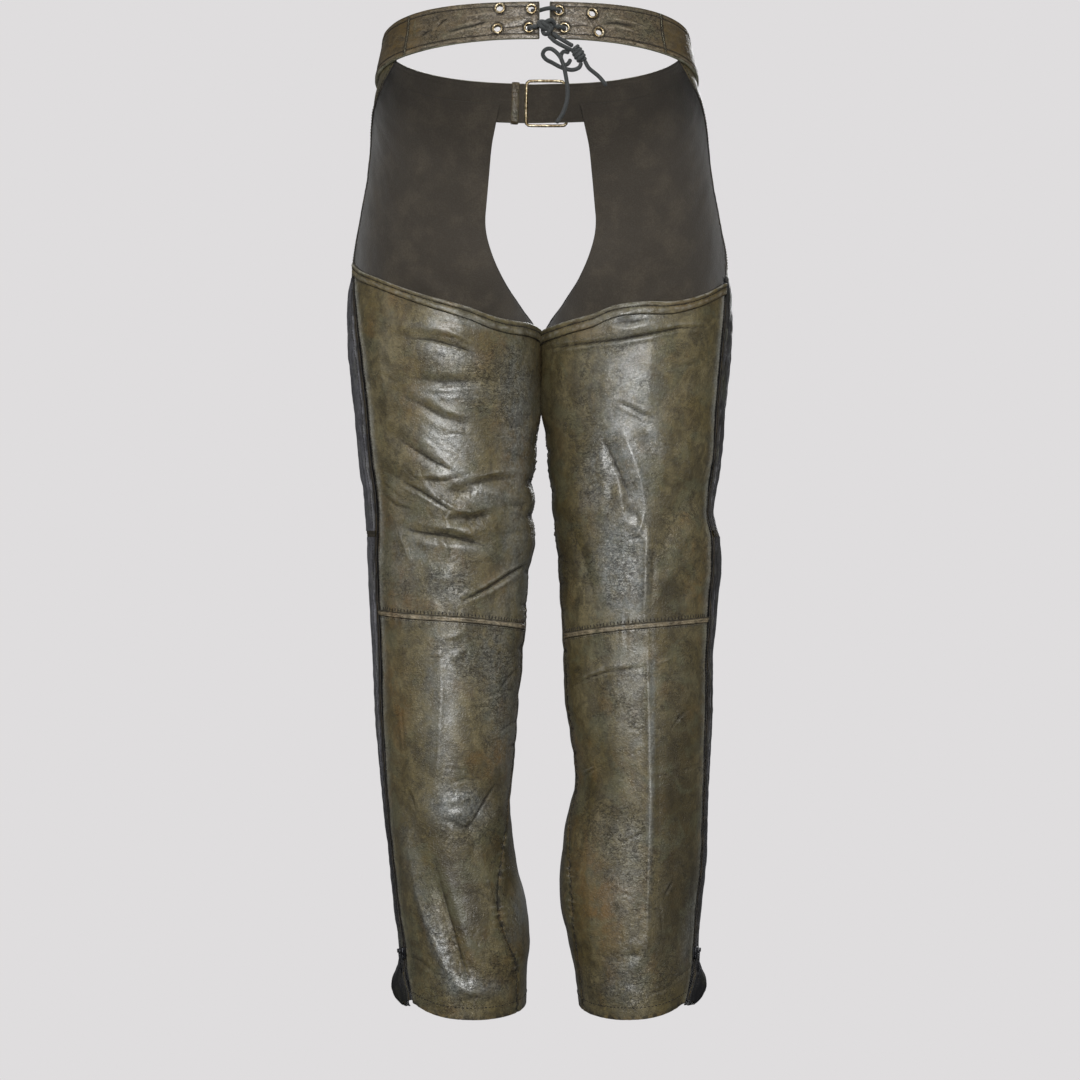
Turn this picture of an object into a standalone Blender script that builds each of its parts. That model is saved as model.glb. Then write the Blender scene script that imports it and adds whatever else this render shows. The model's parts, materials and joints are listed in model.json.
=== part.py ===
"""Leather chaps: a laced belt, two hollow legs, an open seat and a zip down each outer side.

Metres, +Z up.  The origin is the centre of the waist at the height of the laced belt ends.
The back of the garment faces -Y and the front faces +Y.  The wearer's right leg lies at +X.

Every sheet of leather is a wall between two grids of points.  The points come from one hollow
form: a leg section below the crotch, a hip section above it, and a blend between the two.
On a leg, an angle of 0 points outwards, 90 points to the back and 180 to the other leg.
"""

import math
from collections import namedtuple

import bmesh
import bpy
from mathutils import Matrix, Vector

# ---------------------------------------------------------------- driving dimensions
LEATHER = 0.0016            # wall of every leg panel
STRIP_LEATHER = 0.0012      # side strips and top bands
BELT_THICKNESS = 0.0030     # two layers
BELT_LIFT = 0.0009          # belt's inner face above the panels' outer face
SEAM_GAP = 0.0003           # between neighbouring pieces
BELT_HEIGHT_BACK = 0.036
BELT_HEIGHT_SIDE = 0.040
BELT_TILT = 0.15            # the belt falls towards the front by this slope
HEM_Z = -0.973
CROTCH_Z = -0.295           # top end of the inseams
HIP_BLEND_LOW = -0.290      # below this the form is a plain leg
HIP_BLEND_HIGH = -0.150     # above this it is a plain hip
LEG_ROUNDNESS = 2.15        # exponents of the sections, 2 being an ellipse
HIP_ROUNDNESS = 2.3
HALF_CLEARANCE = 0.002      # from the centre plane to each leg
ZIP_TOP_Z = -0.236
SLIDER_Z = -0.9155
ZIP_OPEN_Z = -0.923         # the side is unzipped below this
ZIP_CHAIN_WIDTH = 0.005
TAPE_WIDTH = 0.012
TAPE_THICKNESS = 0.001
TAPE_EDGE = 0.0015          # how far a tape shows past the leather's edge
TAPE_END_Z = -0.955
FLARE = 0.009               # how far the loose front corner stands out at the hem
OPEN_ANGLE = 9.0            # how far the back edge draws away from it, degrees
FRONT_KNEE_Z = -0.495
BAND_HEIGHT = 0.013
WELT_HALF_WIDTH = 0.0030
WELT_HEIGHT = 0.0026
LACE_RADIUS = 0.0018
TUBE_SPACING = 0.0055       # between the rings of a cord or wire
MM = 0.001

BACK_COLUMNS = 14
FRONT_COLUMNS = 14
STRIP_COLUMNS = 2           # the side strip covers this many of a front panel's columns
THIGH_BACK_ROWS = 19
KNEE_ROWS = 3               # front rows between the front and the back knee seam
CALF_ROWS = 13              # from the back knee seam to the open end of the zip
HEM_ROWS = 4                # from there to the hem

SIDES = {"left": -1.0, "right": 1.0}

# Rows of the front thigh panels, closer together where their free edges turn.
RowBand = namedtuple("RowBand", "top bottom rows")
FRONT_THIGH_BANDS = (
    RowBand(-0.020, -0.090, 4),
    RowBand(-0.090, -0.200, 4),
    RowBand(-0.200, -0.300, 6),
    RowBand(-0.300, FRONT_KNEE_Z, 8),
)

# ---------------------------------------------------------------- tables of sizes
LegRow = namedtuple("LegRow", "z outer inner front back")
LEG_ROWS = {
    "left": (
        LegRow(-0.150, 0.1840, 0.0020, 0.112, 0.0880),
        LegRow(-0.220, 0.1920, 0.0020, 0.108, 0.0920),
        LegRow(-0.290, 0.1940, 0.0020, 0.101, 0.0950),
        LegRow(-0.330, 0.1912, 0.0020, 0.0975, 0.0920),
        LegRow(-0.370, 0.1868, 0.0022, 0.0935, 0.0880),
        LegRow(-0.420, 0.1826, 0.0051, 0.0885, 0.0835),
        LegRow(-0.460, 0.1768, 0.0071, 0.0855, 0.0800),
        LegRow(-0.500, 0.1744, 0.0071, 0.0835, 0.0775),
        LegRow(-0.545, 0.1722, 0.0133, 0.0815, 0.0755),
        LegRow(-0.585, 0.1702, 0.0150, 0.0790, 0.0745),
        LegRow(-0.625, 0.1683, 0.0189, 0.0745, 0.0745),
        LegRow(-0.665, 0.1666, 0.0224, 0.0700, 0.0750),
        LegRow(-0.705, 0.1632, 0.0250, 0.0665, 0.0755),
        LegRow(-0.745, 0.1601, 0.0296, 0.0640, 0.0755),
        LegRow(-0.785, 0.1561, 0.0306, 0.0625, 0.0755),
        LegRow(-0.830, 0.1510, 0.0250, 0.0620, 0.0765),
        LegRow(-0.870, 0.1469, 0.0153, 0.0625, 0.0785),
        LegRow(-0.910, 0.1418, 0.0112, 0.0640, 0.0805),
        LegRow(-0.940, 0.1400, 0.0143, 0.0650, 0.0815),
        LegRow(-0.973, 0.1395, 0.0153, 0.0655, 0.0820),
    ),
    "right": (
        LegRow(-0.150, 0.1820, 0.0020, 0.112, 0.0880),
        LegRow(-0.220, 0.1900, 0.0020, 0.108, 0.0920),
        LegRow(-0.290, 0.1912, 0.0020, 0.101, 0.0950),
        LegRow(-0.330, 0.1887, 0.0020, 0.0975, 0.0920),
        LegRow(-0.370, 0.1846, 0.0024, 0.0935, 0.0880),
        LegRow(-0.420, 0.1805, 0.0066, 0.0885, 0.0835),
        LegRow(-0.458, 0.1738, 0.0107, 0.0855, 0.0800),
        LegRow(-0.477, 0.1730, 0.0120, 0.0845, 0.0790),
        LegRow(-0.499, 0.1790, 0.0148, 0.0835, 0.0775),
        LegRow(-0.527, 0.1803, 0.0170, 0.0820, 0.0765),
        LegRow(-0.555, 0.1776, 0.0190, 0.0805, 0.0755),
        LegRow(-0.585, 0.1752, 0.0209, 0.0790, 0.0745),
        LegRow(-0.625, 0.1724, 0.0224, 0.0745, 0.0745),
        LegRow(-0.665, 0.1719, 0.0245, 0.0700, 0.0750),
        LegRow(-0.705, 0.1698, 0.0301, 0.0665, 0.0755),
        LegRow(-0.745, 0.1683, 0.0347, 0.0640, 0.0755),
        LegRow(-0.785, 0.1668, 0.0265, 0.0625, 0.0755),
        LegRow(-0.830, 0.1652, 0.0199, 0.0620, 0.0765),
        LegRow(-0.870, 0.1601, 0.0194, 0.0625, 0.0785),
        LegRow(-0.910, 0.1571, 0.0281, 0.0640, 0.0805),
        LegRow(-0.940, 0.1560, 0.0342, 0.0650, 0.0815),
        LegRow(-0.973, 0.1520, 0.0383, 0.0655, 0.0820),
    ),
}

HipRow = namedtuple("HipRow", "z left right front back")
HIP_ROWS = (
    HipRow(0.030, 0.1560, 0.1470, 0.1040, 0.1090),
    HipRow(0.000, 0.1580, 0.1490, 0.1060, 0.1110),
    HipRow(-0.020, 0.1620, 0.1530, 0.1080, 0.1130),
    HipRow(-0.050, 0.1685, 0.1615, 0.1110, 0.1160),
    HipRow(-0.070, 0.1714, 0.1665, 0.1130, 0.1170),
    HipRow(-0.100, 0.1760, 0.1730, 0.1150, 0.1170),
    HipRow(-0.150, 0.1840, 0.1815, 0.1155, 0.1130),
    HipRow(-0.200, 0.1895, 0.1875, 0.1130, 0.1060),
    HipRow(-0.290, 0.1945, 0.1915, 0.1050, 0.0980),
)

# The zip's line down the outer side, as an angle round the leg.
ZipRow = namedtuple("ZipRow", "z left right")
ZIP_ROWS = (
    ZipRow(-0.220, 17.0, 15.0),
    ZipRow(-0.255, 23.0, 22.0),
    ZipRow(-0.310, 30.0, 27.0),
    ZipRow(-0.410, 32.0, 25.0),
    ZipRow(-0.475, 32.0, 23.0),
    ZipRow(-0.530, 28.0, 27.0),
    ZipRow(-0.620, 27.0, 24.0),
    ZipRow(-0.725, 23.0, 22.0),
    ZipRow(-0.850, 22.0, 21.0),
    ZipRow(-0.910, 24.0, 22.0),
    ZipRow(-0.973, 25.0, 23.0),
)

# The inseam, as an angle round the leg.  It wanders to the back above the ankle.
InseamRow = namedtuple("InseamRow", "z left right")
INSEAM_ROWS = (
    InseamRow(-0.290, 180.0, 180.0),
    InseamRow(-0.500, 176.0, 174.0),
    InseamRow(-0.600, 172.0, 168.0),
    InseamRow(-0.660, 171.0, 165.0),
    InseamRow(-0.720, 171.0, 169.0),
    InseamRow(-0.770, 167.0, 168.0),
    InseamRow(-0.820, 147.0, 155.0),
    InseamRow(-0.860, 132.0, 147.0),
    InseamRow(-0.895, 134.0, 151.0),
    InseamRow(-0.930, 146.0, 156.0),
    InseamRow(-0.973, 150.0, 158.0),
)

# Free edges of the front panels above the crotch: the seat cut-out and the front opening.
EdgeRow = namedtuple("EdgeRow", "z seat front")
EDGE_ROWS = (
    EdgeRow(0.030, 66.0, -160.0),
    EdgeRow(-0.020, 62.0, -158.0),
    EdgeRow(-0.040, 50.0, -155.0),
    EdgeRow(-0.058, 30.0, -153.0),
    EdgeRow(-0.078, 6.0, -151.0),
    EdgeRow(-0.110, -12.0, -150.0),
    EdgeRow(-0.150, -14.0, -149.0),
    EdgeRow(-0.185, -6.0, -147.5),
    EdgeRow(-0.215, 8.0, -146.0),
    EdgeRow(-0.236, 17.0, -146.5),
    EdgeRow(-0.258, 22.0, -151.0),
    EdgeRow(-0.276, 26.0, -160.0),
    EdgeRow(-0.287, 28.0, -169.0),
    EdgeRow(-0.295, 29.0, -180.0),
)

# Top edges of the back thigh panels and the two knee seams; share runs from zip to inseam.
SeamRow = namedtuple("SeamRow", "share left_top right_top left_knee right_knee")
SEAM_ROWS = (
    SeamRow(0.00, -0.222, -0.243, -0.574, -0.581),
    SeamRow(0.25, -0.252, -0.262, -0.577, -0.583),
    SeamRow(0.50, -0.270, -0.268, -0.580, -0.587),
    SeamRow(0.75, -0.285, -0.280, -0.585, -0.593),
    SeamRow(1.00, -0.295, -0.295, -0.590, -0.599),
)

# The largest folds: ridges stand out and troughs (negative heights) sink in.
# x is measured outwards from the centre plane.  face tells the back from the front.
Fold = namedtuple("Fold", "side face x z to_x to_z width height")
FOLDS = (
    Fold("left", "back", 0.125, -0.312, 0.050, -0.298, 0.010, 0.0015),
    Fold("left", "back", 0.141, -0.339, 0.041, -0.346, 0.010, -0.0016),
    Fold("left", "back", 0.146, -0.391, 0.081, -0.433, 0.011, 0.0030),
    Fold("left", "back", 0.131, -0.441, 0.041, -0.439, 0.010, -0.0030),
    Fold("left", "back", 0.126, -0.441, 0.086, -0.468, 0.010, 0.0030),
    Fold("left", "back", 0.086, -0.468, 0.031, -0.465, 0.011, 0.0030),
    Fold("left", "back", 0.141, -0.478, 0.111, -0.472, 0.011, 0.0040),
    Fold("left", "back", 0.143, -0.492, 0.056, -0.506, 0.010, -0.0045),
    Fold("left", "back", 0.094, -0.481, 0.094, -0.525, 0.009, 0.0022),
    Fold("left", "back", 0.018, -0.529, 0.086, -0.561, 0.010, -0.0036),
    Fold("left", "back", 0.133, -0.751, 0.111, -0.861, 0.011, 0.0036),
    Fold("left", "back", 0.111, -0.861, 0.081, -0.961, 0.011, 0.0036),
    Fold("left", "back", 0.116, -0.811, 0.083, -0.931, 0.010, -0.0036),
    Fold("left", "back", 0.101, -0.600, 0.101, -0.760, 0.010, 0.0014),
    Fold("right", "back", 0.050, -0.284, 0.120, -0.272, 0.010, 0.0026),
    Fold("right", "back", 0.050, -0.306, 0.140, -0.298, 0.010, -0.0026),
    Fold("right", "back", 0.076, -0.366, 0.099, -0.379, 0.009, -0.0022),
    Fold("right", "back", 0.056, -0.406, 0.084, -0.466, 0.010, 0.0030),
    Fold("right", "back", 0.074, -0.398, 0.096, -0.458, 0.009, -0.0036),
    Fold("right", "back", 0.101, -0.421, 0.105, -0.506, 0.010, 0.0036),
    Fold("right", "back", 0.105, -0.506, 0.105, -0.580, 0.010, 0.0026),
    Fold("right", "back", 0.122, -0.420, 0.118, -0.520, 0.011, -0.0026),
    Fold("right", "back", 0.119, -0.561, 0.160, -0.470, 0.012, 0.0030),
    Fold("right", "back", 0.105, -0.600, 0.104, -0.950, 0.009, 0.0016),
    Fold("right", "back", 0.060, -0.700, 0.075, -0.800, 0.012, -0.0022),
    Fold("right", "back", 0.130, -0.860, 0.120, -0.950, 0.011, -0.0022),
    Fold("left", "front", 0.150, -0.210, 0.070, -0.262, 0.012, -0.0030),
    Fold("left", "front", 0.160, -0.300, 0.080, -0.330, 0.012, 0.0024),
    Fold("left", "front", 0.045, -0.430, 0.120, -0.455, 0.012, -0.0032),
    Fold("left", "front", 0.140, -0.540, 0.050, -0.556, 0.012, 0.0028),
    Fold("left", "front", 0.060, -0.600, 0.130, -0.622, 0.012, -0.0030),
    Fold("left", "front", 0.060, -0.700, 0.090, -0.850, 0.012, 0.0026),
    Fold("left", "front", 0.120, -0.880, 0.050, -0.910, 0.011, -0.0026),
    Fold("right", "front", 0.150, -0.225, 0.080, -0.270, 0.012, -0.0030),
    Fold("right", "front", 0.150, -0.330, 0.070, -0.350, 0.012, 0.0022),
    Fold("right", "front", 0.060, -0.440, 0.140, -0.462, 0.012, -0.0030),
    Fold("right", "front", 0.150, -0.545, 0.070, -0.570, 0.012, 0.0030),
    Fold("right", "front", 0.060, -0.610, 0.130, -0.640, 0.012, -0.0028),
    Fold("right", "front", 0.120, -0.700, 0.100, -0.860, 0.012, 0.0026),
    Fold("right", "front", 0.060, -0.890, 0.130, -0.915, 0.011, -0.0026),
)

# ---------------------------------------------------------------- colours of the pieces
Finish = namedtuple("Finish", "color roughness metallic")
OLIVE = Finish((0.125, 0.105, 0.070), 0.45, 0.0)
BELT_BROWN = Finish((0.150, 0.115, 0.062), 0.48, 0.0)
CHARCOAL = Finish((0.030, 0.029, 0.028), 0.50, 0.0)
TAPE_BLACK = Finish((0.012, 0.012, 0.013), 0.90, 0.0)
LACE_GREY = Finish((0.050, 0.052, 0.055), 0.75, 0.0)
ANTIQUE_BRASS = Finish((0.300, 0.200, 0.105), 0.35, 1.0)
GUNMETAL = Finish((0.150, 0.150, 0.155), 0.35, 1.0)


# ---------------------------------------------------------------- small helpers
def clamp(value, low=0.0, high=1.0):
    return max(low, min(high, value))


def mix(start, end, share):
    return start + (end - start) * share


def shares(count, start=0.0, end=1.0):
    return [mix(start, end, index / count) for index in range(count + 1)]


def smooth(share):
    share = clamp(share)
    return share * share * (3.0 - 2.0 * share)


def signed_power(value, exponent):
    return math.copysign(abs(value) ** exponent, value)


def read_table(rows, key, position, column):
    """Smoothly read one named column of a table at a position of its key column."""
    keys = [getattr(row, key) for row in rows]
    values = [getattr(row, column) for row in rows]
    if keys[0] > keys[-1]:
        keys.reverse()
        values.reverse()
    if position <= keys[0]:
        return values[0]
    if position >= keys[-1]:
        return values[-1]
    index = max(i for i, found in enumerate(keys) if found <= position)

    def slope(i):
        low = max(i - 1, 0)
        high = min(i + 1, len(keys) - 1)
        return (values[high] - values[low]) / (keys[high] - keys[low])

    width = keys[index + 1] - keys[index]
    t = (position - keys[index]) / width
    start_weight = 2 * t**3 - 3 * t**2 + 1
    end_weight = 1 - start_weight
    bend = (t**3 - 2 * t**2 + t) * slope(index) + (t**3 - t**2) * slope(index + 1)
    return values[index] * start_weight + values[index + 1] * end_weight + bend * width


# ---------------------------------------------------------------- the hollow form
def leg_point(side, angle, z):
    """A point on the plain leg, x measured outwards from the centre plane."""
    outer = read_table(LEG_ROWS[side], "z", z, "outer")
    inner = read_table(LEG_ROWS[side], "z", z, "inner")
    turn = math.radians(angle)
    depth_name = "back" if math.sin(turn) > 0 else "front"
    depth = read_table(LEG_ROWS[side], "z", z, depth_name)
    exponent = 2.0 / LEG_ROUNDNESS
    x = (outer + inner) / 2 + (outer - inner) / 2 * signed_power(math.cos(turn), exponent)
    y = -depth * signed_power(math.sin(turn), exponent)
    return Vector((x, y, z))


def hip_point(side, turn_degrees, z):
    """A point on the plain hip: 0 degrees is outwards, 90 the front, -90 the back."""
    width = read_table(HIP_ROWS, "z", z, side) - HALF_CLEARANCE
    turn = math.radians(turn_degrees)
    depth = read_table(HIP_ROWS, "z", z, "front" if turn > 0 else "back")
    exponent = 2.0 / HIP_ROUNDNESS
    x = HALF_CLEARANCE + width * signed_power(math.cos(turn), exponent)
    y = depth * signed_power(math.sin(turn), exponent)
    return Vector((x, y, z))


def form_point(side, angle, z):
    """The form itself, with x already on its own side of the centre plane."""
    share = smooth((z - HIP_BLEND_LOW) / (HIP_BLEND_HIGH - HIP_BLEND_LOW))
    share *= 1.0 - smooth((angle - 70.0) / 80.0)
    point = leg_point(side, angle, z)
    if share > 0.0:
        point = point.lerp(hip_point(side, -angle / 2.0, z), share)
    point.x *= SIDES[side]
    return point


def form_normal(side, angle, z):
    """The form's outward direction, from its own slopes."""
    across = form_point(side, angle + 1.0, z) - form_point(side, angle - 1.0, z)
    down = form_point(side, angle, z - 0.004) - form_point(side, angle, z + 0.004)
    return down.cross(across).normalized() * -SIDES[side]


def distance_to_segment(x, z, fold):
    """How far a point lies from a fold's line, and its place along the line."""
    run_x = fold.to_x - fold.x
    run_z = fold.to_z - fold.z
    length_squared = run_x**2 + run_z**2
    along = clamp(((x - fold.x) * run_x + (z - fold.z) * run_z) / length_squared)
    return math.hypot(x - fold.x - along * run_x, z - fold.z - along * run_z), along


def fold_height(side, angle, point):
    """Sum of the folds at a point; they fade towards the leg's two sides."""
    lean = math.sin(math.radians(angle))
    face = "back" if lean > 0 else "front"
    fade = clamp(abs(lean) * 2.5)
    height = 0.0
    for fold in FOLDS:
        if fold.side != side or fold.face != face:
            continue
        distance, along = distance_to_segment(abs(point.x), point.z, fold)
        taper = 0.35 + 0.65 * math.sin(math.pi * clamp(along, 0.02, 0.98))
        height += fold.height * taper * math.exp(-((distance / fold.width) ** 2))
    return height * fade


def zip_angle(side, z):
    return read_table(ZIP_ROWS, "z", z, side)


def arc_angle(side, z, width):
    """The angle that a width takes up round the leg."""
    outer = read_table(LEG_ROWS[side], "z", z, "outer")
    inner = read_table(LEG_ROWS[side], "z", z, "inner")
    return math.degrees(width / ((outer - inner) / 2.0))


def flare_height(side, angle, z):
    """How far the loose front corner beside the open end of the zip stands out."""
    drop = smooth((ZIP_OPEN_Z - z) / 0.044)
    reach = smooth((angle - zip_angle(side, z) + 50.0) / 48.0)
    return FLARE * drop * reach


def surface(side, angle, z, offset=0.0, flared=False):
    """A point of the garment's outer face, moved out by an offset, and its normal."""
    point = form_point(side, angle, z)
    normal = form_normal(side, angle, z)
    height = offset + fold_height(side, angle, point)
    if flared:
        height += flare_height(side, angle, z)
    return point + normal * height, normal


# ---------------------------------------------------------------- sheets and solids
class Patch:
    """A sheet's outer face: a grid of points with normals, read by shares u and v.

    levels are the rows' shares of the sheet's height.  v counts rows evenly.
    """

    def __init__(self, columns, levels, place):
        self.columns = columns
        self.rows = len(levels) - 1
        self.grid = [
            [place(column / columns, level) for column in range(columns + 1)]
            for level in levels
        ]

    def at(self, u, v, offset=0.0):
        """A point between the grid's own points, moved out; it may lie past an edge."""
        column = int(clamp(math.floor(u * self.columns), 0, self.columns - 1))
        row = int(clamp(math.floor(v * self.rows), 0, self.rows - 1))
        across = u * self.columns - column
        down = v * self.rows - row
        corners = (
            (self.grid[row][column], (1 - across) * (1 - down)),
            (self.grid[row][column + 1], across * (1 - down)),
            (self.grid[row + 1][column], (1 - across) * down),
            (self.grid[row + 1][column + 1], across * down),
        )
        point = Vector((0, 0, 0))
        normal = Vector((0, 0, 0))
        for (corner, direction), weight in corners:
            point += corner * weight
            normal += direction * weight
        return point + normal.normalized() * offset

    def share_down(self, distance, row=0):
        """The share v that a distance down the sheet takes up, beside one of its rows."""
        middle = self.columns // 2
        height = (self.grid[row + 1][middle][0] - self.grid[row][middle][0]).length
        return distance / height / self.rows

    def share_across(self, distance, row):
        """The share u that a distance in from the zip's edge takes up, at one row."""
        width = (self.grid[row][1][0] - self.grid[row][0][0]).length
        return distance / width / self.columns


def new_material(name, finish):
    material = bpy.data.materials.new(name)
    material.use_nodes = True
    shader = material.node_tree.nodes["Principled BSDF"]
    shader.inputs["Base Color"].default_value = (*finish.color, 1.0)
    shader.inputs["Roughness"].default_value = finish.roughness
    shader.inputs["Metallic"].default_value = finish.metallic
    return material


def add_object(name, data, finish, collection):
    thing = bpy.data.objects.new(name, data)
    collection.objects.link(thing)
    data.materials.append(new_material(name + "_material", finish))
    return thing


def mesh_object(name, shape, finish, collection):
    """Turn a closed bmesh into a named object, faces pointing out."""
    bmesh.ops.recalc_face_normals(shape, faces=shape.faces)
    mesh = bpy.data.meshes.new(name)
    shape.to_mesh(mesh)
    shape.free()
    thing = add_object(name, mesh, finish, collection)
    mesh.shade_smooth()
    mesh.set_sharp_from_angle(angle=math.radians(50))
    return thing


def wall(name, outer, inner, finish, collection):
    """A closed wall between two equal grids of points, given as lists of rows."""
    shape = bmesh.new()
    faces_out = [[shape.verts.new(point) for point in row] for row in outer]
    faces_in = [[shape.verts.new(point) for point in row] for row in inner]
    last_row = len(outer) - 1
    last_column = len(outer[0]) - 1
    for grid in (faces_out, faces_in):
        for row in range(last_row):
            for column in range(last_column):
                shape.faces.new((
                    grid[row][column], grid[row][column + 1],
                    grid[row + 1][column + 1], grid[row + 1][column],
                ))
    rim = [(0, column) for column in range(last_column)]
    rim += [(row, last_column) for row in range(last_row)]
    rim += [(last_row, column) for column in range(last_column, 0, -1)]
    rim += [(row, 0) for row in range(last_row, 0, -1)]
    for (row, column), (next_row, next_column) in zip(rim, rim[1:] + rim[:1]):
        shape.faces.new((
            faces_out[row][column], faces_out[next_row][next_column],
            faces_in[next_row][next_column], faces_in[row][column],
        ))
    return mesh_object(name, shape, finish, collection)


def patch_wall(name, patch, thickness, finish, collection):
    """A panel of leather: the patch is its outer face."""
    outer = [[point for point, _ in row] for row in patch.grid]
    inner = [[point - normal * thickness for point, normal in row] for row in patch.grid]
    return wall(name, outer, inner, finish, collection)


def overlay(name, patch, shares_u, shares_v, offset, thickness, finish, collection):
    """A strip that lies on a patch, made from the patch's own points moved out."""
    outer = [[patch.at(u, v, offset + thickness) for u in shares_u] for v in shares_v]
    inner = [[patch.at(u, v, offset) for u in shares_u] for v in shares_v]
    return wall(name, outer, inner, finish, collection)


def section_loft(name, rings, finish, collection):
    """A closed solid through equal rings of points, with flat ends."""
    shape = bmesh.new()
    loops = [[shape.verts.new(point) for point in ring] for ring in rings]
    count = len(rings[0])
    for ring, following in zip(loops, loops[1:]):
        for index in range(count):
            after = (index + 1) % count
            shape.faces.new((ring[index], ring[after], following[after], following[index]))
    shape.faces.new(loops[0])
    shape.faces.new(loops[-1])
    return mesh_object(name, shape, finish, collection)


def smooth_route(points, spacing):
    """Points at an even spacing on a smooth curve through a route's own points."""
    dense = []
    padded = [points[0] * 2 - points[1], *points, points[-1] * 2 - points[-2]]
    for before, start, end, after in zip(padded, padded[1:], padded[2:], padded[3:]):
        for step in range(12):
            t = step / 12
            dense.append(0.5 * (
                2 * start + (end - before) * t
                + (2 * before - 5 * start + 4 * end - after) * t**2
                + (3 * start - before - 3 * end + after) * t**3
            ))
    dense.append(points[-1])
    length = sum((b - a).length for a, b in zip(dense, dense[1:]))
    count = max(3, round(length / spacing))
    result = [dense[0]]
    travelled = 0.0
    for a, b in zip(dense, dense[1:]):
        step = (b - a).length
        while step > 0 and travelled + step >= length * len(result) / count:
            result.append(a.lerp(b, (length * len(result) / count - travelled) / step))
            if len(result) == count:
                break
        travelled += step
        if len(result) == count:
            break
    result.append(dense[-1])
    return result


def tube(name, points, radius, finish, collection, cyclic=False):
    """A round cord or wire: a curve with a bevel and filled caps."""
    curve = bpy.data.curves.new(name, "CURVE")
    curve.dimensions = "3D"
    curve.bevel_depth = radius
    curve.bevel_resolution = 2
    curve.use_fill_caps = not cyclic
    route = list(points) if cyclic else smooth_route(points, TUBE_SPACING)
    spline = curve.splines.new("POLY")
    spline.points.add(len(route) - 1)
    for place, point in zip(spline.points, route):
        place.co = (*point, 1.0)
    spline.use_cyclic_u = cyclic
    spline.use_smooth = True
    return add_object(name, curve, finish, collection)


# ---------------------------------------------------------------- leg panels
def seam_z(side, seam, share):
    """Height of a back panel's top edge or knee seam, at a share from zip to inseam."""
    return read_table(SEAM_ROWS, "share", share, f"{side}_{seam}")


def back_edge_angle(side, z):
    """The back panels' edge beside the zip, drawn away where the zip is open."""
    half_chain = arc_angle(side, z, ZIP_CHAIN_WIDTH / 2)
    opened = OPEN_ANGLE * smooth((ZIP_OPEN_Z - z) / 0.045)
    return zip_angle(side, z) + half_chain + opened


def inseam_angle(side, z):
    return read_table(INSEAM_ROWS, "z", z, side)


def half_gap(side, z):
    return arc_angle(side, z, SEAM_GAP / 2)


def back_patch(side, top, bottom, levels):
    """Outer face of a back panel between two heights given as functions of the share."""

    def place(u, row_share):
        z = mix(top(u), bottom(u), row_share)
        start = back_edge_angle(side, z)
        end = inseam_angle(side, z) - half_gap(side, z)
        return surface(side, mix(start, end, u), z)

    return Patch(BACK_COLUMNS, levels, place)


def front_edge_angle(side, z):
    """The front panels' edge beside the zip, and the seat cut-out above it."""
    seat = read_table(EDGE_ROWS, "z", z, "seat")
    closed = zip_angle(side, z) - arc_angle(side, z, ZIP_CHAIN_WIDTH / 2)
    return mix(closed, seat, smooth((z - ZIP_TOP_Z + 0.03) / 0.04))


def front_inner_angle(side, z):
    """The front panels' edge at the front opening, and the inseam below it."""
    if z > CROTCH_Z:
        return read_table(EDGE_ROWS, "z", z, "front")
    return inseam_angle(side, z) - 360.0 + half_gap(side, z)


def belt_mid_z(y):
    """Height of the belt's middle line: it falls towards the front."""
    return -(y + HIP_ROWS[1].back) * BELT_TILT


def front_top_z(side, u):
    """The front panels end behind the middle of the belt."""
    angle = mix(read_table(EDGE_ROWS, "z", 0.0, "seat"),
                read_table(EDGE_ROWS, "z", 0.0, "front"), u)
    return belt_mid_z(form_point(side, angle, 0.0).y) - 0.002


def front_patch(side, top, bottom, levels):
    """Outer face of a front panel between two heights given as functions of the share."""

    def place(u, row_share):
        z = mix(top(u), bottom(u), row_share)
        start = front_edge_angle(side, z)
        end = front_inner_angle(side, z)
        return surface(side, mix(start, end, u), z, flared=True)

    return Patch(FRONT_COLUMNS, levels, place)


def hem_z(u):
    """The hem; the loose corner beside the zip is rounded."""
    return HEM_Z + 0.011 * (1.0 - smooth(u / 0.09)) ** 2


def leg_patches(side):
    """All four panels of a leg, as patches."""
    gap = SEAM_GAP / 2

    def knee(u):
        return seam_z(side, "knee", u)

    knee_end = knee(1.0) - gap
    calf_heights = shares(CALF_ROWS, knee_end, ZIP_OPEN_Z) + shares(HEM_ROWS, ZIP_OPEN_Z, HEM_Z)[1:]
    calf_levels = [(z - knee_end) / (HEM_Z - knee_end) for z in calf_heights]
    shin_top = FRONT_KNEE_Z - gap
    shin_heights = shares(KNEE_ROWS, shin_top, knee_end)[:-1] + calf_heights
    shin_levels = [(z - shin_top) / (HEM_Z - shin_top) for z in shin_heights]
    front_top = FRONT_THIGH_BANDS[0].top
    front_heights = [front_top]
    for band in FRONT_THIGH_BANDS:
        front_heights += shares(band.rows, band.top, band.bottom)[1:]
    front_levels = [(z - front_top) / (FRONT_KNEE_Z - front_top) for z in front_heights]
    return {
        "back_thigh": back_patch(
            side, lambda u: seam_z(side, "top", u), lambda u: knee(u) + gap,
            shares(THIGH_BACK_ROWS)),
        "back_calf": back_patch(side, lambda u: knee(u) - gap, lambda u: HEM_Z, calf_levels),
        "front_thigh": front_patch(
            side, lambda u: front_top_z(side, u), lambda u: FRONT_KNEE_Z + gap, front_levels),
        "front_shin": front_patch(side, lambda u: shin_top, hem_z, shin_levels),
    }


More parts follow.
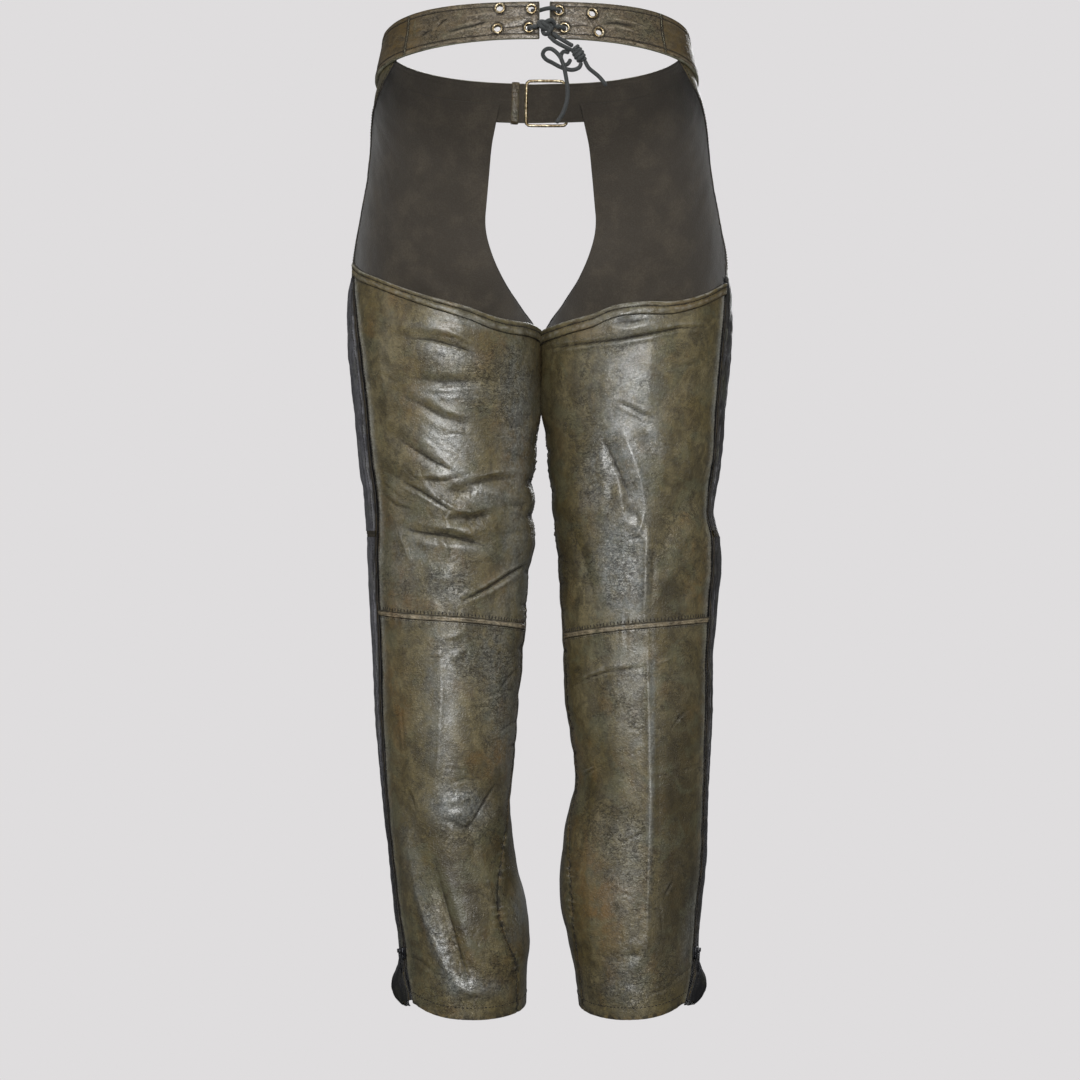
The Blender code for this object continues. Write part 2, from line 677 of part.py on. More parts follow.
def add_knee_welt(name, upper, lower, finish, collection):
    """A raised welt along a knee seam, riding on the panels above and below it."""
    edge = upper.share_down(WELT_HALF_WIDTH, upper.rows - 1)
    rise = lower.share_down(WELT_HALF_WIDTH)
    crown = SEAM_GAP + WELT_HEIGHT
    shoulder = SEAM_GAP + WELT_HEIGHT * 0.75
    rings = []
    for u in shares(upper.columns):
        rings.append((
            upper.at(u, 1.0 - edge, SEAM_GAP),
            upper.at(u, 1.0 - edge * 0.75, shoulder),
            mix(upper.at(u, 1.0, crown), lower.at(u, 0.0, crown), 0.5),
            lower.at(u, rise * 0.75, shoulder),
            lower.at(u, rise, SEAM_GAP),
        ))
    return section_loft(name, rings, finish, collection)


def strip_rows(patch, top_z):
    """The shares of a front panel's rows beside the zip, from top_z down."""
    return [row / patch.rows for row in range(patch.rows + 1)
            if patch.grid[row][0][0].z <= top_z]


def add_leg(side, collection):
    """The panels of one leg and what is sewn on them."""
    patches = leg_patches(side)
    for name, patch in patches.items():
        patch_wall(f"{name}_{side}", patch, LEATHER, OLIVE, collection)
    thigh, calf = patches["back_thigh"], patches["back_calf"]
    front, shin = patches["front_thigh"], patches["front_shin"]

    band = thigh.share_down(BAND_HEIGHT)
    overlay(f"top_band_{side}", thigh, shares(BACK_COLUMNS), (0.0, band / 2, band),
            SEAM_GAP, STRIP_LEATHER, OLIVE, collection)
    add_knee_welt(f"back_knee_welt_{side}", thigh, calf, OLIVE, collection)

    strip_shares = shares(STRIP_COLUMNS, 0.0, STRIP_COLUMNS / FRONT_COLUMNS)
    seam_inset = front.share_down(WELT_HALF_WIDTH + SEAM_GAP, front.rows - 1)
    upper_rows = strip_rows(front, ZIP_TOP_Z)
    upper_rows[-1] -= seam_inset
    overlay(f"side_strip_upper_{side}", front, strip_shares, upper_rows,
            SEAM_GAP, STRIP_LEATHER, CHARCOAL, collection)
    lower_rows = shares(shin.rows)
    lower_rows[0] += shin.share_down(WELT_HALF_WIDTH + SEAM_GAP)
    overlay(f"side_strip_lower_{side}", shin, strip_shares, lower_rows,
            SEAM_GAP, STRIP_LEATHER, CHARCOAL, collection)
    add_knee_welt(f"front_knee_welt_{side}", front, shin, OLIVE, collection)
    add_zip_tape(side, "front", (front, shin), collection)
    add_zip_tape(side, "back", (thigh, calf), collection)


# ---------------------------------------------------------------- zips
def add_zip_tape(side, half, patches, collection):
    """One tape of a side zip, inside the leg under the edges that it is sewn to."""
    depth = LEATHER + 2 * SEAM_GAP
    outer, inner = [], []
    for patch in patches:
        for row in range(patch.rows + 1):
            edge_z = patch.grid[row][0][0].z
            if edge_z > ZIP_TOP_Z or edge_z < TAPE_END_Z:
                continue
            edge = patch.share_across(-TAPE_EDGE, row)
            inside = patch.share_across(TAPE_WIDTH - TAPE_EDGE, row)
            v = row / patch.rows
            outer.append([patch.at(u, v, -depth) for u in (edge, inside)])
            inner.append([patch.at(u, v, -depth - TAPE_THICKNESS) for u in (edge, inside)])
    return wall(f"zip_tape_{half}_{side}", outer, inner, TAPE_BLACK, collection)


def zip_frame(side):
    """Where the slider sits: x along the leg's girth, y up the leg, z outwards."""
    angle = zip_angle(side, SLIDER_Z)
    place, outwards = surface(side, angle, SLIDER_Z)
    above, _ = surface(side, zip_angle(side, SLIDER_Z + 0.01), SLIDER_Z + 0.01)
    up = (above - place).normalized()
    outwards = (outwards - up * outwards.dot(up)).normalized()
    girth = up.cross(outwards)
    frame = Matrix((girth, up, outwards)).transposed().to_4x4()
    frame.translation = place
    return frame


def add_box(name, size, centre, finish, collection):
    """A box with its size and centre in its own frame, ready for a Bevel."""
    shape = bmesh.new()
    bmesh.ops.create_cube(shape, size=1.0)
    bmesh.ops.scale(shape, vec=size, verts=shape.verts)
    bmesh.ops.translate(shape, vec=centre, verts=shape.verts)
    return mesh_object(name, shape, finish, collection)


def join_with(thing, others):
    """Union other objects into this one; they stay behind as hidden cutters."""
    for other in others:
        other.hide_render = True
        other.display_type = "WIRE"
        union = thing.modifiers.new("join_" + other.name, "BOOLEAN")
        union.operation = "UNION"
        union.solver = "EXACT"
        union.object = other


SLIDER_BASE = Vector((0.0090, 0.0120, 0.0026))
SLIDER_LIFT = 0.0021         # clear of the side strip
EAR_SIZE = Vector((0.0014, 0.0040, 0.0032))
EAR_OFFSET = 0.0031
PULL_AXIS_HEIGHT = SLIDER_LIFT + SLIDER_BASE.z + 0.0018
PULL_AXIS_UP = 0.0030
PULL_BARREL_RADIUS = 0.0011
KEEL_WIDTH = 0.0026
KEEL_LENGTH = 0.0110
SINK = 0.0004                # how deep joined pieces reach into each other
PULL_LENGTH = 0.021
PULL_WIDTH = 0.0038
PULL_THICKNESS = 0.0011


def add_slider(side, collection, cutters):
    """A zip slider with two ears for its pull tab, and a keel between the leather edges."""
    frame = zip_frame(side)
    centre = Vector((0, 0, SLIDER_LIFT + SLIDER_BASE.z / 2))
    slider = add_box(f"zip_slider_{side}", SLIDER_BASE, centre, GUNMETAL, collection)
    joined = []
    for sign in (-1.0, 1.0):
        place = Vector((sign * EAR_OFFSET, PULL_AXIS_UP,
                        SLIDER_LIFT + SLIDER_BASE.z + EAR_SIZE.z / 2 - SINK))
        name = f"slider_ear_{side}_{'in' if sign < 0 else 'out'}"
        joined.append(add_box(name, EAR_SIZE, place, GUNMETAL, cutters))
    keel_depth = SLIDER_LIFT + LEATHER / 2
    keel_size = Vector((KEEL_WIDTH, KEEL_LENGTH, keel_depth))
    keel_place = Vector((0, 0, SLIDER_LIFT - keel_depth / 2 + SINK))
    joined.append(add_box(f"slider_keel_{side}", keel_size, keel_place, GUNMETAL, cutters))
    for thing in (slider, *joined):
        thing.matrix_world = frame
    join_with(slider, joined)


def add_pull_tab(side, collection, cutters):
    """The pull tab: a barrel between the slider's ears and a plate that hangs from it."""
    frame = zip_frame(side)
    shape = bmesh.new()
    bmesh.ops.create_cone(shape, cap_ends=True, segments=10, radius1=PULL_BARREL_RADIUS,
                          radius2=PULL_BARREL_RADIUS, depth=PULL_WIDTH,
                          matrix=Matrix.Rotation(math.pi / 2, 4, "Y"))
    tab = mesh_object(f"pull_tab_{side}", shape, GUNMETAL, collection)
    plate_place = Vector((0, -PULL_LENGTH / 2 - SINK, 0))
    plate = add_box(f"pull_plate_{side}", Vector((PULL_WIDTH - 0.0004, PULL_LENGTH, PULL_THICKNESS)),
                    plate_place, GUNMETAL, cutters)
    bevel = plate.modifiers.new("round_end", "BEVEL")
    bevel.width = 0.0003
    bevel.segments = 1
    axis_frame = frame @ Matrix.Translation((0, PULL_AXIS_UP, PULL_AXIS_HEIGHT))
    for thing in (tab, plate):
        thing.matrix_world = axis_frame
    join_with(tab, [plate])


# ---------------------------------------------------------------- belt
BELT_ROWS = (0.0, 0.5, 1.0)         # shares of its height
BELT_BACK_COLUMNS = 12
BELT_FRONT_COLUMNS = 22
SIDE_SEAM_TURN = 0.12               # degrees between the back and the front pieces


def belt_height(turn):
    """The belt is a little narrower where it is laced."""
    return mix(BELT_HEIGHT_SIDE, BELT_HEIGHT_BACK, smooth((-turn - 40.0) / 45.0))


def waist_point(side, turn, z):
    """A point of the plain hip, with x already on its own side of the centre plane."""
    point = hip_point(side, turn, z)
    point.x *= SIDES[side]
    return point


def belt_place(side, turn, share, offset):
    """A point of the belt: share 0 is the top edge and 1 the bottom edge."""
    middle_y = hip_point(side, turn, 0.0).y
    z = belt_mid_z(middle_y) + belt_height(turn) * (0.5 - share)
    across = waist_point(side, turn + 0.5, z) - waist_point(side, turn - 0.5, z)
    down = waist_point(side, turn, z - 0.004) - waist_point(side, turn, z + 0.004)
    normal = across.cross(down).normalized() * -SIDES[side]
    return waist_point(side, turn, z) + normal * offset, normal


def turn_at_x(side, x, face):
    """The turn round the hip where it lies x from the centre plane, on one face."""
    width = read_table(HIP_ROWS, "z", 0.0, side) - HALF_CLEARANCE
    share = clamp((x - HALF_CLEARANCE) / width, 0.0, 1.0)
    turn = math.degrees(math.acos(share ** (HIP_ROUNDNESS / 2.0)))
    return turn if face == "front" else -turn


def belt_patch(side, start, end, columns):
    """The belt's outer face between two turns."""

    def place(u, v):
        return belt_place(side, mix(start, end, u), v, BELT_LIFT + BELT_THICKNESS)

    return Patch(columns, BELT_ROWS, place)


# Centre-back ends, side seams and eyelets of the two belt halves; x outwards.
BeltHalf = namedtuple("BeltHalf", "end_x seam_x")
BELT_HALVES = {"left": BeltHalf(0.0015, 0.128), "right": BeltHalf(0.0090, 0.116)}
Eyelet = namedtuple("Eyelet", "name side x z")
EYELETS = (
    Eyelet("left_outer_top", "left", 0.0396, 0.0118),
    Eyelet("left_outer_low", "left", 0.0412, -0.0085),
    Eyelet("left_inner_top", "left", 0.0092, 0.0106),
    Eyelet("left_inner_low", "left", 0.0114, -0.0080),
    Eyelet("right_inner_top", "right", 0.0172, 0.0092),
    Eyelet("right_inner_low", "right", 0.0222, -0.0080),
    Eyelet("right_outer_top", "right", 0.0492, 0.0072),
    Eyelet("right_outer_low", "right", 0.0545, -0.0112),
)
EYELET_RADIUS = 0.0055
EYELET_HOLE_RADIUS = 0.0030
BELT_HOLE_RADIUS = 0.0037
EYELET_SEGMENTS = 12


def eyelet_frame(eyelet):
    """An eyelet's place on the belt's outer face, with z along its own axis."""
    turn = turn_at_x(eyelet.side, eyelet.x, "back")
    middle, _ = belt_place(eyelet.side, turn, 0.5, 0.0)
    share = 0.5 - (eyelet.z - middle.z) / belt_height(turn)
    place, normal = belt_place(eyelet.side, turn, share, BELT_LIFT + BELT_THICKNESS)
    frame = normal.to_track_quat("Z", "Y").to_matrix().to_4x4()
    frame.translation = place
    return frame


def add_eyelet(eyelet, collection):
    """A turned ring: a rolled flange outside and a barrel through the belt."""
    inner = EYELET_HOLE_RADIUS
    barrel = BELT_HOLE_RADIUS - SEAM_GAP
    lift = SEAM_GAP
    profile = (
        (inner + 0.0006, lift + 0.0014),
        (EYELET_RADIUS - 0.0006, lift + 0.0010),
        (EYELET_RADIUS, lift),
        (barrel, lift),
        (barrel, -BELT_THICKNESS),
        (inner, -BELT_THICKNESS),
    )
    shape = bmesh.new()
    verts = [shape.verts.new((radius, 0.0, height)) for radius, height in profile]
    for vert, following in zip(verts, verts[1:] + verts[:1]):
        shape.edges.new((vert, following))
    mesh = bpy.data.meshes.new("eyelet_" + eyelet.name)
    shape.to_mesh(mesh)
    shape.free()
    thing = add_object("eyelet_" + eyelet.name, mesh, ANTIQUE_BRASS, collection)
    screw = thing.modifiers.new("turn", "SCREW")
    screw.steps = EYELET_SEGMENTS
    screw.render_steps = EYELET_SEGMENTS
    screw.use_merge_vertices = True
    screw.merge_threshold = 0.00005
    thing.matrix_world = eyelet_frame(eyelet)


def add_belt_back(side, collection, cutters):
    """The laced half of the belt, from the centre back to the side seam, with its holes."""
    half = BELT_HALVES[side]
    start = turn_at_x(side, half.end_x, "back")
    end = turn_at_x(side, half.seam_x, "back")
    patch = belt_patch(side, start, end, BELT_BACK_COLUMNS)
    belt = patch_wall(f"belt_back_{side}", patch, BELT_THICKNESS, BELT_BROWN, collection)
    for eyelet in EYELETS:
        if eyelet.side != side:
            continue
        shape = bmesh.new()
        bmesh.ops.create_cone(shape, cap_ends=True, segments=EYELET_SEGMENTS,
                              radius1=BELT_HOLE_RADIUS, radius2=BELT_HOLE_RADIUS, depth=0.016)
        cutter = mesh_object("hole_" + eyelet.name, shape, ANTIQUE_BRASS, cutters)
        cutter.matrix_world = eyelet_frame(eyelet)
        cutter.hide_render = True
        cutter.display_type = "WIRE"
        cut = belt.modifiers.new("hole_" + eyelet.name, "BOOLEAN")
        cut.operation = "DIFFERENCE"
        cut.solver = "EXACT"
        cut.object = cutter


BUCKLE_BAR_RADIUS = 0.0016
BUCKLE_HEEL_X = -0.0150      # the bar in the left half's end, x in the garment's own frame
BUCKLE_NOSE_X = 0.0250
BUCKLE_HALF_HEIGHT = 0.0235
BUCKLE_CORNER = 0.005
CORNER_CUT = 0.29            # how far a corner's middle point lies along its two sides
PRONG_RADIUS = 0.0013
PRONG_ROOT_X = 0.001
STRAP_JOIN_TURN = 60.0       # from here the strap is set out by x and no longer by its turn
STRAP_SIDE_COLUMNS = 14
STRAP_COLUMNS = 22
STRAP_END_X = -0.082
STRAP_TIP_LENGTH = 0.016
STRAP_RISE = BELT_THICKNESS + 0.0012
STRAP_CLIMB_X = 0.017        # where the strap starts to climb, and over what length
STRAP_CLIMB_LENGTH = 0.026
KEEPER_X = -0.0265
KEEPER_WIDTH = 0.008
KEEPER_THICKNESS = 0.0015


def front_frame(x):
    """Belt's outer face at the front: its middle point, normal and up, at a garment x."""
    side = "left" if x < 0 else "right"
    turn = turn_at_x(side, max(abs(x), HALF_CLEARANCE), "front")
    point, normal = belt_place(side, turn, 0.5, BELT_LIFT + BELT_THICKNESS)
    above, _ = belt_place(side, turn, 0.3, BELT_LIFT + BELT_THICKNESS)
    return point, normal, (above - point).normalized()


def strap_lift(x):
    """How far the strap stands off the form as it climbs over the buckle's heel bar."""
    return STRAP_RISE * smooth((STRAP_CLIMB_X - x) / STRAP_CLIMB_LENGTH)


def add_belt_front(collection):
    """The two front pieces: the left one ends at the buckle, the right one runs through it."""
    left_start = turn_at_x("left", BELT_HALVES["left"].seam_x, "back")
    left_end = turn_at_x("left", -BUCKLE_HEEL_X + BUCKLE_BAR_RADIUS + SEAM_GAP, "front")
    left = belt_patch("left", left_start + SIDE_SEAM_TURN, left_end, BELT_FRONT_COLUMNS)
    patch_wall("belt_front_left", left, BELT_THICKNESS, BELT_BROWN, collection)

    right_start = turn_at_x("right", BELT_HALVES["right"].seam_x, "back") + SIDE_SEAM_TURN
    outer, inner = [], []
    for turn in shares(STRAP_SIDE_COLUMNS, right_start, STRAP_JOIN_TURN):
        for rows, offset in ((outer, BELT_LIFT + BELT_THICKNESS), (inner, BELT_LIFT)):
            rows.append([belt_place("right", turn, v, offset)[0] for v in BELT_ROWS])
    first_x = abs(belt_place("right", STRAP_JOIN_TURN, 0.5, 0.0)[0].x)
    for x in shares(STRAP_COLUMNS, first_x, STRAP_END_X)[1:]:
        point, normal, up = front_frame(x)
        tip = clamp((x - STRAP_END_X) / STRAP_TIP_LENGTH)
        half = BELT_HEIGHT_SIDE / 2 * math.sqrt(clamp(tip * (2.0 - tip), 0.12, 1.0))
        lift = strap_lift(x)
        for rows, offset in ((outer, lift), (inner, lift - BELT_THICKNESS)):
            rows.append([point + normal * offset + up * half * k for k in (1.0, 0.0, -1.0)])
    wall("belt_front_right", outer, inner, BELT_BROWN, collection)


def buckle_corner(end, direction, up):
    """Three points round a corner of the frame, from its upright to its long side."""
    upright = end + up * BUCKLE_CORNER
    beside = end + direction * BUCKLE_CORNER
    middle = end + (up + direction) * (BUCKLE_CORNER * CORNER_CUT)
    return [upright, middle, beside]


def add_buckle(collection):
    """A plain frame with a prong."""
    heel, heel_normal, heel_up = front_frame(BUCKLE_HEEL_X)
    nose, nose_normal, nose_up = front_frame(BUCKLE_NOSE_X)
    heel -= heel_normal * BELT_THICKNESS / 2
    nose += nose_normal * (BUCKLE_BAR_RADIUS + 2 * SEAM_GAP)
    along = (nose - heel).normalized()
    heel_reach = heel_up * BUCKLE_HALF_HEIGHT
    nose_reach = nose_up * BUCKLE_HALF_HEIGHT
    ring = buckle_corner(heel + heel_reach, along, -heel_up)
    ring += reversed(buckle_corner(nose + nose_reach, -along, -nose_up))
    ring += buckle_corner(nose - nose_reach, -along, nose_up)
    ring += reversed(buckle_corner(heel - heel_reach, along, heel_up))
    tube("buckle_frame", ring, BUCKLE_BAR_RADIUS, ANTIQUE_BRASS, collection, cyclic=True)

    over_bar = PRONG_RADIUS + 0.0004
    root, root_normal, _ = front_frame(PRONG_ROOT_X)
    start = root + root_normal * (strap_lift(PRONG_ROOT_X) + over_bar)
    end = nose + nose_normal * (BUCKLE_BAR_RADIUS + over_bar) + along * 0.002
    middle = (start + end) / 2 + nose_normal * 0.0012
    tube("buckle_prong", [start, middle, end], PRONG_RADIUS, ANTIQUE_BRASS, collection)


def add_keeper(collection):
    """A leather loop round the belt and the strap's end."""
    centre, normal, up = front_frame(KEEPER_X)
    sideways = up.cross(normal) * KEEPER_WIDTH / 2
    top = BELT_HEIGHT_SIDE / 2 + 0.0006
    low = -BELT_THICKNESS - 0.0007
    high = STRAP_RISE + 0.0008
    shape = bmesh.new()
    loops = []
    for grow, shift in ((0.0, -sideways), (0.0, sideways),
                        (KEEPER_THICKNESS, sideways), (KEEPER_THICKNESS, -sideways)):
        corners = ((top + grow, high + grow), (top + grow, low - grow),
                   (-top - grow, low - grow), (-top - grow, high + grow))
        loops.append([shape.verts.new(centre + up * a + normal * b + shift) for a, b in corners])
    for loop, following in zip(loops, loops[1:] + loops[:1]):
        for index in range(4):
            after = (index + 1) % 4
            shape.faces.new((loop[index], loop[after], following[after], following[index]))
    mesh_object("belt_keeper", shape, BELT_BROWN, collection)


# ---------------------------------------------------------------- lace
def lace_point(x, z, out):
    """A place by the centre back, out from the belt's outer face, x in the garment's frame."""
    side = "left" if x < 0 else "right"
    turn = turn_at_x(side, max(abs(x), HALF_CLEARANCE), "back")
    point, _ = belt_place(side, turn, 0.5, BELT_LIFT + BELT_THICKNESS)
    return Vector((x, point.y - out, z))


# Routes are chosen by hand: x, z, and how far out from the belt's outer face, millimetres.
Stop = namedtuple("Stop", "x z out")
CROSS_TOP = (
    Stop(17.2, 9.2, -3.0), Stop(17.2, 9.2, 2.4), Stop(14.6, 9.5, 4.9), Stop(10.0, 10.4, 4.4),
    Stop(5.4, 11.0, 0.6), Stop(2.4, 11.3, -3.4), Stop(-2.4, 11.0, -7.0), Stop(-9.0, 10.8, -7.2),
)
CROSS_LOW_LEFT = (
    Stop(-11.4, -8.0, -3.0), Stop(-11.4, -8.0, 2.6), Stop(-8.8, -7.8, 5.0), Stop(-4.0, -7.4, 5.2),
)
CROSS_LOW_RIGHT = (
    Stop(22.2, -8.0, -3.0), Stop(22.2, -8.0, 2.9), Stop(19.4, -7.8, 5.4), Stop(14.5, -7.4, 5.2),
)
STEM_UPPER = (
    Stop(11.5, -13.9, 5.2), Stop(17.0, -18.2, 5.2), Stop(22.0, -21.0, 4.6), Stop(30.0, -25.2, 3.8),
)
STEM_LOWER = (
    Stop(7.7, -16.4, 4.8), Stop(13.0, -21.4, 4.6), Stop(19.0, -24.8, 4.4), Stop(24.0, -27.2, 4.2),
    Stop(28.9, -29.4, 3.7),
)
RING_LOOP = (
    Stop(26.4, -31.0, 0.5), Stop(22.0, -30.2, -0.1), Stop(19.4, -33.4, -0.4), Stop(19.8, -38.6, -0.2),
    Stop(22.6, -43.0, 0.1), Stop(26.0, -42.0, 0.2), Stop(28.2, -38.4, 0.5),
)
LONG_TAIL = (
    Stop(38.6, -42.1, 3.4), Stop(36.6, -46.2, 3.6), Stop(31.0, -48.4, 3.0), Stop(25.0, -47.4, 0.8),
    Stop(18.0, -44.6, -1.4), Stop(11.0, -40.8, -1.6), Stop(4.6, -37.6, -0.6), Stop(1.6, -33.2, 1.4),
    Stop(4.4, -29.2, 3.4), Stop(9.6, -28.8, 4.6), Stop(15.0, -32.6, 5.2), Stop(19.6, -39.0, 5.4),
    Stop(22.6, -48.8, 5.4), Stop(25.0, -62.0, 5.0), Stop(25.6, -71.0, 4.6), Stop(24.6, -80.0, 4.2),
    Stop(21.0, -90.4, 3.8), Stop(15.4, -99.2, 3.6),
)
SHORT_TAIL = (
    Stop(42.5, -40.1, 3.0), Stop(46.0, -46.0, 2.6), Stop(51.0, -50.0, 2.2), Stop(56.6, -54.4, 1.8),
    Stop(62.6, -61.4, 1.4),
)
LACE_ROUTES = {
    "lace_cross_top": CROSS_TOP,
    "lace_cross_low_left": CROSS_LOW_LEFT,
    "lace_cross_low_right": CROSS_LOW_RIGHT,
    "lace_stem_upper": STEM_UPPER,
    "lace_stem_lower": STEM_LOWER,
    "lace_ring_loop": RING_LOOP,
    "lace_long_tail": LONG_TAIL,
    "lace_short_tail": SHORT_TAIL,
}
Knot = namedtuple("Knot", "name x z out half_x half_z half_out tilt")
KNOTS = (
    Knot("lace_knot_main", 5.2, -7.2, 5.2, 8.8, 8.4, 4.6, 0.0),
    Knot("lace_knot_second", 36.2, -33.2, 3.6, 5.4, 8.6, 4.2, -30.0),
)


def add_lace(collection):
    """The lace: crossings between the eyelets, two knots, a ring loop and two free tails."""
    for name, route in LACE_ROUTES.items():
        points = [lace_point(stop.x * MM, stop.z * MM, stop.out * MM) for stop in route]
        tube(name, points, LACE_RADIUS, LACE_GREY, collection)
    for knot in KNOTS:
        shape = bmesh.new()
        bmesh.ops.create_uvsphere(shape, u_segments=12, v_segments=8, radius=1.0)
        sizes = Vector((knot.half_x, knot.half_out, knot.half_z)) * MM
        bmesh.ops.scale(shape, vec=sizes, verts=shape.verts)
        thing = mesh_object(knot.name, shape, LACE_GREY, collection)
        place = lace_point(knot.x * MM, knot.z * MM, knot.out * MM)
        turn = Matrix.Rotation(math.radians(knot.tilt), 4, "Y")
        thing.matrix_world = Matrix.Translation(place) @ turn


# ---------------------------------------------------------------- the whole garment
def new_collection(name):
    collection = bpy.data.collections.new(name)
    bpy.context.scene.collection.children.link(collection)
    return collection


def main():
    for thing in list(bpy.data.objects):
        bpy.data.objects.remove(thing)
    garment = new_collection("leather_chaps")
    cutters = new_collection("cutters")
    for side in SIDES:
        add_leg(side, garment)
        add_slider(side, garment, cutters)
        add_pull_tab(side, garment, cutters)
        add_belt_back(side, garment, cutters)
    add_belt_front(garment)
    add_buckle(garment)
    add_keeper(garment)
    for eyelet in EYELETS:
        add_eyelet(eyelet, garment)
    add_lace(garment)


main()
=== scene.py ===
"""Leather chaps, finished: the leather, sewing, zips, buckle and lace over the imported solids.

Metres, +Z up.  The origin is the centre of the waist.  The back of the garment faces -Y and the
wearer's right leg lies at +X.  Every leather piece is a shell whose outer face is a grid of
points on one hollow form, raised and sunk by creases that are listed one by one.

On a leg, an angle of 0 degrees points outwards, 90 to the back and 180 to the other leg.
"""

import json
import logging
import math
from collections.abc import Callable, Iterable, Sequence
from dataclasses import dataclass, field
from enum import Enum

import bmesh
import bpy
import numpy as np
from mathutils import Matrix, Vector


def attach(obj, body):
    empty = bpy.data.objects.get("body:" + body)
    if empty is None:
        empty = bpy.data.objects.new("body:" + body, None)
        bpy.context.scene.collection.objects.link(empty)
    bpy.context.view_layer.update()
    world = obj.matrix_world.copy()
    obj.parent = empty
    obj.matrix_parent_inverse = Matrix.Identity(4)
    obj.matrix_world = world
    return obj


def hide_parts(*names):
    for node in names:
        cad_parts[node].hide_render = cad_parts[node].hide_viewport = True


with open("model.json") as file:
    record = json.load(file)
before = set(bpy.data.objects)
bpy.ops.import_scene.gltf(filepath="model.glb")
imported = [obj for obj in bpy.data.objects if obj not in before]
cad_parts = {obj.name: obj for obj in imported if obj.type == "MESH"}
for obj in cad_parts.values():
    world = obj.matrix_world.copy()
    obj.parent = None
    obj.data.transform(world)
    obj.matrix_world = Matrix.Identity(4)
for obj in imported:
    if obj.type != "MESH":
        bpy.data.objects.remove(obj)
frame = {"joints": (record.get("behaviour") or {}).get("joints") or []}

Array = np.ndarray
Pair = tuple[Array, Array]
Triple = tuple[float, float, float]
Piece = bpy.types.Object
Material = bpy.types.Material
Socket = bpy.types.NodeSocket
LOG = logging.getLogger("chaps")
MM = 0.001
TO_MM = 1000.0
GARMENT = "garment"
THREAD_LIFT = 0.0001
# The least length and share of its box for a cut sheet, and a cord's least length.
LEAST_CUT, LEAST_FILL, LEAST_CORD = 0.0101, 0.31, 0.0301


# ------------------------------------------------------------------ sizes
class Side(Enum):
    """One of the garment's two legs, with the sign of its X."""

    LEFT = -1.0
    RIGHT = 1.0

    @property
    def word(self) -> str:
        """The side's name as it stands in node names."""
        return self.name.lower()


class Face(Enum):
    """The back or the front half of a leg."""

    BACK = "back"
    FRONT = "front"


@dataclass(frozen=True)
class Leather:
    """Thicknesses and gaps, the same as the solids have."""

    panel: float = 0.0016
    strip: float = 0.0012
    belt: float = 0.0030
    belt_lift: float = 0.0009
    gap: float = 0.0003


@dataclass(frozen=True)
class Sizes:
    """The garment's main heights, widths and exponents."""

    hem_z: float = -0.973
    crotch_z: float = -0.295
    blend_low: float = -0.290
    blend_high: float = -0.150
    leg_roundness: float = 2.15
    hip_roundness: float = 2.3
    centre_clearance: float = 0.002
    zip_top_z: float = -0.236
    slider_z: float = -0.9155
    zip_open_z: float = -0.923
    chain_width: float = 0.005
    flare: float = 0.0105
    flare_run: float = 0.026
    back_open_run: float = 0.045
    front_open_run: float = 0.035
    curl_z: float = -0.948
    tuck_angle: float = 11.0
    open_angle: float = 9.0
    front_knee_z: float = -0.495
    welt_half_width: float = 0.0030
    belt_height_back: float = 0.036
    belt_height_side: float = 0.040
    belt_tilt: float = 0.15
    lace_radius: float = 0.0020


LEATHER = Leather()
SIZES = Sizes()


def table(text: str) -> tuple[tuple[float, ...], ...]:
    """Rows of numbers from a text, with semicolons between rows."""
    return tuple(tuple(float(word) for word in row.split()) for row in text.split(";"))


# z, outer, inner, front, back
LEG_ROWS = {
    Side.LEFT: table("""-0.15 0.184 0.002 0.112 0.088; -0.22 0.192 0.002 0.108 0.092;
        -0.29 0.194 0.002 0.101 0.095; -0.33 0.1912 0.002 0.0975 0.092;
        -0.37 0.1868 0.0022 0.0935 0.088; -0.42 0.1826 0.0051 0.0885 0.0835;
        -0.46 0.1768 0.0071 0.0855 0.08; -0.5 0.1744 0.0071 0.0835 0.0775;
        -0.545 0.1722 0.0133 0.0815 0.0755; -0.585 0.1702 0.015 0.079 0.0745;
        -0.625 0.1683 0.0189 0.0745 0.0745; -0.665 0.1666 0.0224 0.07 0.075;
        -0.705 0.1632 0.025 0.0665 0.0755; -0.745 0.1601 0.0296 0.064 0.0755;
        -0.785 0.1561 0.0306 0.0625 0.0755; -0.83 0.151 0.025 0.062 0.0765;
        -0.87 0.1469 0.0153 0.0625 0.0785; -0.91 0.1418 0.0112 0.064 0.0805;
        -0.94 0.14 0.0143 0.065 0.0815; -0.973 0.1395 0.0153 0.0655 0.082"""),
    Side.RIGHT: table("""-0.15 0.182 0.002 0.112 0.088; -0.22 0.19 0.002 0.108 0.092;
        -0.29 0.1912 0.002 0.101 0.095; -0.33 0.1887 0.002 0.0975 0.092;
        -0.37 0.1846 0.0024 0.0935 0.088; -0.42 0.1805 0.0066 0.0885 0.0835;
        -0.458 0.1738 0.0107 0.0855 0.08; -0.477 0.173 0.012 0.0845 0.079;
        -0.499 0.179 0.0148 0.0835 0.0775; -0.527 0.1803 0.017 0.082 0.0765;
        -0.555 0.1776 0.019 0.0805 0.0755; -0.585 0.1752 0.0209 0.079 0.0745;
        -0.625 0.1724 0.0224 0.0745 0.0745; -0.665 0.1719 0.0245 0.07 0.075;
        -0.705 0.1698 0.0301 0.0665 0.0755; -0.745 0.1683 0.0347 0.064 0.0755;
        -0.785 0.1668 0.0265 0.0625 0.0755; -0.83 0.1652 0.0199 0.062 0.0765;
        -0.87 0.1601 0.0194 0.0625 0.0785; -0.91 0.1571 0.0281 0.064 0.0805;
        -0.94 0.156 0.0342 0.065 0.0815; -0.973 0.152 0.0383 0.0655 0.082"""),
}
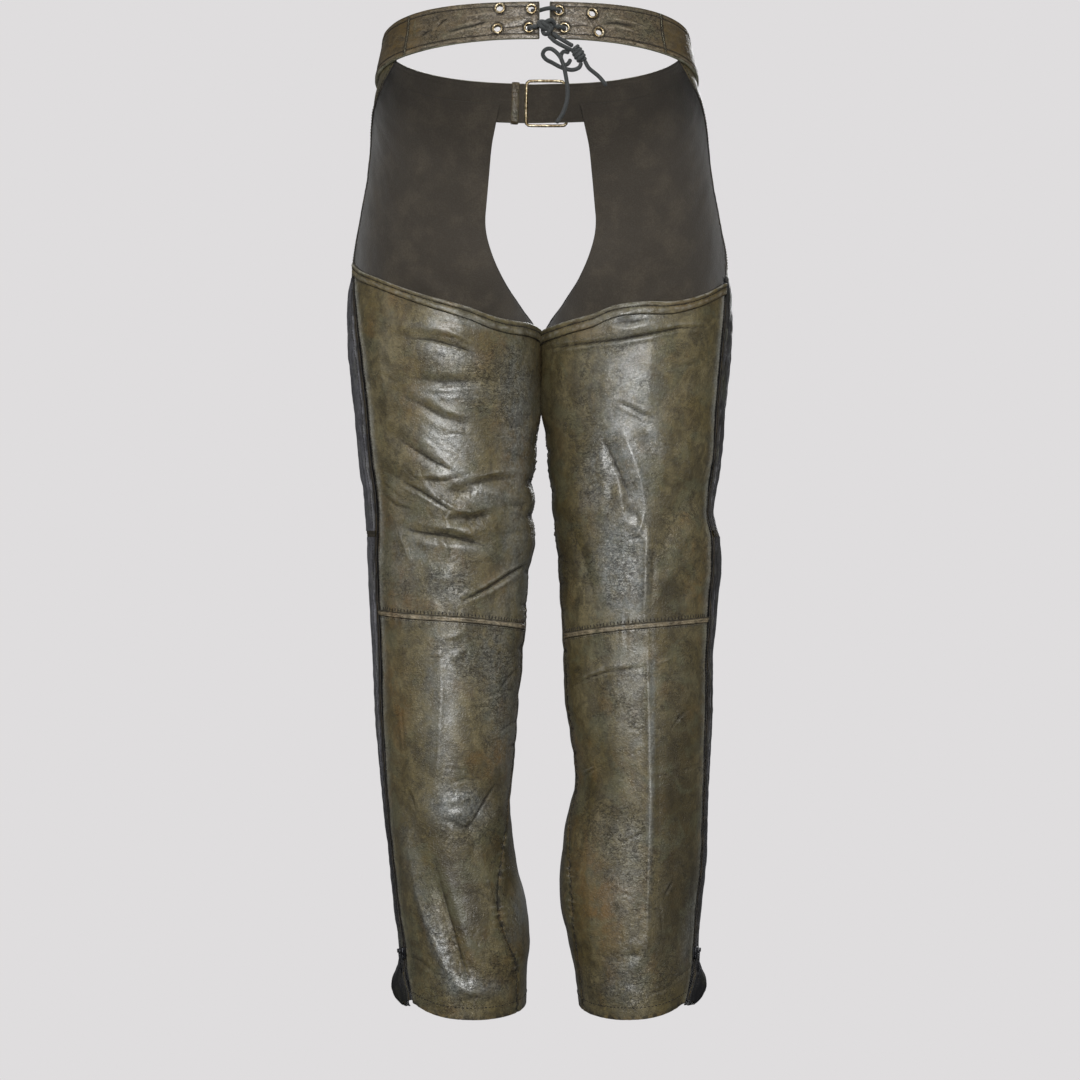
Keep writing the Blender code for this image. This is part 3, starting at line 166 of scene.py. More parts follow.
# z, left, right, front, back
HIP_ROWS = table("""0.03 0.156 0.147 0.104 0.109; 0 0.158 0.149 0.106 0.111;
    -0.02 0.162 0.153 0.108 0.113; -0.05 0.1685 0.1615 0.111 0.116;
    -0.07 0.1714 0.1665 0.113 0.117; -0.1 0.176 0.173 0.115 0.117;
    -0.15 0.184 0.1815 0.1155 0.113; -0.2 0.1895 0.1875 0.113 0.106;
    -0.29 0.1945 0.1915 0.105 0.098""")
# z, left, right: the zip's angle round the leg
ZIP_ROWS = table("""-0.22 17 15; -0.255 23 22; -0.31 30 27; -0.41 32 25; -0.475 32 23;
    -0.53 28 27; -0.62 27 24; -0.725 23 22; -0.85 22 21; -0.91 24 22; -0.973 25 23""")
# z, left, right: the inseam's angle
INSEAM_ROWS = table("""-0.29 180 180; -0.5 176 174; -0.6 172 168; -0.66 171 165; -0.72 171 169;
    -0.77 165 168; -0.82 143 155; -0.86 127 147; -0.895 130 151; -0.93 146 156; -0.973 150 158""")
# z, seat edge, front edge: the front panels' free edges
EDGE_ROWS = table("""0.03 66 -160; -0.02 62 -158; -0.04 50 -155; -0.058 30 -153; -0.078 6 -151;
    -0.11 -12 -150; -0.15 -14 -149; -0.185 -6 -147.5; -0.215 8 -146; -0.236 17 -146.5;
    -0.258 22 -151; -0.276 26 -160; -0.287 28 -169; -0.295 29 -180""")
# share from zip to inseam, left, right: the back panels' top edges
TOP_ROWS = table("""0 -0.222 -0.243; 0.06 -0.23 -0.2475; 0.19 -0.242 -0.2605; 0.3 -0.254 -0.268;
    0.42 -0.2665 -0.269; 0.51 -0.274 -0.2725; 0.59 -0.281 -0.28; 0.67 -0.2845 -0.2835;
    0.8 -0.2855 -0.288; 0.9 -0.2875 -0.2895; 1 -0.293 -0.293""")
# share from zip to inseam, left, right: the back knee seams
KNEE_ROWS = table("""0 -0.574 -0.581; 0.25 -0.577 -0.583; 0.5 -0.58 -0.587; 0.75 -0.585 -0.593;
    1 -0.59 -0.599""")


# ------------------------------------------------------------------ small maths
def bell(value: Array, middle: float, width: float) -> Array:
    """A bell curve: 1 at its middle, and 0.37 a width away from it."""
    return np.exp(-(((value - middle) / width) ** 2))


def smooth(share: Array | float) -> Array | float:
    """Ease a share from 0 to 1."""
    share = np.clip(share, 0.0, 1.0)
    return share * share * (3.0 - 2.0 * share)


def signed_power(value: Array, exponent: float) -> Array:
    """Raise a value's size to a power and keep its sign."""
    return np.sign(value) * np.abs(value) ** exponent


def unit(vectors: Array) -> Array:
    """Vectors scaled to a length of 1."""
    return vectors / np.maximum(np.linalg.norm(vectors, axis=-1, keepdims=True), 1e-12)


class Profile:
    """A smooth curve through a table of keys and values, flat past its two ends."""

    def __init__(self, keys: Sequence[float], values: Sequence[float]) -> None:
        """Sort the table by its keys and find the slope at each.

        Args:
            keys: positions of the rows.
            values: the value at each row.
        """
        order = np.argsort(keys)
        self.keys = np.asarray(keys, float)[order]
        self.values = np.asarray(values, float)[order]
        low = np.maximum(np.arange(len(order)) - 1, 0)
        high = np.minimum(np.arange(len(order)) + 1, len(order) - 1)
        self.slopes = (self.values[high] - self.values[low]) / (self.keys[high] - self.keys[low])

    def __call__(self, at: Array | float) -> Array:
        """The curve's value at each position.

        Args:
            at: the positions.

        Returns:
            The values there.
        """
        at = np.asarray(at, float)
        row = np.clip(np.searchsorted(self.keys, at, side="right") - 1, 0, len(self.keys) - 2)
        width = self.keys[row + 1] - self.keys[row]
        t = np.clip((at - self.keys[row]) / width, 0.0, 1.0)
        start = 2 * t**3 - 3 * t**2 + 1
        bend = (t**3 - 2 * t**2 + t) * self.slopes[row] + (t**3 - t**2) * self.slopes[row + 1]
        return self.values[row] * start + self.values[row + 1] * (1 - start) + bend * width


def columns(rows: Sequence[Sequence[float]]) -> list[Profile]:
    """One curve for each column of a table after its first, which holds the keys."""
    keys = [row[0] for row in rows]
    return [Profile(keys, [row[i] for row in rows]) for i in range(1, len(rows[0]))]


class Grain:
    """Repeatable gradient noise on a flat sheet."""

    def __init__(self, seed: int) -> None:
        """Fill the lattice from a fixed seed.

        Args:
            seed: start of the random draws.
        """
        rng = np.random.default_rng(seed)
        self.order = rng.permutation(256)
        turns = rng.random(256) * 2 * math.pi
        self.gradients = np.stack((np.cos(turns), np.sin(turns)), axis=-1)

    def __call__(self, x: Array, y: Array) -> Array:
        """Noise of about -1 to 1 with features about one unit wide.

        Args:
            x: places across the sheet.
            y: places down the sheet.

        Returns:
            The noise there.
        """
        column, row = np.floor(x).astype(int), np.floor(y).astype(int)
        across, down = x - column, y - row

        def corner(i: int, j: int) -> Array:
            """One lattice corner's share in the noise.

            Args:
                i: columns on from the cell's own.
                j: rows on from the cell's own.

            Returns:
                The share, before it fades with distance.
            """
            slot = self.order[(self.order[(column + i) & 255] + row + j) & 255]
            gradient = self.gradients[slot]
            return gradient[..., 0] * (across - i) + gradient[..., 1] * (down - j)

        u, v = smooth(across), smooth(down)
        top = corner(0, 0) * (1 - u) + corner(1, 0) * u
        low = corner(0, 1) * (1 - u) + corner(1, 1) * u
        return (top * (1 - v) + low * v) * 1.5

    def layered(self, x: Array, y: Array, layers: int = 3) -> Array:
        """Noise with finer layers added, each half as strong.

        Args:
            x: places across the sheet.
            y: places down the sheet.
            layers: number of layers.

        Returns:
            The noise there.
        """
        noise = np.zeros(np.shape(x))
        for layer in range(layers):
            scale = 2.03**layer
            noise += self(x * scale + 17.3 * layer, y * scale - 9.1 * layer) / 2**layer
        return noise


def blurred(values: Array, cells: float) -> Array:
    """A grid of values softened over a number of cells, both ways.

    Args:
        values: the grid.
        cells: width of the softening, in cells.

    Returns:
        A grid of the same size.
    """
    reach = max(1, int(math.ceil(cells * 2.5)))
    weights = np.exp(-((np.arange(-reach, reach + 1) / cells) ** 2))
    weights /= weights.sum()
    for axis in (0, 1):
        pad = [(0, 0), (0, 0)]
        pad[axis] = (reach, reach)
        padded = np.pad(values, pad, mode="edge")
        length = values.shape[axis]
        values = sum(
            weight * np.take(padded, range(index, index + length), axis=axis)
            for index, weight in enumerate(weights)
        )
    return values


# ------------------------------------------------------------------ the hollow form
class WornForm:
    """The hollow shape that the garment keeps: two legs, a hip and the blend between them."""

    def __init__(self) -> None:
        """Turn the tables of sizes into smooth curves."""
        self.legs = {side: columns(rows) for side, rows in LEG_ROWS.items()}
        hip = columns(HIP_ROWS)
        self.hip_width = {Side.LEFT: hip[0], Side.RIGHT: hip[1]}
        self.hip_front, self.hip_back = hip[2], hip[3]
        self.zips = dict(zip(Side, columns(ZIP_ROWS)))
        self.inseams = dict(zip(Side, columns(INSEAM_ROWS)))
        self.seat_edge, self.front_edge = columns(EDGE_ROWS)
        self.tops = dict(zip(Side, columns(TOP_ROWS)))
        self.knees = dict(zip(Side, columns(KNEE_ROWS)))

    def leg_point(self, side: Side, angle: Array, z: Array) -> Array:
        """Points of a plain leg, X measured outwards.

        Args:
            side: left or right.
            angle: degrees round the leg.
            z: heights.

        Returns:
            The points.
        """
        outer, inner, front, back = (curve(z) for curve in self.legs[side])
        turn = np.radians(angle)
        exponent = 2.0 / SIZES.leg_roundness
        x = (outer + inner) / 2 + (outer - inner) / 2 * signed_power(np.cos(turn), exponent)
        depth = np.where(np.sin(turn) > 0, back, front)
        y = -depth * signed_power(np.sin(turn), exponent)
        return np.stack(np.broadcast_arrays(x, y, z), axis=-1)

    def hip_point(self, side: Side, turn: Array, z: Array) -> Array:
        """Points of a plain hip, X measured outwards; 0 degrees is outwards and 90 the front.

        Args:
            side: left or right.
            turn: degrees round the hip.
            z: heights.

        Returns:
            The points.
        """
        width = self.hip_width[side](z) - SIZES.centre_clearance
        angle = np.radians(turn)
        exponent = 2.0 / SIZES.hip_roundness
        depth = np.where(angle > 0, self.hip_front(z), self.hip_back(z))
        x = SIZES.centre_clearance + width * signed_power(np.cos(angle), exponent)
        y = depth * signed_power(np.sin(angle), exponent)
        return np.stack(np.broadcast_arrays(x, y, z), axis=-1)

    def point(self, side: Side, angle: Array, z: Array) -> Array:
        """Points of the form itself.

        Args:
            side: left or right.
            angle: degrees round the leg.
            z: heights.

        Returns:
            The points, in the garment's own frame.
        """
        angle, z = np.broadcast_arrays(np.asarray(angle, float), np.asarray(z, float))
        share = smooth((z - SIZES.blend_low) / (SIZES.blend_high - SIZES.blend_low))
        share = (share * (1.0 - smooth((angle - 70.0) / 80.0)))[..., None]
        points = self.leg_point(side, angle, z) * (1 - share)
        points = points + self.hip_point(side, -angle / 2.0, z) * share
        points[..., 0] *= side.value
        return points

    def normal(self, side: Side, angle: Array, z: Array) -> Array:
        """The form's outward directions, from its own slopes.

        Args:
            side: left or right.
            angle: degrees round the leg.
            z: heights.

        Returns:
            Directions of length 1.
        """
        across = self.point(side, angle + 1.0, z) - self.point(side, angle - 1.0, z)
        down = self.point(side, angle, z - 0.004) - self.point(side, angle, z + 0.004)
        return unit(np.cross(down, across)) * -side.value

    def arc_angle(self, side: Side, z: Array, width: float) -> Array:
        """The angle that a width takes up round the leg."""
        outer, inner = self.legs[side][0](z), self.legs[side][1](z)
        return np.degrees(width / ((outer - inner) / 2.0))

    def flare(self, side: Side, angle: Array, z: Array) -> Array:
        """How far the loose front corner beside the zip's open end puffs out, and in at the hem.

        Args:
            side: left or right.
            angle: degrees round the leg.
            z: heights.

        Returns:
            Distances out from the form.
        """
        from_zip = angle - self.zips[side](z)
        out = (SIZES.flare * smooth((SIZES.zip_open_z - z) / SIZES.flare_run)
               * smooth((from_zip + 50.0) / 42.0))
        out = out * (1.0 - 0.8 * smooth((from_zip + 6.0) / 15.0))
        low = np.clip((SIZES.curl_z - z) / (SIZES.curl_z - SIZES.hem_z), 0.0, 1.0)
        return out * np.maximum(1.0 - 2.2 * (1.0 - np.sqrt(1.0 - low**2)), -0.5)

    def back_edge(self, side: Side, z: Array) -> Array:
        """The back panels' edge beside the zip, drawn away where it is open.

        Args:
            side: left or right.
            z: heights.

        Returns:
            The edge's angles.
        """
        half = self.arc_angle(side, z, SIZES.chain_width / 2)
        away = SIZES.open_angle * smooth((SIZES.zip_open_z - z) / SIZES.back_open_run)
        return self.zips[side](z) + half + away

    def front_edge_angle(self, side: Side, z: Array) -> Array:
        """The front panels' edge beside the zip and along the seat cut-out.

        Args:
            side: left or right.
            z: heights.

        Returns:
            The edge's angles.
        """
        closed = self.zips[side](z) - self.arc_angle(side, z, SIZES.chain_width / 2)
        closed = closed + SIZES.tuck_angle * smooth((SIZES.zip_open_z - z) / SIZES.front_open_run)
        share = smooth((z - SIZES.zip_top_z + 0.03) / 0.04)
        return closed + (self.seat_edge(z) - closed) * share

    def front_inner(self, side: Side, z: Array) -> Array:
        """The front panels' edge at the open front and along the inseam."""
        inseam = self.inseams[side](z) - 360.0 + self.arc_angle(side, z, LEATHER.gap / 2)
        return np.where(z > SIZES.crotch_z, self.front_edge(z), inseam)

    def belt_middle(self, y: Array) -> Array:
        """Height of the belt's middle line: it falls towards the front."""
        return -(y + HIP_ROWS[1][4]) * SIZES.belt_tilt

    def belt_height(self, turn: Array) -> Array:
        """The belt is a little narrower where it is laced."""
        share = smooth((-turn - 40.0) / 45.0)
        return SIZES.belt_height_side + (SIZES.belt_height_back - SIZES.belt_height_side) * share

    def waist_point(self, side: Side, turn: Array, z: Array) -> Array:
        """Points of the plain hip on their own side of the centre plane.

        Args:
            side: left or right.
            turn: degrees round the hip.
            z: heights.

        Returns:
            The points.
        """
        points = self.hip_point(side, turn, z)
        points[..., 0] *= side.value
        return points

    def belt_place(self, side: Side, turn: Array, share: Array) -> Pair:
        """Points under the belt and their normals.

        Args:
            side: the leg's side.
            turn: degrees round the hip.
            share: 0 at the belt's top edge and 1 at its bottom edge.

        Returns:
            The points on the hip and the outward directions there.
        """
        turn, share = np.broadcast_arrays(np.asarray(turn, float), np.asarray(share, float))
        middle = self.hip_point(side, turn, 0.0 * turn)
        z = self.belt_middle(middle[..., 1]) + self.belt_height(turn) * (0.5 - share)
        across = self.waist_point(side, turn + 0.5, z) - self.waist_point(side, turn - 0.5, z)
        down = self.waist_point(side, turn, z - 0.004) - self.waist_point(side, turn, z + 0.004)
        normal = unit(np.cross(across, down)) * -side.value
        return self.waist_point(side, turn, z), normal

    def turn_at_x(self, side: Side, x: float, face: Face) -> float:
        """The turn round the hip where it lies x from the centre plane.

        Args:
            side: left or right.
            x: distance from the centre plane.
            face: the back or front of the hip.

        Returns:
            Degrees round the hip.
        """
        width = float(self.hip_width[side](0.0)) - SIZES.centre_clearance
        share = min(max((x - SIZES.centre_clearance) / width, 0.0), 1.0)
        turn = math.degrees(math.acos(share ** (SIZES.hip_roundness / 2.0)))
        return turn if face is Face.FRONT else -turn


FORM = WornForm()


# ------------------------------------------------------------------ creases and wear
class Fold(Enum):
    """How a crease's cross-section looks."""

    RIDGE = "ridge"
    TROUGH = "trough"
    CREASE = "crease"
    LAP = "lap"


@dataclass(frozen=True)
class Chart:
    """The drafting chart on which creases, wear, painted sheen and painted shade are placed.

    One unit is 1.02 mm on the garment's centre plane.  Places on the back half are read as a
    viewer standing straight behind sees them, those on the front half as if through the cloth.
    """

    step: float = 0.00102
    step_mm: float = 1.02
    centre_x: float = 541.0
    middle_y: float = 540.0
    height_z: float = -0.5013
    distance: float = 2.1

    def read(self, points: Array, face: Face) -> Pair:
        """Places on the chart of points of the garment.

        Args:
            points: points of the garment.
            face: the back or front half.

        Returns:
            The places across and down the chart.
        """
        scale = self.step * np.ones(points.shape[:-1])
        if face is Face.BACK:
            scale = self.step * (self.distance + points[..., 1]) / self.distance
        x = self.centre_x + points[..., 0] / scale
        y = self.middle_y - (points[..., 2] - self.height_z) / scale
        return x, y


CHART = Chart()
CREASE_SPREAD = 0.8


@dataclass(frozen=True)
class Crease:
    """One crease: fold, width and height in millimetres, and its course on the chart, x y x y."""

    fold: Fold
    width: float
    height: float
    course: tuple[float, ...]

    def relief(self, x: Array, y: Array) -> Array:
        """Height of the crease at places on the chart, in millimetres.

        Args:
            x: places across the chart.
            y: places down the chart.

        Returns:
            The heights.
        """
        course = np.asarray(self.course, float).reshape(-1, 2)
        width = self.width * CREASE_SPREAD / CHART.step_mm
        low, high = course.min(0) - 5 * width, course.max(0) + 5 * width
        near = (x > low[0]) & (x < high[0]) & (y > low[1]) & (y < high[1])
        result = np.zeros(x.shape)
        if not near.any():
            return result
        px, py = x[near], y[near]
        steps = np.linalg.norm(np.diff(course, axis=0), axis=1)
        starts = np.concatenate(((0.0,), np.cumsum(steps)))
        best = np.full(px.shape, 1e9)
        signed = np.zeros(px.shape)
        along = np.zeros(px.shape)
        for index, length in enumerate(steps):
            run = (course[index + 1] - course[index]) / length
            dx, dy = px - course[index, 0], py - course[index, 1]
            place = np.clip(dx * run[0] + dy * run[1], 0.0, length)
            off_x, off_y = dx - place * run[0], dy - place * run[1]
            distance = np.hypot(off_x, off_y)
            closer = distance < best
            best = np.where(closer, distance, best)
            sign = np.where(run[0] * dy - run[1] * dx >= 0, 1.0, -1.0)
            signed = np.where(closer, sign * distance, signed)
            along = np.where(closer, starts[index] + place, along)
        taper = np.sin(math.pi * np.clip(along / starts[-1], 0.04, 0.96)) ** 0.6
        result[near] = self.section(signed / width) * taper * self.height
        return result

    def section(self, across: Array) -> Array:
        """The cross-section, across in widths, with a height of about 1.

        Args:
            across: distances from the middle line, in widths.

        Returns:
            The heights.
        """
        size = np.abs(across)
        if self.fold is Fold.RIDGE:
            return np.exp(-(size**1.35))
        if self.fold is Fold.TROUGH:
            return -np.exp(-(size**1.35)) + 0.24 * bell(size, 1.8, 0.8)
        if self.fold is Fold.CREASE:
            return -np.exp(-size / 0.45) + 0.35 * bell(size, 1.1, 0.7)
        rise = 0.5 * (1.0 + np.tanh(across / 0.28))
        return (rise * np.exp(-np.maximum(across, 0.0) / 1.9)
                - 0.35 * np.exp(-((across + 0.5) ** 2) / 0.3))


@dataclass(frozen=True)
class Patch:
    """A soft oval area on the chart: centre, half sizes, turn in degrees and strength."""

    x: float
    y: float
    half_x: float
    half_y: float
    turn: float = 0.0
    strength: float = 1.0

    def amount(self, x: Array, y: Array) -> Array:
        """The patch's strength at places on the chart.

        Args:
            x: places across the chart.
            y: places down the chart.

        Returns:
            The strengths.
        """
        turn = math.radians(self.turn)
        dx, dy = x - self.x, y - self.y
        across = (dx * math.cos(turn) + dy * math.sin(turn)) / self.half_x
        down = (-dx * math.sin(turn) + dy * math.cos(turn)) / self.half_y
        return self.strength * np.exp(-((across**2 + down**2) ** 1.3))


FOLDS = {"R": Fold.RIDGE, "T": Fold.TROUGH, "C": Fold.CREASE, "L": Fold.LAP}


def creases(text: str) -> list[Crease]:
    """Creases from a text, with semicolons between them: fold, width, height and course.

    Args:
        text: the rows, with numbers after a letter for the fold.

    Returns:
        One crease for each row.
    """
    rows = [row.split() for row in text.split(";")]
    return [Crease(FOLDS[row[0]], float(row[1]), float(row[2]), tuple(map(float, row[3:])))
            for row in rows]


# Each half of each leg: first the creases under its top edge, then the thigh's and the calf's.
CREASE_ROWS = {
    (Side.LEFT, Face.BACK): creases("""T 7 1.9 396 334 436 340 480 354;
        C 2.6 1 404 338 430 340 456 346 482 356; R 4 1 422 327 448 330 476 343;
        C 3 0.8 418 320 450 321 484 330; R 12 0.9 395 318 440 320 480 330;
        C 3 0.6 438 334 456 338 472 347; T 6 1.4 400 377 445 382 494 380;
        R 4 1 415 388 445 390 480 387; R 6 1 420 397 445 398 472 394;
        T 6 1.9 396 392 420 404 442 417 464 424; R 4 1.1 430 402 448 411 470 416;
        C 3.5 0.6 380 372 392 380 404 388; C 2.4 0.8 486 430 500 436 518 433;
        C 2.4 0.7 440 436 456 433 474 437; C 2.4 0.7 482 400 498 404 516 399;
        C 2.4 0.8 404 466 412 476 424 482; C 2.4 0.7 376 478 390 488 402 498;
        R 8 1.2 375 330 382 372 388 420; T 7 2.6 392 432 412 446 434 461 452 470;
        C 2.6 1.2 396 438 414 450 434 462 450 469; R 5 1.8 418 446 440 459 462 472;
        L 7 2.4 462 474 442 478 420 476; T 6 2.2 458 487 472 484 492 479 512 478;
        R 3 1.2 462 480 476 476 494 472 520 470; R 6 2 484 490 496 494 505 500;
        T 6 2 448 489 460 492 478 491; R 4 2.4 420 480 432 492 444 503 456 509 474 511;
        C 4 2.8 404 482 420 491 436 501 451 510; T 8 2.8 452 517 470 518 492 514;
        R 3 1.1 456 511 474 511 496 505; R 3.5 1.8 452 508 446 518 449 527;
        R 3.5 2 430 526 450 528 466 532 482 540; T 7 3.4 402 529 424 533 446 535 468 540 486 545;
        C 2.6 1.2 404 530 426 534 448 536 468 541 484 546; R 4 2 398 528 405 546 411 562;
        R 5 1.4 399 529 416 536 432 545; R 3 1.8 440 537 446 546 447 560;
        C 2.4 0.9 444 540 450 550 450 564; R 4 1.3 456 545 470 547 480 550;
        L 6 1.6 412 508 396 502 384 492; T 8 1.4 386 470 398 478 410 482;
        R 9 1.2 490 505 494 540 488 572; C 4.4 3.2 529 563 508 575 488 588 464 600;
        R 6 1.2 524 576 500 586 478 598; R 8 1.2 430 590 446 578 462 574;
        R 4 0.9 434 580 446 573 456 568; T 7 1.2 506 430 520 424 534 410;
        T 6 1.2 504 452 520 456 536 462; R 6 1.2 506 466 522 472 534 474;
        T 6 1.3 508 505 524 504 534 498; T 6 1.3 500 536 516 531 532 530;
        R 7 1.6 440 640 441 700 438 760 430 800; T 9 1 420 650 421 700 424 760;
        R 6.5 3.8 408 838 418 890 430 928 441 958 450 980 464 995;
        C 3 1.2 436 868 447 908 458 946 468 978; R 5 1.6 452 984 468 992 492 988;
        T 8 3.4 432 868 444 908 456 946 468 980; R 14 1.2 398 800 404 850 414 900 424 950;
        T 8 1.6 408 880 418 925 434 968; R 8 1.4 468 812 480 850 492 900 498 950;
        T 9 3.2 496 786 486 804 474 822 466 832; T 4 1.5 450 820 464 827 474 824;
        R 8 1.5 446 802 462 800 480 790; R 5 1.2 444 816 462 812 474 818;
        C 4 1.1 452 782 466 778 478 780; T 5 1.2 466 826 474 842 474 858;
        L 6 1.5 486 995 470 994 456 985 446 970; R 5 1.2 452 972 468 984 486 984;
        T 7 1 395 700 400 760 402 820; C 4 0.8 398 952 420 960 436 975;
        T 7 1.2 500 640 506 680 508 720; C 3.5 0.8 480 700 498 692 516 690;
        C 3.5 0.8 486 742 502 738 516 740; R 3 1.3 444 638 454 636 464 633;
        R 3 1.2 426 651 434 653 443 654; C 2.4 1.1 428 656 436 658 444 659;
        R 4 1.2 450 660 456 655 462 652; T 6 1.2 457 665 466 672 478 676;
        C 3 1.2 520 664 510 676 497 693; C 2.4 1 499 733 506 727 513 722;
        C 2.4 0.9 498 734 505 735 511 731; C 2.4 0.8 482 744 490 750 499 756;
        C 2.4 0.8 443 768 454 769 466 769; C 3 1.4 496 784 486 802 476 818 467 828;
        C 3 1.1 407 788 412 798 416 812; C 2.6 0.8 401 705 403 730 405 755;
        C 2.4 0.7 393 645 402 643 411 647"""),
    (Side.RIGHT, Face.BACK): creases("""R 4 1.5 604 323 620 316 638 311;
        R 4 1.6 607 326 630 327 654 322; T 4 1.2 612 321 634 321 656 316;
        R 5 1.2 600 333 630 330 655 324; C 4 2.4 544 349 580 344 622 339 650 334 678 328 706 327;
        R 8 1.6 550 341 590 334 640 328 692 321; C 4 1.4 619 403 632 408 640 413 654 418;
        R 16 1.5 606 350 604 400 600 440; R 14 1.5 652 340 650 390 650 420;
        T 8 2.4 602 436 611 454 622 478 633 503; C 3 0.8 601 436 610 454 621 478 634 506;
        R 6 1.9 624 436 633 456 641 480 647 512; R 8 1.3 596 446 602 470 604 498 598 520;
        T 6 1.2 610 470 612 492 608 512; R 5 1.1 618 482 622 500 624 516;
        T 8 1.1 640 430 648 442 654 452; R 8 0.9 645 428 654 438 660 448;
        T 7 1.6 628 505 634 514 640 514; R 3.5 1.8 644 512 642 524 638 532 646 540;
        R 12 2 648 520 647 560 646 618; R 2.5 1.3 647 524 646 560 645 590 644 618;
        T 5 1 653 530 652 560 651 610; R 14 1.6 600 524 602 560 606 614;
        C 4 1 628 541 636 537 646 536; T 8 1.2 580 545 588 575 596 606;
        R 12 1.8 706 498 684 540 660 596; T 10 1.6 690 488 672 526 656 560;
        T 8 1.4 708 545 694 570 680 600; T 8 1.2 672 430 676 470 682 500;
        R 7 1 682 420 688 460 690 490; T 7 1.2 556 500 572 530 584 560 592 585;
        R 8 1 572 470 580 510 586 540; C 3 0.7 560 430 572 436 586 436;
        T 6 0.9 548 470 558 478 570 480; T 6 0.9 548 520 560 528 572 530;
        C 3.5 0.7 660 360 680 366 700 364; R 12 1.5 648 634 650 720 652 800 650 900 648 1000;
        R 3.4 1.6 647 634 649 720 650.5 800 648 880 646 960;
        T 7 0.9 656 660 658 760 658 860 655 940; T 10 1 672 640 675 760 674 900 668 980;
        R 12 1 612 640 616 720 618 800; T 9 1.2 592 650 598 720 604 790;
        T 8 1.2 576 740 584 790 580 850; R 8 1.1 584 820 588 880 592 940;
        R 7 0.8 606 968 626 972 646 962; T 6 0.7 600 955 624 958 644 950;
        R 6 1 608 996 626 990 640 996; T 8 1 684 700 686 780 684 860;
        R 7 1 692 900 688 940 676 975; C 3.5 0.9 668 985 680 975 690 968;
        C 3 1.3 572 686 590 677 610 671 630 669 647 667; R 4 1 584 676 604 667 626 664;
        R 3 0.9 656 664 664 661 674 657; C 2.4 1 672 728 680 716 690 709;
        C 2.4 0.9 674 714 683 720 688 730; C 2.6 1.2 581 777 590 771 600 766;
        C 2.4 1 580 770 588 767 597 764; C 2.4 1 624 757 636 752 648 747;
        C 2.4 0.8 630 729 638 730 646 726; C 2.4 0.9 655 776 665 775 675 770;
        C 2.6 1 684 770 693 766 701 763; C 2.4 0.8 614 776 622 778 632 775;
        C 2.6 1.2 620 843 632 838 645 831; C 2.8 1.3 664 896 669 888 674 880;
        C 2.4 0.8 659 900 661 918 663 938; C 2.4 0.8 602 856 609 861 617 858;
        C 2.4 0.9 618 897 625 893 632 897; C 3 1.1 646 994 660 990 676 984;
        R 4 1 618 1003 627 1006 636 1004; C 2.4 0.8 600 952 605 958 611 955"""),
    (Side.LEFT, Face.FRONT): creases("""T 10 2.6 395 255 430 280 470 305;
        R 9 1.8 385 285 420 312 455 330; T 9 2 385 345 430 368 475 372;
        R 9 1.4 390 400 430 415 480 412; T 9 2.8 500 470 460 484 424 498;
        R 9 2.4 505 500 465 516 420 524; T 9 2.4 404 560 440 574 492 586;
        R 8 2 404 590 450 606 500 612; T 9 2.6 482 640 440 656 410 662;
        R 9 1.8 478 720 464 780 452 860; T 9 1.6 440 740 436 800 430 860;
        T 8 2.2 424 925 460 940 492 948; R 8 1.8 420 950 456 964 490 968;
        C 5 1.2 470 440 440 448 416 446; C 5 1.2 430 690 460 694 486 688"""),
    (Side.RIGHT, Face.FRONT): creases("""T 10 2.6 688 270 655 292 620 314;
        R 9 1.8 694 300 660 322 628 340; T 9 1.8 690 380 650 398 610 396;
        R 9 1.6 690 430 650 440 612 434; T 9 2.6 600 480 640 494 680 502;
        R 9 2.2 598 510 640 528 682 530; T 9 2.6 688 575 650 590 610 600;
        R 8 1.8 690 604 650 622 608 628; T 9 2.2 600 650 640 664 676 676;
        R 9 2 658 735 648 800 640 890; T 9 1.6 622 740 618 800 614 870;
        T 8 2 600 930 640 944 672 950; R 8 1.6 602 958 640 970 676 968;
        C 5 1.2 620 456 650 462 676 458; C 5 1.2 612 700 640 704 664 700"""),
}

# Where folds bite into the inner outline of each leg: y on the chart, height and half width.
BITE_ROWS = {
    Side.LEFT: table("""428 0.6 8; 444 -0.9 4; 460 0.9 9; 482 -3.4 7; 501 1.4 8; 516 -3 6;
        543 1.6 13; 571 -1.4 6; 588 0.8 8; 604 -0.8 4; 626 0.6 9; 648 -1.2 5; 672 0.8 10;
        694 -1 5; 722 -0.8 5; 745 -1.2 5; 770 0.5 9; 800 -0.6 6"""),
    Side.RIGHT: table("""432 -0.8 4; 452 -0.7 4; 470 0.5 8; 492 -0.9 5; 520 -0.8 4; 536 0.5 8;
        556 -1 5; 584 -0.7 4; 610 -0.8 4; 650 -0.9 5; 676 -0.7 4; 704 0.5 9; 728 -0.8 5; 752 -1 5;
        790 -0.7 5; 826 0.5 9; 850 -0.5 5; 884 -0.4 5; 926 -0.5 6"""),
}

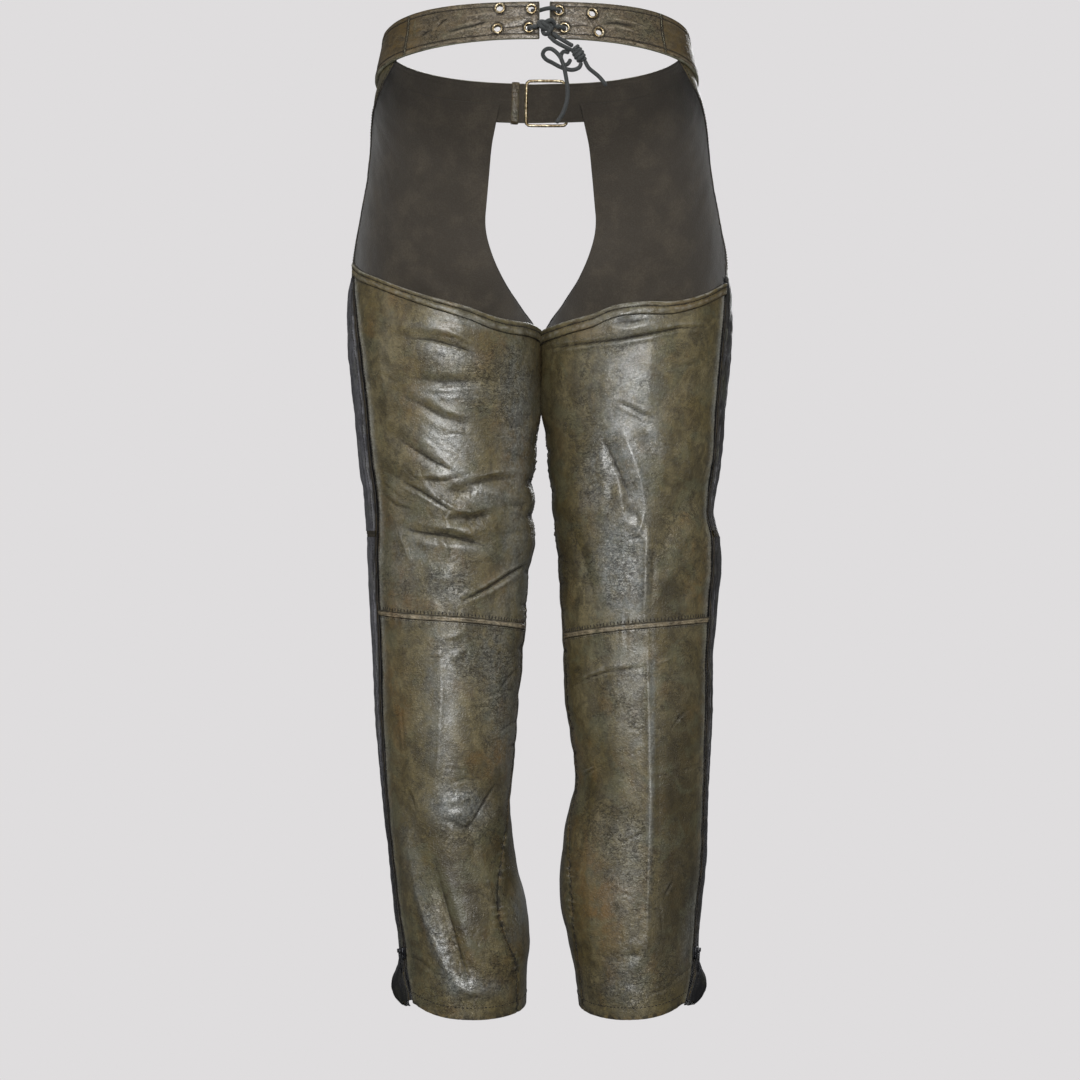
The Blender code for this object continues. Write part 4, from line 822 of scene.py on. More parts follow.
# The belt's wrinkles, on its back and on its front.
BELT_CREASE_ROWS = {
    Face.BACK: creases("""R 2 0.9 441 38 462 31 493 24.5; T 2.2 0.9 445 33 466 27 490 21;
        R 2 0.7 458 18 480 14 504 12; C 2.5 0.7 500 28 512 27 524 25;
        C 3 1.1 437 27 442 22 448 18; R 2.2 0.8 500 18 510 22 526 19; R 1.6 1 534.5 14 534.5 25;
        R 1.6 1 557.7 13 557.7 25; T 2.4 0.8 600 24 616 23 634 26; R 2.2 0.9 604 28 620 28 640 33;
        R 2 0.7 610 18 630 22 648 28; C 2.5 0.7 570 27 580 25 590 26;
        T 2.2 0.7 420 36 428 31 434 30; R 2.2 0.6 600 12 612 14 624 17;
        C 2 0.5 470 38 484 35 500 33; C 2 0.5 622 38 636 41 648 46"""),
    Face.FRONT: creases("""T 2.6 0.7 430 98 450 104 474 106; R 2.4 0.7 434 104 456 111 480 113;
        T 2.6 0.7 596 106 620 103 642 98; R 2.4 0.7 594 113 618 111 640 105;
        C 2 0.5 486 100 500 103 508 103; C 2 0.5 572 103 584 104 600 101"""),
}
# Areas rubbed shiny and grey: lower roughness and more coat, and a painted sheen in the colour;
# some patches lighten the legs' inner sides as painted light.
POLISH_AND_PAINTED_SHEEN = {
    Face.BACK: table("""626 388 34 70 -3 0.7; 600 470 16 45 8 0.7; 632 470 14 40 -18 0.9;
        624 564 24 54 0 1.7; 661 566 9 56 0 -1; 628 690 24 70 0 0.35; 655 440 12 22 -20 0.6;
        446 352 34 9 12 0.6; 628 321 30 7 -4 1; 470 322 26 5 12 0.6; 440 326 34 6 5 0.4;
        450 393 40 9 -2 0.8; 440 440 30 16 25 0.6; 448 470 24 8 20 0.8; 486 495 18 12 10 0.8;
        436 500 20 10 35 0.5; 430 548 26 20 20 0.4; 447 585 24 20 0 0.6; 468 546 20 8 10 0.5;
        440 700 18 80 0 0.6; 470 660 24 30 0 0.35; 460 806 28 20 10 1.3; 412 850 9 40 -12 0.4;
        437 940 8 50 -18 1; 472 985 30 10 5 0.8; 622 860 24 60 0 0.35; 624 980 20 26 0 0.6;
        690 930 8 40 8 0.5; 518 420 18 80 0 0.85; 404 560 18 60 0 0.4; 452 430 30 60 0 0.3;
        516 560 16 60 0 0.65; 502 700 18 90 -4 0.65; 512 900 12 30 0 0.5; 651 760 3.5 130 1 0.8
        """),
    Face.FRONT: table("""450 350 40 70 0 0.7; 632 360 40 70 0 0.7; 455 530 34 46 0 1;
        440 200 26 50 0 0.5; 640 200 26 50 0 0.5; 450 960 30 30 0 0.6; 521 902 10 30 8 0.9;
        640 530 34 46 0 1; 460 760 24 100 0 0.7; 640 770 24 100 0 0.7"""),
}
# Areas where the finish has cracked most.
CRACKLE = {
    Face.BACK: table("""505 390 30 45 0 1; 450 365 45 22 0 0.8; 626 380 34 70 0 0.3;
        447 585 28 26 0 1; 622 565 28 50 0 1; 600 480 24 40 0 0.9; 470 650 40 34 0 0.8;
        500 690 22 40 0 0.8; 470 820 40 40 0 0.8; 436 930 18 60 -16 0.8; 500 970 24 30 0 0.9;
        450 995 50 18 0 0.7; 620 700 34 50 0 0.6; 640 860 40 50 0 0.8; 630 980 50 30 0 1;
        395 580 20 30 0 0.6; 575 560 20 50 0 0.7; 680 560 20 50 0 0.5; 580 400 22 60 0 0.5;
        600 820 30 34 0 1"""),
    Face.FRONT: table("""450 380 45 60 0 0.7; 632 380 45 60 0 0.7; 455 600 40 60 0 0.9;
        640 600 40 60 0 0.9; 460 930 40 50 0 0.8; 640 930 40 50 0 0.8"""),
}
# Areas where the colour is browner (above 0), and where it is darkened (below 0), mostly as painted
# shade on the right leg's outer side, the inner sides and in troughs.
BROWN_AND_PAINTED_SHADE = {
    Face.BACK: table("""390 300 30 40 0 0.5; 410 395 20 50 0 0.6; 515 460 22 40 0 0.9;
        412 604 30 8 4 1.5; 400 575 18 24 0 0.6; 490 765 26 26 0 0.8; 404 690 14 40 0 0.6;
        490 975 30 24 0 0.8; 396 740 12 60 0 0.5; 590 500 16 40 0 0.4; 590 330 40 12 -8 0.7;
        690 300 30 10 -12 0.8; 590 880 22 60 0 1; 610 930 22 30 0 0.7; 576 760 12 40 0 0.7;
        680 420 22 60 0 0.4; 668 700 14 60 0 0.4; 690 560 20 40 0 0.3; 556 440 12 60 0 -0.6;
        566 540 14 50 0 -0.5; 640 490 10 26 0 -0.5; 686 470 18 34 0 -0.7; 670 600 16 34 0 -0.8;
        674 740 22 110 0 -1; 682 880 20 70 0 -1; 668 940 22 50 0 -0.9; 502 830 22 50 0 -0.6;
        504 710 14 60 0 0.5; 468 905 18 60 -14 -0.9; 446 884 8 50 -16 -1; 520 400 16 40 0 -0.3;
        412 480 22 22 0 -0.4; 500 560 26 24 0 -0.4; 420 960 16 30 -10 -0.4; 604 660 16 40 0 -0.3;
        480 520 22 10 0 -0.4"""),
    Face.FRONT: table("""420 430 30 50 0 0.6; 660 430 30 50 0 0.6; 440 820 26 60 0 0.5;
        650 840 26 60 0 0.5; 506 850 12 50 0 -0.9; 480 700 26 60 0 -0.5; 610 690 26 60 0 -0.5"""),
}
# Areas that are crinkled all over.
CRINKLE = {
    Face.BACK: table("""450 495 70 70 0 1; 450 585 60 24 0 0.6; 620 500 70 60 0 0.45;
        620 590 60 26 0 0.3; 470 960 60 50 0 1; 630 960 60 50 0 0.9; 470 810 40 30 0 0.8;
        460 350 50 30 0 0.5; 505 880 20 60 0 0.8; 590 860 30 50 0 0.5; 470 650 50 30 0 0.5;
        630 320 40 16 0 0.7"""),
    Face.FRONT: table("""450 500 60 70 0 1; 640 500 60 70 0 1; 460 950 60 50 0 1;
        640 950 60 50 0 1; 450 300 60 40 0 0.6; 640 300 60 40 0 0.6"""),
}


def lengths_along(route: Array) -> Array:
    """Each point's distance from a route's start."""
    return np.concatenate(((0.0,), np.cumsum(np.linalg.norm(np.diff(route, axis=0), axis=1))))


def total(rows: Iterable[Sequence[float]], x: Array, y: Array) -> Array:
    """Sum of a list of patches at places on the chart."""
    return sum((Patch(*row).amount(x, y) for row in rows), np.zeros(x.shape))


def creased(rows: Iterable[Crease], x: Array, y: Array) -> Array:
    """Sum of a list of creases at places on the chart, in millimetres."""
    return sum((row.relief(x, y) for row in rows), np.zeros(x.shape))


# ------------------------------------------------------------------ node trees for the finishes
Value = float | tuple[float, ...] | Socket


class NodeMaker:
    """A node tree under construction: short calls that add nodes and link them."""

    def __init__(self, tree: bpy.types.NodeTree) -> None:
        """Work on a tree."""
        self.tree = tree

    def put(self, value: Value, socket: Socket) -> None:
        """Link a socket to an input, or set the input's own value.

        Args:
            value: a socket, or a value of the kind that the input holds.
            socket: the input.
        """
        if isinstance(value, Socket):
            self.tree.links.new(value, socket)
        elif isinstance(value, tuple) and len(socket.default_value) == 4 and len(value) == 3:
            socket.default_value = (*value, 1.0)
        else:
            socket.default_value = value

    def node(self, kind: str, inputs: dict[str | int, Value] | None = None,
             **settings: object) -> bpy.types.Node:
        """Add a node with its settings and inputs.

        Args:
            kind: the node's type.
            inputs: a value or socket for each input by name or number.
            settings: the node's own settings.

        Returns:
            The new node.
        """
        node = self.tree.nodes.new(kind)
        for key, value in settings.items():
            setattr(node, key, value)
        for key, value in (inputs or {}).items():
            self.put(value, node.inputs[key])
        return node

    def first(self, kind: str, inputs: dict[str | int, Value] | None = None,
              **settings: object) -> Socket:
        """Add a node and return its first output."""
        return self.node(kind, inputs, **settings).outputs[0]


class Finish(NodeMaker):
    """A material under construction, with a short call for each kind of step."""

    def __init__(self, name: str) -> None:
        """Start a material with a Principled shader.

        Args:
            name: the material's name.
        """
        self.material = bpy.data.materials.new(name)
        self.material.use_nodes = True
        super().__init__(self.material.node_tree)
        self.shader = self.tree.nodes["Principled BSDF"]

    def sum(self, kind: str, a: Value, b: Value = 0.0, clamp: bool = False) -> Socket:
        """One step of arithmetic, such as MULTIPLY or ADD."""
        return self.first("ShaderNodeMath", {0: a, 1: b}, operation=kind, use_clamp=clamp)

    def times(self, a: Value, b: Value) -> Socket:
        """One value times another."""
        return self.sum("MULTIPLY", a, b)

    def plus(self, a: Value, b: Value, clamp: bool = False) -> Socket:
        """Two values added."""
        return self.sum("ADD", a, b, clamp)

    def minus(self, a: Value, b: Value, clamp: bool = False) -> Socket:
        """One value less another."""
        return self.sum("SUBTRACT", a, b, clamp)

    def blend(self, factor: Value, a: Value, b: Value) -> Socket:
        """A mixture of two colours.

        Args:
            factor: how much of the second.
            a: the first colour.
            b: the second colour.

        Returns:
            The mixed colour.
        """
        node = self.node("ShaderNodeMix", {0: factor, 6: a, 7: b}, data_type="RGBA",
                         clamp_factor=True)
        return node.outputs[2]

    def ramp(self, value: Value, low: float, high: float, start: float = 0.0,
             end: float = 1.0) -> Socket:
        """Stretch a range of values softly to another."""
        return self.first("ShaderNodeMapRange", {0: value, 1: low, 2: high, 3: start, 4: end},
                          interpolation_type="SMOOTHSTEP")

    def places(self) -> Socket:
        """The object's own coordinates, in metres."""
        return self.node("ShaderNodeTexCoord").outputs["Object"]

    def scaled(self, vector: Value, scale: Triple) -> Socket:
        """Coordinates stretched along each axis."""
        return self.first("ShaderNodeMapping", {"Vector": vector, "Scale": scale})

    def noise(self, vector: Value, size: float, detail: float = 3.0, rough: float = 0.55,
              bend: float = 0.0) -> Socket:
        """Noise with features of about a size in metres.

        Args:
            vector: the coordinates that it lies in.
            size: size of its features, in metres.
            detail: number of finer layers.
            rough: how strong the finer layers are.
            bend: how much it is warped.

        Returns:
            The noise, from 0 to 1.
        """
        return self.first("ShaderNodeTexNoise", {
            "Vector": vector, "Scale": 1.0 / size, "Detail": detail, "Roughness": rough,
            "Distortion": bend})

    def cells(self, vector: Value, size: float) -> Socket:
        """A cell pattern with cells of about a size in metres.

        Args:
            vector: the coordinates that it lies in.
            size: size of a cell, in metres.

        Returns:
            The distance to the nearest cell's middle.
        """
        node = self.node("ShaderNodeTexVoronoi", {"Vector": vector, "Scale": 1.0 / size},
                         feature="F1")
        return node.outputs["Distance"]

    def veins(self, vector: Value, size: float, detail: float, width: float) -> Socket:
        """Thin lines that wander and branch, with gaps of about a size in metres."""
        away = self.sum("ABSOLUTE", self.minus(self.noise(vector, size, detail, 0.6, 0.4), 0.5))
        return self.ramp(away, 0.0, width, 1.0, 0.0)

    def warped(self, vector: Value, size: float, reach: float) -> Socket:
        """Coordinates pushed about by noise, so that lines wander.

        Args:
            vector: the coordinates.
            size: size of the noise, in metres.
            reach: how far it pushes.

        Returns:
            The new coordinates.
        """
        noise = self.node("ShaderNodeTexNoise", {
            "Vector": vector, "Scale": 1.0 / size, "Detail": 2.0}).outputs[1]
        centred = self.first("ShaderNodeVectorMath", {0: noise, 1: (0.5, 0.5, 0.5)},
                             operation="SUBTRACT")
        pushed = self.first("ShaderNodeVectorMath", {0: centred, "Scale": reach},
                            operation="SCALE")
        return self.first("ShaderNodeVectorMath", {0: vector, 1: pushed}, operation="ADD")

    def mark(self, name: str) -> Socket:
        """A value that the piece's mesh carries."""
        return self.node("ShaderNodeAttribute", attribute_name=name).outputs["Fac"]

    def bump(self, height: Value, depth: float, strength: float = 1.0,
             under: Socket | None = None) -> Socket:
        """A relief of a depth in metres, laid over another if one is given.

        Args:
            height: the relief, from 0 to 1.
            depth: its depth in metres.
            strength: how much of it shows.
            under: the relief below it.

        Returns:
            The surface's new direction.
        """
        inputs: dict[str | int, Value] = {"Height": height, "Distance": depth, "Strength": strength}
        if under is not None:
            inputs["Normal"] = under
        return self.first("ShaderNodeBump", inputs)

    def done(self, **inputs: Value) -> Material:
        """Set the shader's inputs and return the material.

        Args:
            inputs: the shader's inputs by name, with _ for a space.

        Returns:
            The finished material.
        """
        for key, value in inputs.items():
            self.put(value, self.shader.inputs[key.replace("_", " ")])
        return self.material


def srgb(red: int, green: int, blue: int) -> Triple:
    """A colour from its display values of 0 to 255.

    Args:
        red: red, from 0 to 255.
        green: green, from 0 to 255.
        blue: blue, from 0 to 255.

    Returns:
        The colour in linear values.
    """

    def linear(value: float) -> float:
        """One channel as the renderer reads it."""
        value /= 255.0
        return value / 12.92 if value <= 0.04045 else ((value + 0.055) / 1.055) ** 2.4

    return linear(red), linear(green), linear(blue)


@dataclass(frozen=True)
class GrainLeather:
    """Distressed leather: mottled tones, ridges rubbed paler with painted highlight, grooves
    darkened with painted shade, painted sheen and glints, cracks and grain.
    """

    name: str
    main: Triple = srgb(85, 75, 46)
    pale: Triple = srgb(108, 99, 73)
    dark: Triple = srgb(42, 36, 22)
    brown: Triple = srgb(95, 73, 39)
    green: Triple = srgb(82, 82, 62)
    silver: Triple = srgb(104, 108, 108)
    rubbed: Triple = srgb(140, 137, 127)
    crack: Triple = srgb(24, 20, 13)
    roughness: float = 0.45
    crack_strength: float = 0.82
    streak: Triple = (1.0, 1.0, 0.75)
    lump_depth: float = 0.00028
    grain_depth: float = 0.00021
    coat: float = 0.42
    specular: float = 0.34

    def build(self) -> Material:
        """Build the material.

        Returns:
            The material.
        """
        f = Finish(self.name)
        place = f.places()
        wide = f.scaled(place, self.streak)
        relief, polish, brown, cracked, seam = (
            f.mark(name) for name in ("relief", "polish", "brown", "cracked", "seam"))

        blotch = f.ramp(f.noise(wide, 0.050, 4.0, 0.6, 0.5), 0.38, 0.64, 0.0, 0.6)
        mottle = f.ramp(f.noise(wide, 0.013, 5.0, 0.66, 0.8), 0.37, 0.63, 0.0, 0.6)
        speck = f.noise(place, 0.0030, 3.0, 0.7)
        colour = f.blend(blotch, self.main, self.pale)
        colour = f.blend(mottle, colour, self.dark)
        rust = f.ramp(f.noise(wide, 0.018, 5.0, 0.68, 0.5), 0.40, 0.60, 0.15, 1.0)
        drift = f.ramp(f.noise(wide, 0.034, 3.0, 0.6), 0.50, 0.68, 0.0, 0.45)
        browner = f.times(f.plus(f.ramp(brown, 0.0, 1.2, 0.0, 0.7), drift), rust)
        colour = f.blend(browner, colour, self.brown)
        # Below 0 the brown mark darkens the colour: on the panels this is painted shade.
        colour = f.blend(f.ramp(f.times(brown, -1.0), 0.0, 1.0, 0.0, 0.65), colour, self.dark)
        # Painted sheen: where the leather is polished its colour goes towards a pale grey highlight
        # tone.
        silver = f.times(polish, f.ramp(f.noise(wide, 0.010, 5.0, 0.7), 0.36, 0.62, 0.25, 0.7))
        green = f.ramp(f.noise(place, 0.028, 3.0, 0.6, 0.6), 0.50, 0.66, 0.0, 0.45)
        colour = f.blend(green, colour, self.green)
        colour = f.blend(silver, colour, self.silver)
        # Painted glints: pale flecks sprinkled over the polished places.
        painted_glint = f.times(polish, f.ramp(f.noise(place, 0.0024, 3.0, 0.7), 0.50, 0.64, 0.0, 0.55))
        colour = f.blend(painted_glint, colour, self.rubbed)
        colour = f.blend(f.ramp(speck, 0.44, 0.62, 0.0, 0.28), colour, self.dark)

        flat = f.scaled(place, (1.0, 1.0, 1.9))
        lines = f.sum("MAXIMUM", f.veins(flat, 0.0115, 4.0, 0.025),
                      f.times(f.veins(flat, 0.0058, 3.0, 0.042), 0.7))
        where = f.ramp(f.noise(place, 0.020, 4.0, 0.65), 0.44, 0.65, 0.0, 0.6)
        amount = f.plus(f.times(cracked, 0.85), where, True)
        lines = f.times(lines, amount)
        colour = f.blend(f.times(lines, self.crack_strength), colour, self.crack)

        # Raised places are rubbed paler: wear, partly as painted highlight.
        ragged = f.ramp(f.noise(place, 0.006, 4.0, 0.7), 0.36, 0.62)
        ridge = f.times(f.ramp(relief, 0.15, 0.95, 0.0, 0.55), ragged)
        colour = f.blend(ridge, colour, self.rubbed)
        # Hollows are darkened as painted shade, partly dirt, and made duller.
        groove = f.ramp(f.times(relief, -1.0), 0.12, 0.90)
        colour = f.blend(f.times(groove, 0.8), colour, self.crack)
        patchy = f.noise(place, 0.010, 4.0, 0.6)
        worn_seam = f.times(f.ramp(seam, 0.3, 1.0, 0.0, 0.35), f.ramp(patchy, 0.48, 0.60))
        colour = f.blend(worn_seam, colour, self.brown)
        # Darker close to seams and edges, in patches.
        seam_darkening = f.times(f.ramp(seam, 0.15, 0.9, 0.0, 0.8), f.ramp(patchy, 0.54, 0.42))
        colour = f.blend(seam_darkening, colour, self.crack)

        dull = f.sum("MAXIMUM", groove, f.sum("MAXIMUM", f.times(lines, 0.7), seam_darkening))
        shine = f.minus(1.0, dull, True)
        rough = f.minus(self.roughness, f.times(polish, 0.12))
        rough = f.plus(rough, f.ramp(speck, 0.4, 0.7, -0.04, 0.12))
        rough = f.plus(rough, f.times(dull, 0.42), True)

        coat = f.ramp(polish, 0.0, 1.0, 0.55 * self.coat, 1.6 * self.coat)
        bump = f.bump(f.noise(place, 0.011, 3.0, 0.55, 0.3), self.lump_depth)
        bump = f.bump(f.minus(1.0, lines), self.grain_depth * 1.6, 1.0, bump)
        pebble = f.ramp(f.cells(f.warped(place, 0.004, 0.0012), 0.0021), 0.08, 0.62, 1.0, 0.0)
        bump = f.bump(pebble, self.grain_depth, 1.0, bump)
        return f.done(Base_Color=colour, Roughness=rough, Normal=bump,
                      Specular_IOR_Level=self.specular, Coat_Weight=f.times(shine, coat),
                      Coat_Roughness=0.32)


@dataclass(frozen=True)
class PlainFinish:
    """A quiet finish: one colour that drifts a little, with fine relief."""

    name: str
    colour: Triple
    worn: Triple
    roughness: float
    metallic: float = 0.0
    grain: float = 0.0012
    depth: float = 0.0001
    sheen: float = 0.0
    drift: float = 0.012

    def build(self) -> Material:
        """Build the material.

        Returns:
            The material.
        """
        f = Finish(self.name)
        place = f.places()
        patchy = f.ramp(f.noise(place, self.drift, 4.0, 0.62), 0.42, 0.7)
        fine = f.noise(place, self.grain, 3.0, 0.6)
        colour = f.blend(patchy, self.colour, self.worn)
        colour = f.blend(f.ramp(fine, 0.4, 0.65, 0.0, 0.35), colour, self.colour)
        rough = f.plus(self.roughness, f.ramp(fine, 0.3, 0.7, -0.08, 0.1), True)
        bump = f.bump(fine, self.depth)
        return f.done(Base_Color=colour, Roughness=rough, Normal=bump, Metallic=self.metallic,
                      Sheen_Weight=self.sheen)


@dataclass(frozen=True)
class WovenFinish:
    """Thread, cord or tape: twisted or woven strands along the piece's own UV map."""

    name: str
    colour: Triple
    worn: Triple
    pitch: float
    roughness: float = 0.8
    sheen: float = 0.25

    def build(self) -> Material:
        """Build the material.

        Returns:
            The material.
        """
        f = Finish(self.name)
        turned = f.first("ShaderNodeMapping", {
            "Vector": f.first("ShaderNodeUVMap"), "Rotation": (0.0, 0.0, math.radians(45.0)),
            "Scale": (1.0 / self.pitch,) * 3})
        wave = f.node("ShaderNodeTexWave", {"Vector": turned, "Scale": 0.5, "Distortion": 0.4})
        strand = f.ramp(wave.outputs[1], 0.15, 0.7)
        fuzz = f.noise(f.places(), 0.0012, 3.0, 0.7)
        colour = f.blend(strand, self.colour, self.worn)
        colour = f.blend(f.ramp(fuzz, 0.42, 0.62, 0.0, 0.4), colour, self.colour)
        bump = f.bump(strand, self.pitch * 0.12)
        return f.done(Base_Color=colour, Roughness=self.roughness, Normal=bump,
                      Sheen_Weight=self.sheen)


class Wardrobe:
    """Every finish of the garment, built once."""

    def __init__(self) -> None:
        """Build the materials."""
        self.panel = GrainLeather("olive_panel_leather").build()
        self.belt = GrainLeather(
            "golden_belt_leather", main=srgb(76, 65, 43), pale=srgb(100, 88, 67),
            dark=srgb(42, 34, 22), brown=srgb(82, 65, 32), silver=srgb(112, 100, 86),
            rubbed=srgb(150, 138, 118), crack_strength=0.75, streak=(1.0, 1.0, 3.2),
            roughness=0.44, coat=0.18).build()
        self.welt = GrainLeather(
            "rubbed_welt_leather", main=srgb(100, 90, 68), pale=srgb(130, 118, 96),
            dark=srgb(52, 44, 30), brown=srgb(106, 80, 50), rubbed=srgb(168, 152, 126),
            crack_strength=0.5, roughness=0.44, coat=0.15).build()
        self.flesh = PlainFinish("flesh_side", srgb(50, 44, 36), srgb(62, 55, 45), 0.95,
                                 grain=0.0016, depth=0.0004, sheen=0.2, drift=0.03).build()
        self.edge = PlainFinish("cut_edge", srgb(20, 17, 14), srgb(44, 37, 28), 0.8).build()
        self.strip = GrainLeather(
            "charcoal_strip_leather", main=srgb(62, 61, 64), pale=srgb(90, 89, 93),
            dark=srgb(30, 29, 31), brown=srgb(44, 41, 33), silver=srgb(106, 105, 110),
            rubbed=srgb(124, 123, 128), crack=srgb(10, 10, 11), streak=(1.0, 1.0, 0.5),
            roughness=0.40, crack_strength=0.6, coat=0.24,
            specular=0.22).build()
        # The belt's rims are pale as a painted highlight along its lit edges.
        self.belt_edge = PlainFinish("belt_edge", srgb(112, 108, 88), srgb(150, 148, 128),
                                     0.55).build()
        self.thread = PlainFinish("dark_thread", srgb(18, 15, 12), srgb(46, 38, 28), 0.85).build()
        self.tape = WovenFinish("zip_tape", srgb(16, 16, 17), srgb(30, 30, 31), 0.0009).build()
        self.cord = WovenFinish("lace_cord", srgb(24, 25, 25), srgb(58, 61, 60), 0.0015,
                                roughness=0.75, sheen=0.1).build()
        self.brass = PlainFinish("antique_brass", srgb(108, 92, 66), srgb(224, 210, 178), 0.36, 1.0,
                                 drift=0.003, depth=0.00006).build()
        self.gunmetal = PlainFinish("gunmetal", srgb(44, 44, 46), srgb(84, 84, 86), 0.38, 1.0,
                                    drift=0.004, depth=0.00005).build()


# ------------------------------------------------------------------ meshes
def shown(name: str, data: bpy.types.ID) -> Piece:
    """A new object with its data, in the scene.

    Args:
        name: the new object's name.
        data: its mesh, light or camera.

    Returns:
        The object.
    """
    thing = bpy.data.objects.new(name, data)
    bpy.context.scene.collection.objects.link(thing)
    return thing


def mesh_from(name: str, shape: bmesh.types.BMesh, material: Material) -> bpy.types.Mesh:
    """A mesh with one material from a shape, which is used up.

    Args:
        name: the mesh's name.
        shape: the shape.
        material: its finish.

    Returns:
        The new mesh.
    """
    mesh = bpy.data.meshes.new(name)
    shape.to_mesh(mesh)
    shape.free()
    mesh.materials.append(material)
    return mesh


def add_mesh(name: str, points: Array, faces: Array | list, materials: Sequence[Material],
             slots: Array | None = None) -> Piece:
    """A mesh object at the origin.

    Args:
        name: the piece's name.
        points: its vertices.
        faces: lists or rows of vertex numbers.
        materials: its finishes, in the order that slots counts.
        slots: the finish of each face, or None for the first.

    Returns:
        The new object, in the scene.
    """
    mesh = bpy.data.meshes.new(name)
    mesh.from_pydata(np.asarray(points).reshape(-1, 3).tolist(), [], [list(f) for f in faces])
    for material in materials:
        mesh.materials.append(material)
    if slots is not None:
        mesh.polygons.foreach_set("material_index", np.asarray(slots, np.int32))
    mesh.update()
    return shown(name, mesh)


def soften(piece: Piece, angle: float = 50.0) -> None:
    """Smooth shading with sharp edges past an angle."""
    piece.data.shade_smooth()
    piece.data.set_sharp_from_angle(angle=math.radians(angle))


def set_marks(piece: Piece, marks: dict[str, Array]) -> None:
    """Store one value for each vertex under each name.

    Args:
        piece: the piece to change.
        marks: values for its vertices, by name.
    """
    for name, values in marks.items():
        attribute = piece.data.attributes.new(name, "FLOAT", "POINT")
        attribute.data.foreach_set("value", np.asarray(values, np.float32).ravel())


def set_uv(piece: Piece, places: Array) -> None:
    """Store a UV place for each vertex, on every corner that uses it.

    Args:
        piece: the piece to change.
        places: a place for each vertex.
    """
    mesh = piece.data
    layer = mesh.uv_layers.new(name="UVMap")
    corners = np.zeros(len(mesh.loops), np.int32)
    mesh.loops.foreach_get("vertex_index", corners)
    layer.data.foreach_set("uv", np.asarray(places, np.float32)[corners].ravel())


def baked(piece: Piece) -> None:
    """Apply a piece's modifiers, and turn a curve into a mesh, in place at the origin.

    Args:
        piece: the piece to change.
    """
    bpy.context.view_layer.update()
    graph = bpy.context.evaluated_depsgraph_get()
    mesh = bpy.data.meshes.new_from_object(piece.evaluated_get(graph), depsgraph=graph)
    mesh.name = piece.name
    piece.modifiers.clear()
    piece.data = mesh


class Edge(Enum):
    """An edge of a sheet: its first or last column or row."""

    START = "start"
    END = "end"
    TOP = "top"
    BOTTOM = "bottom"


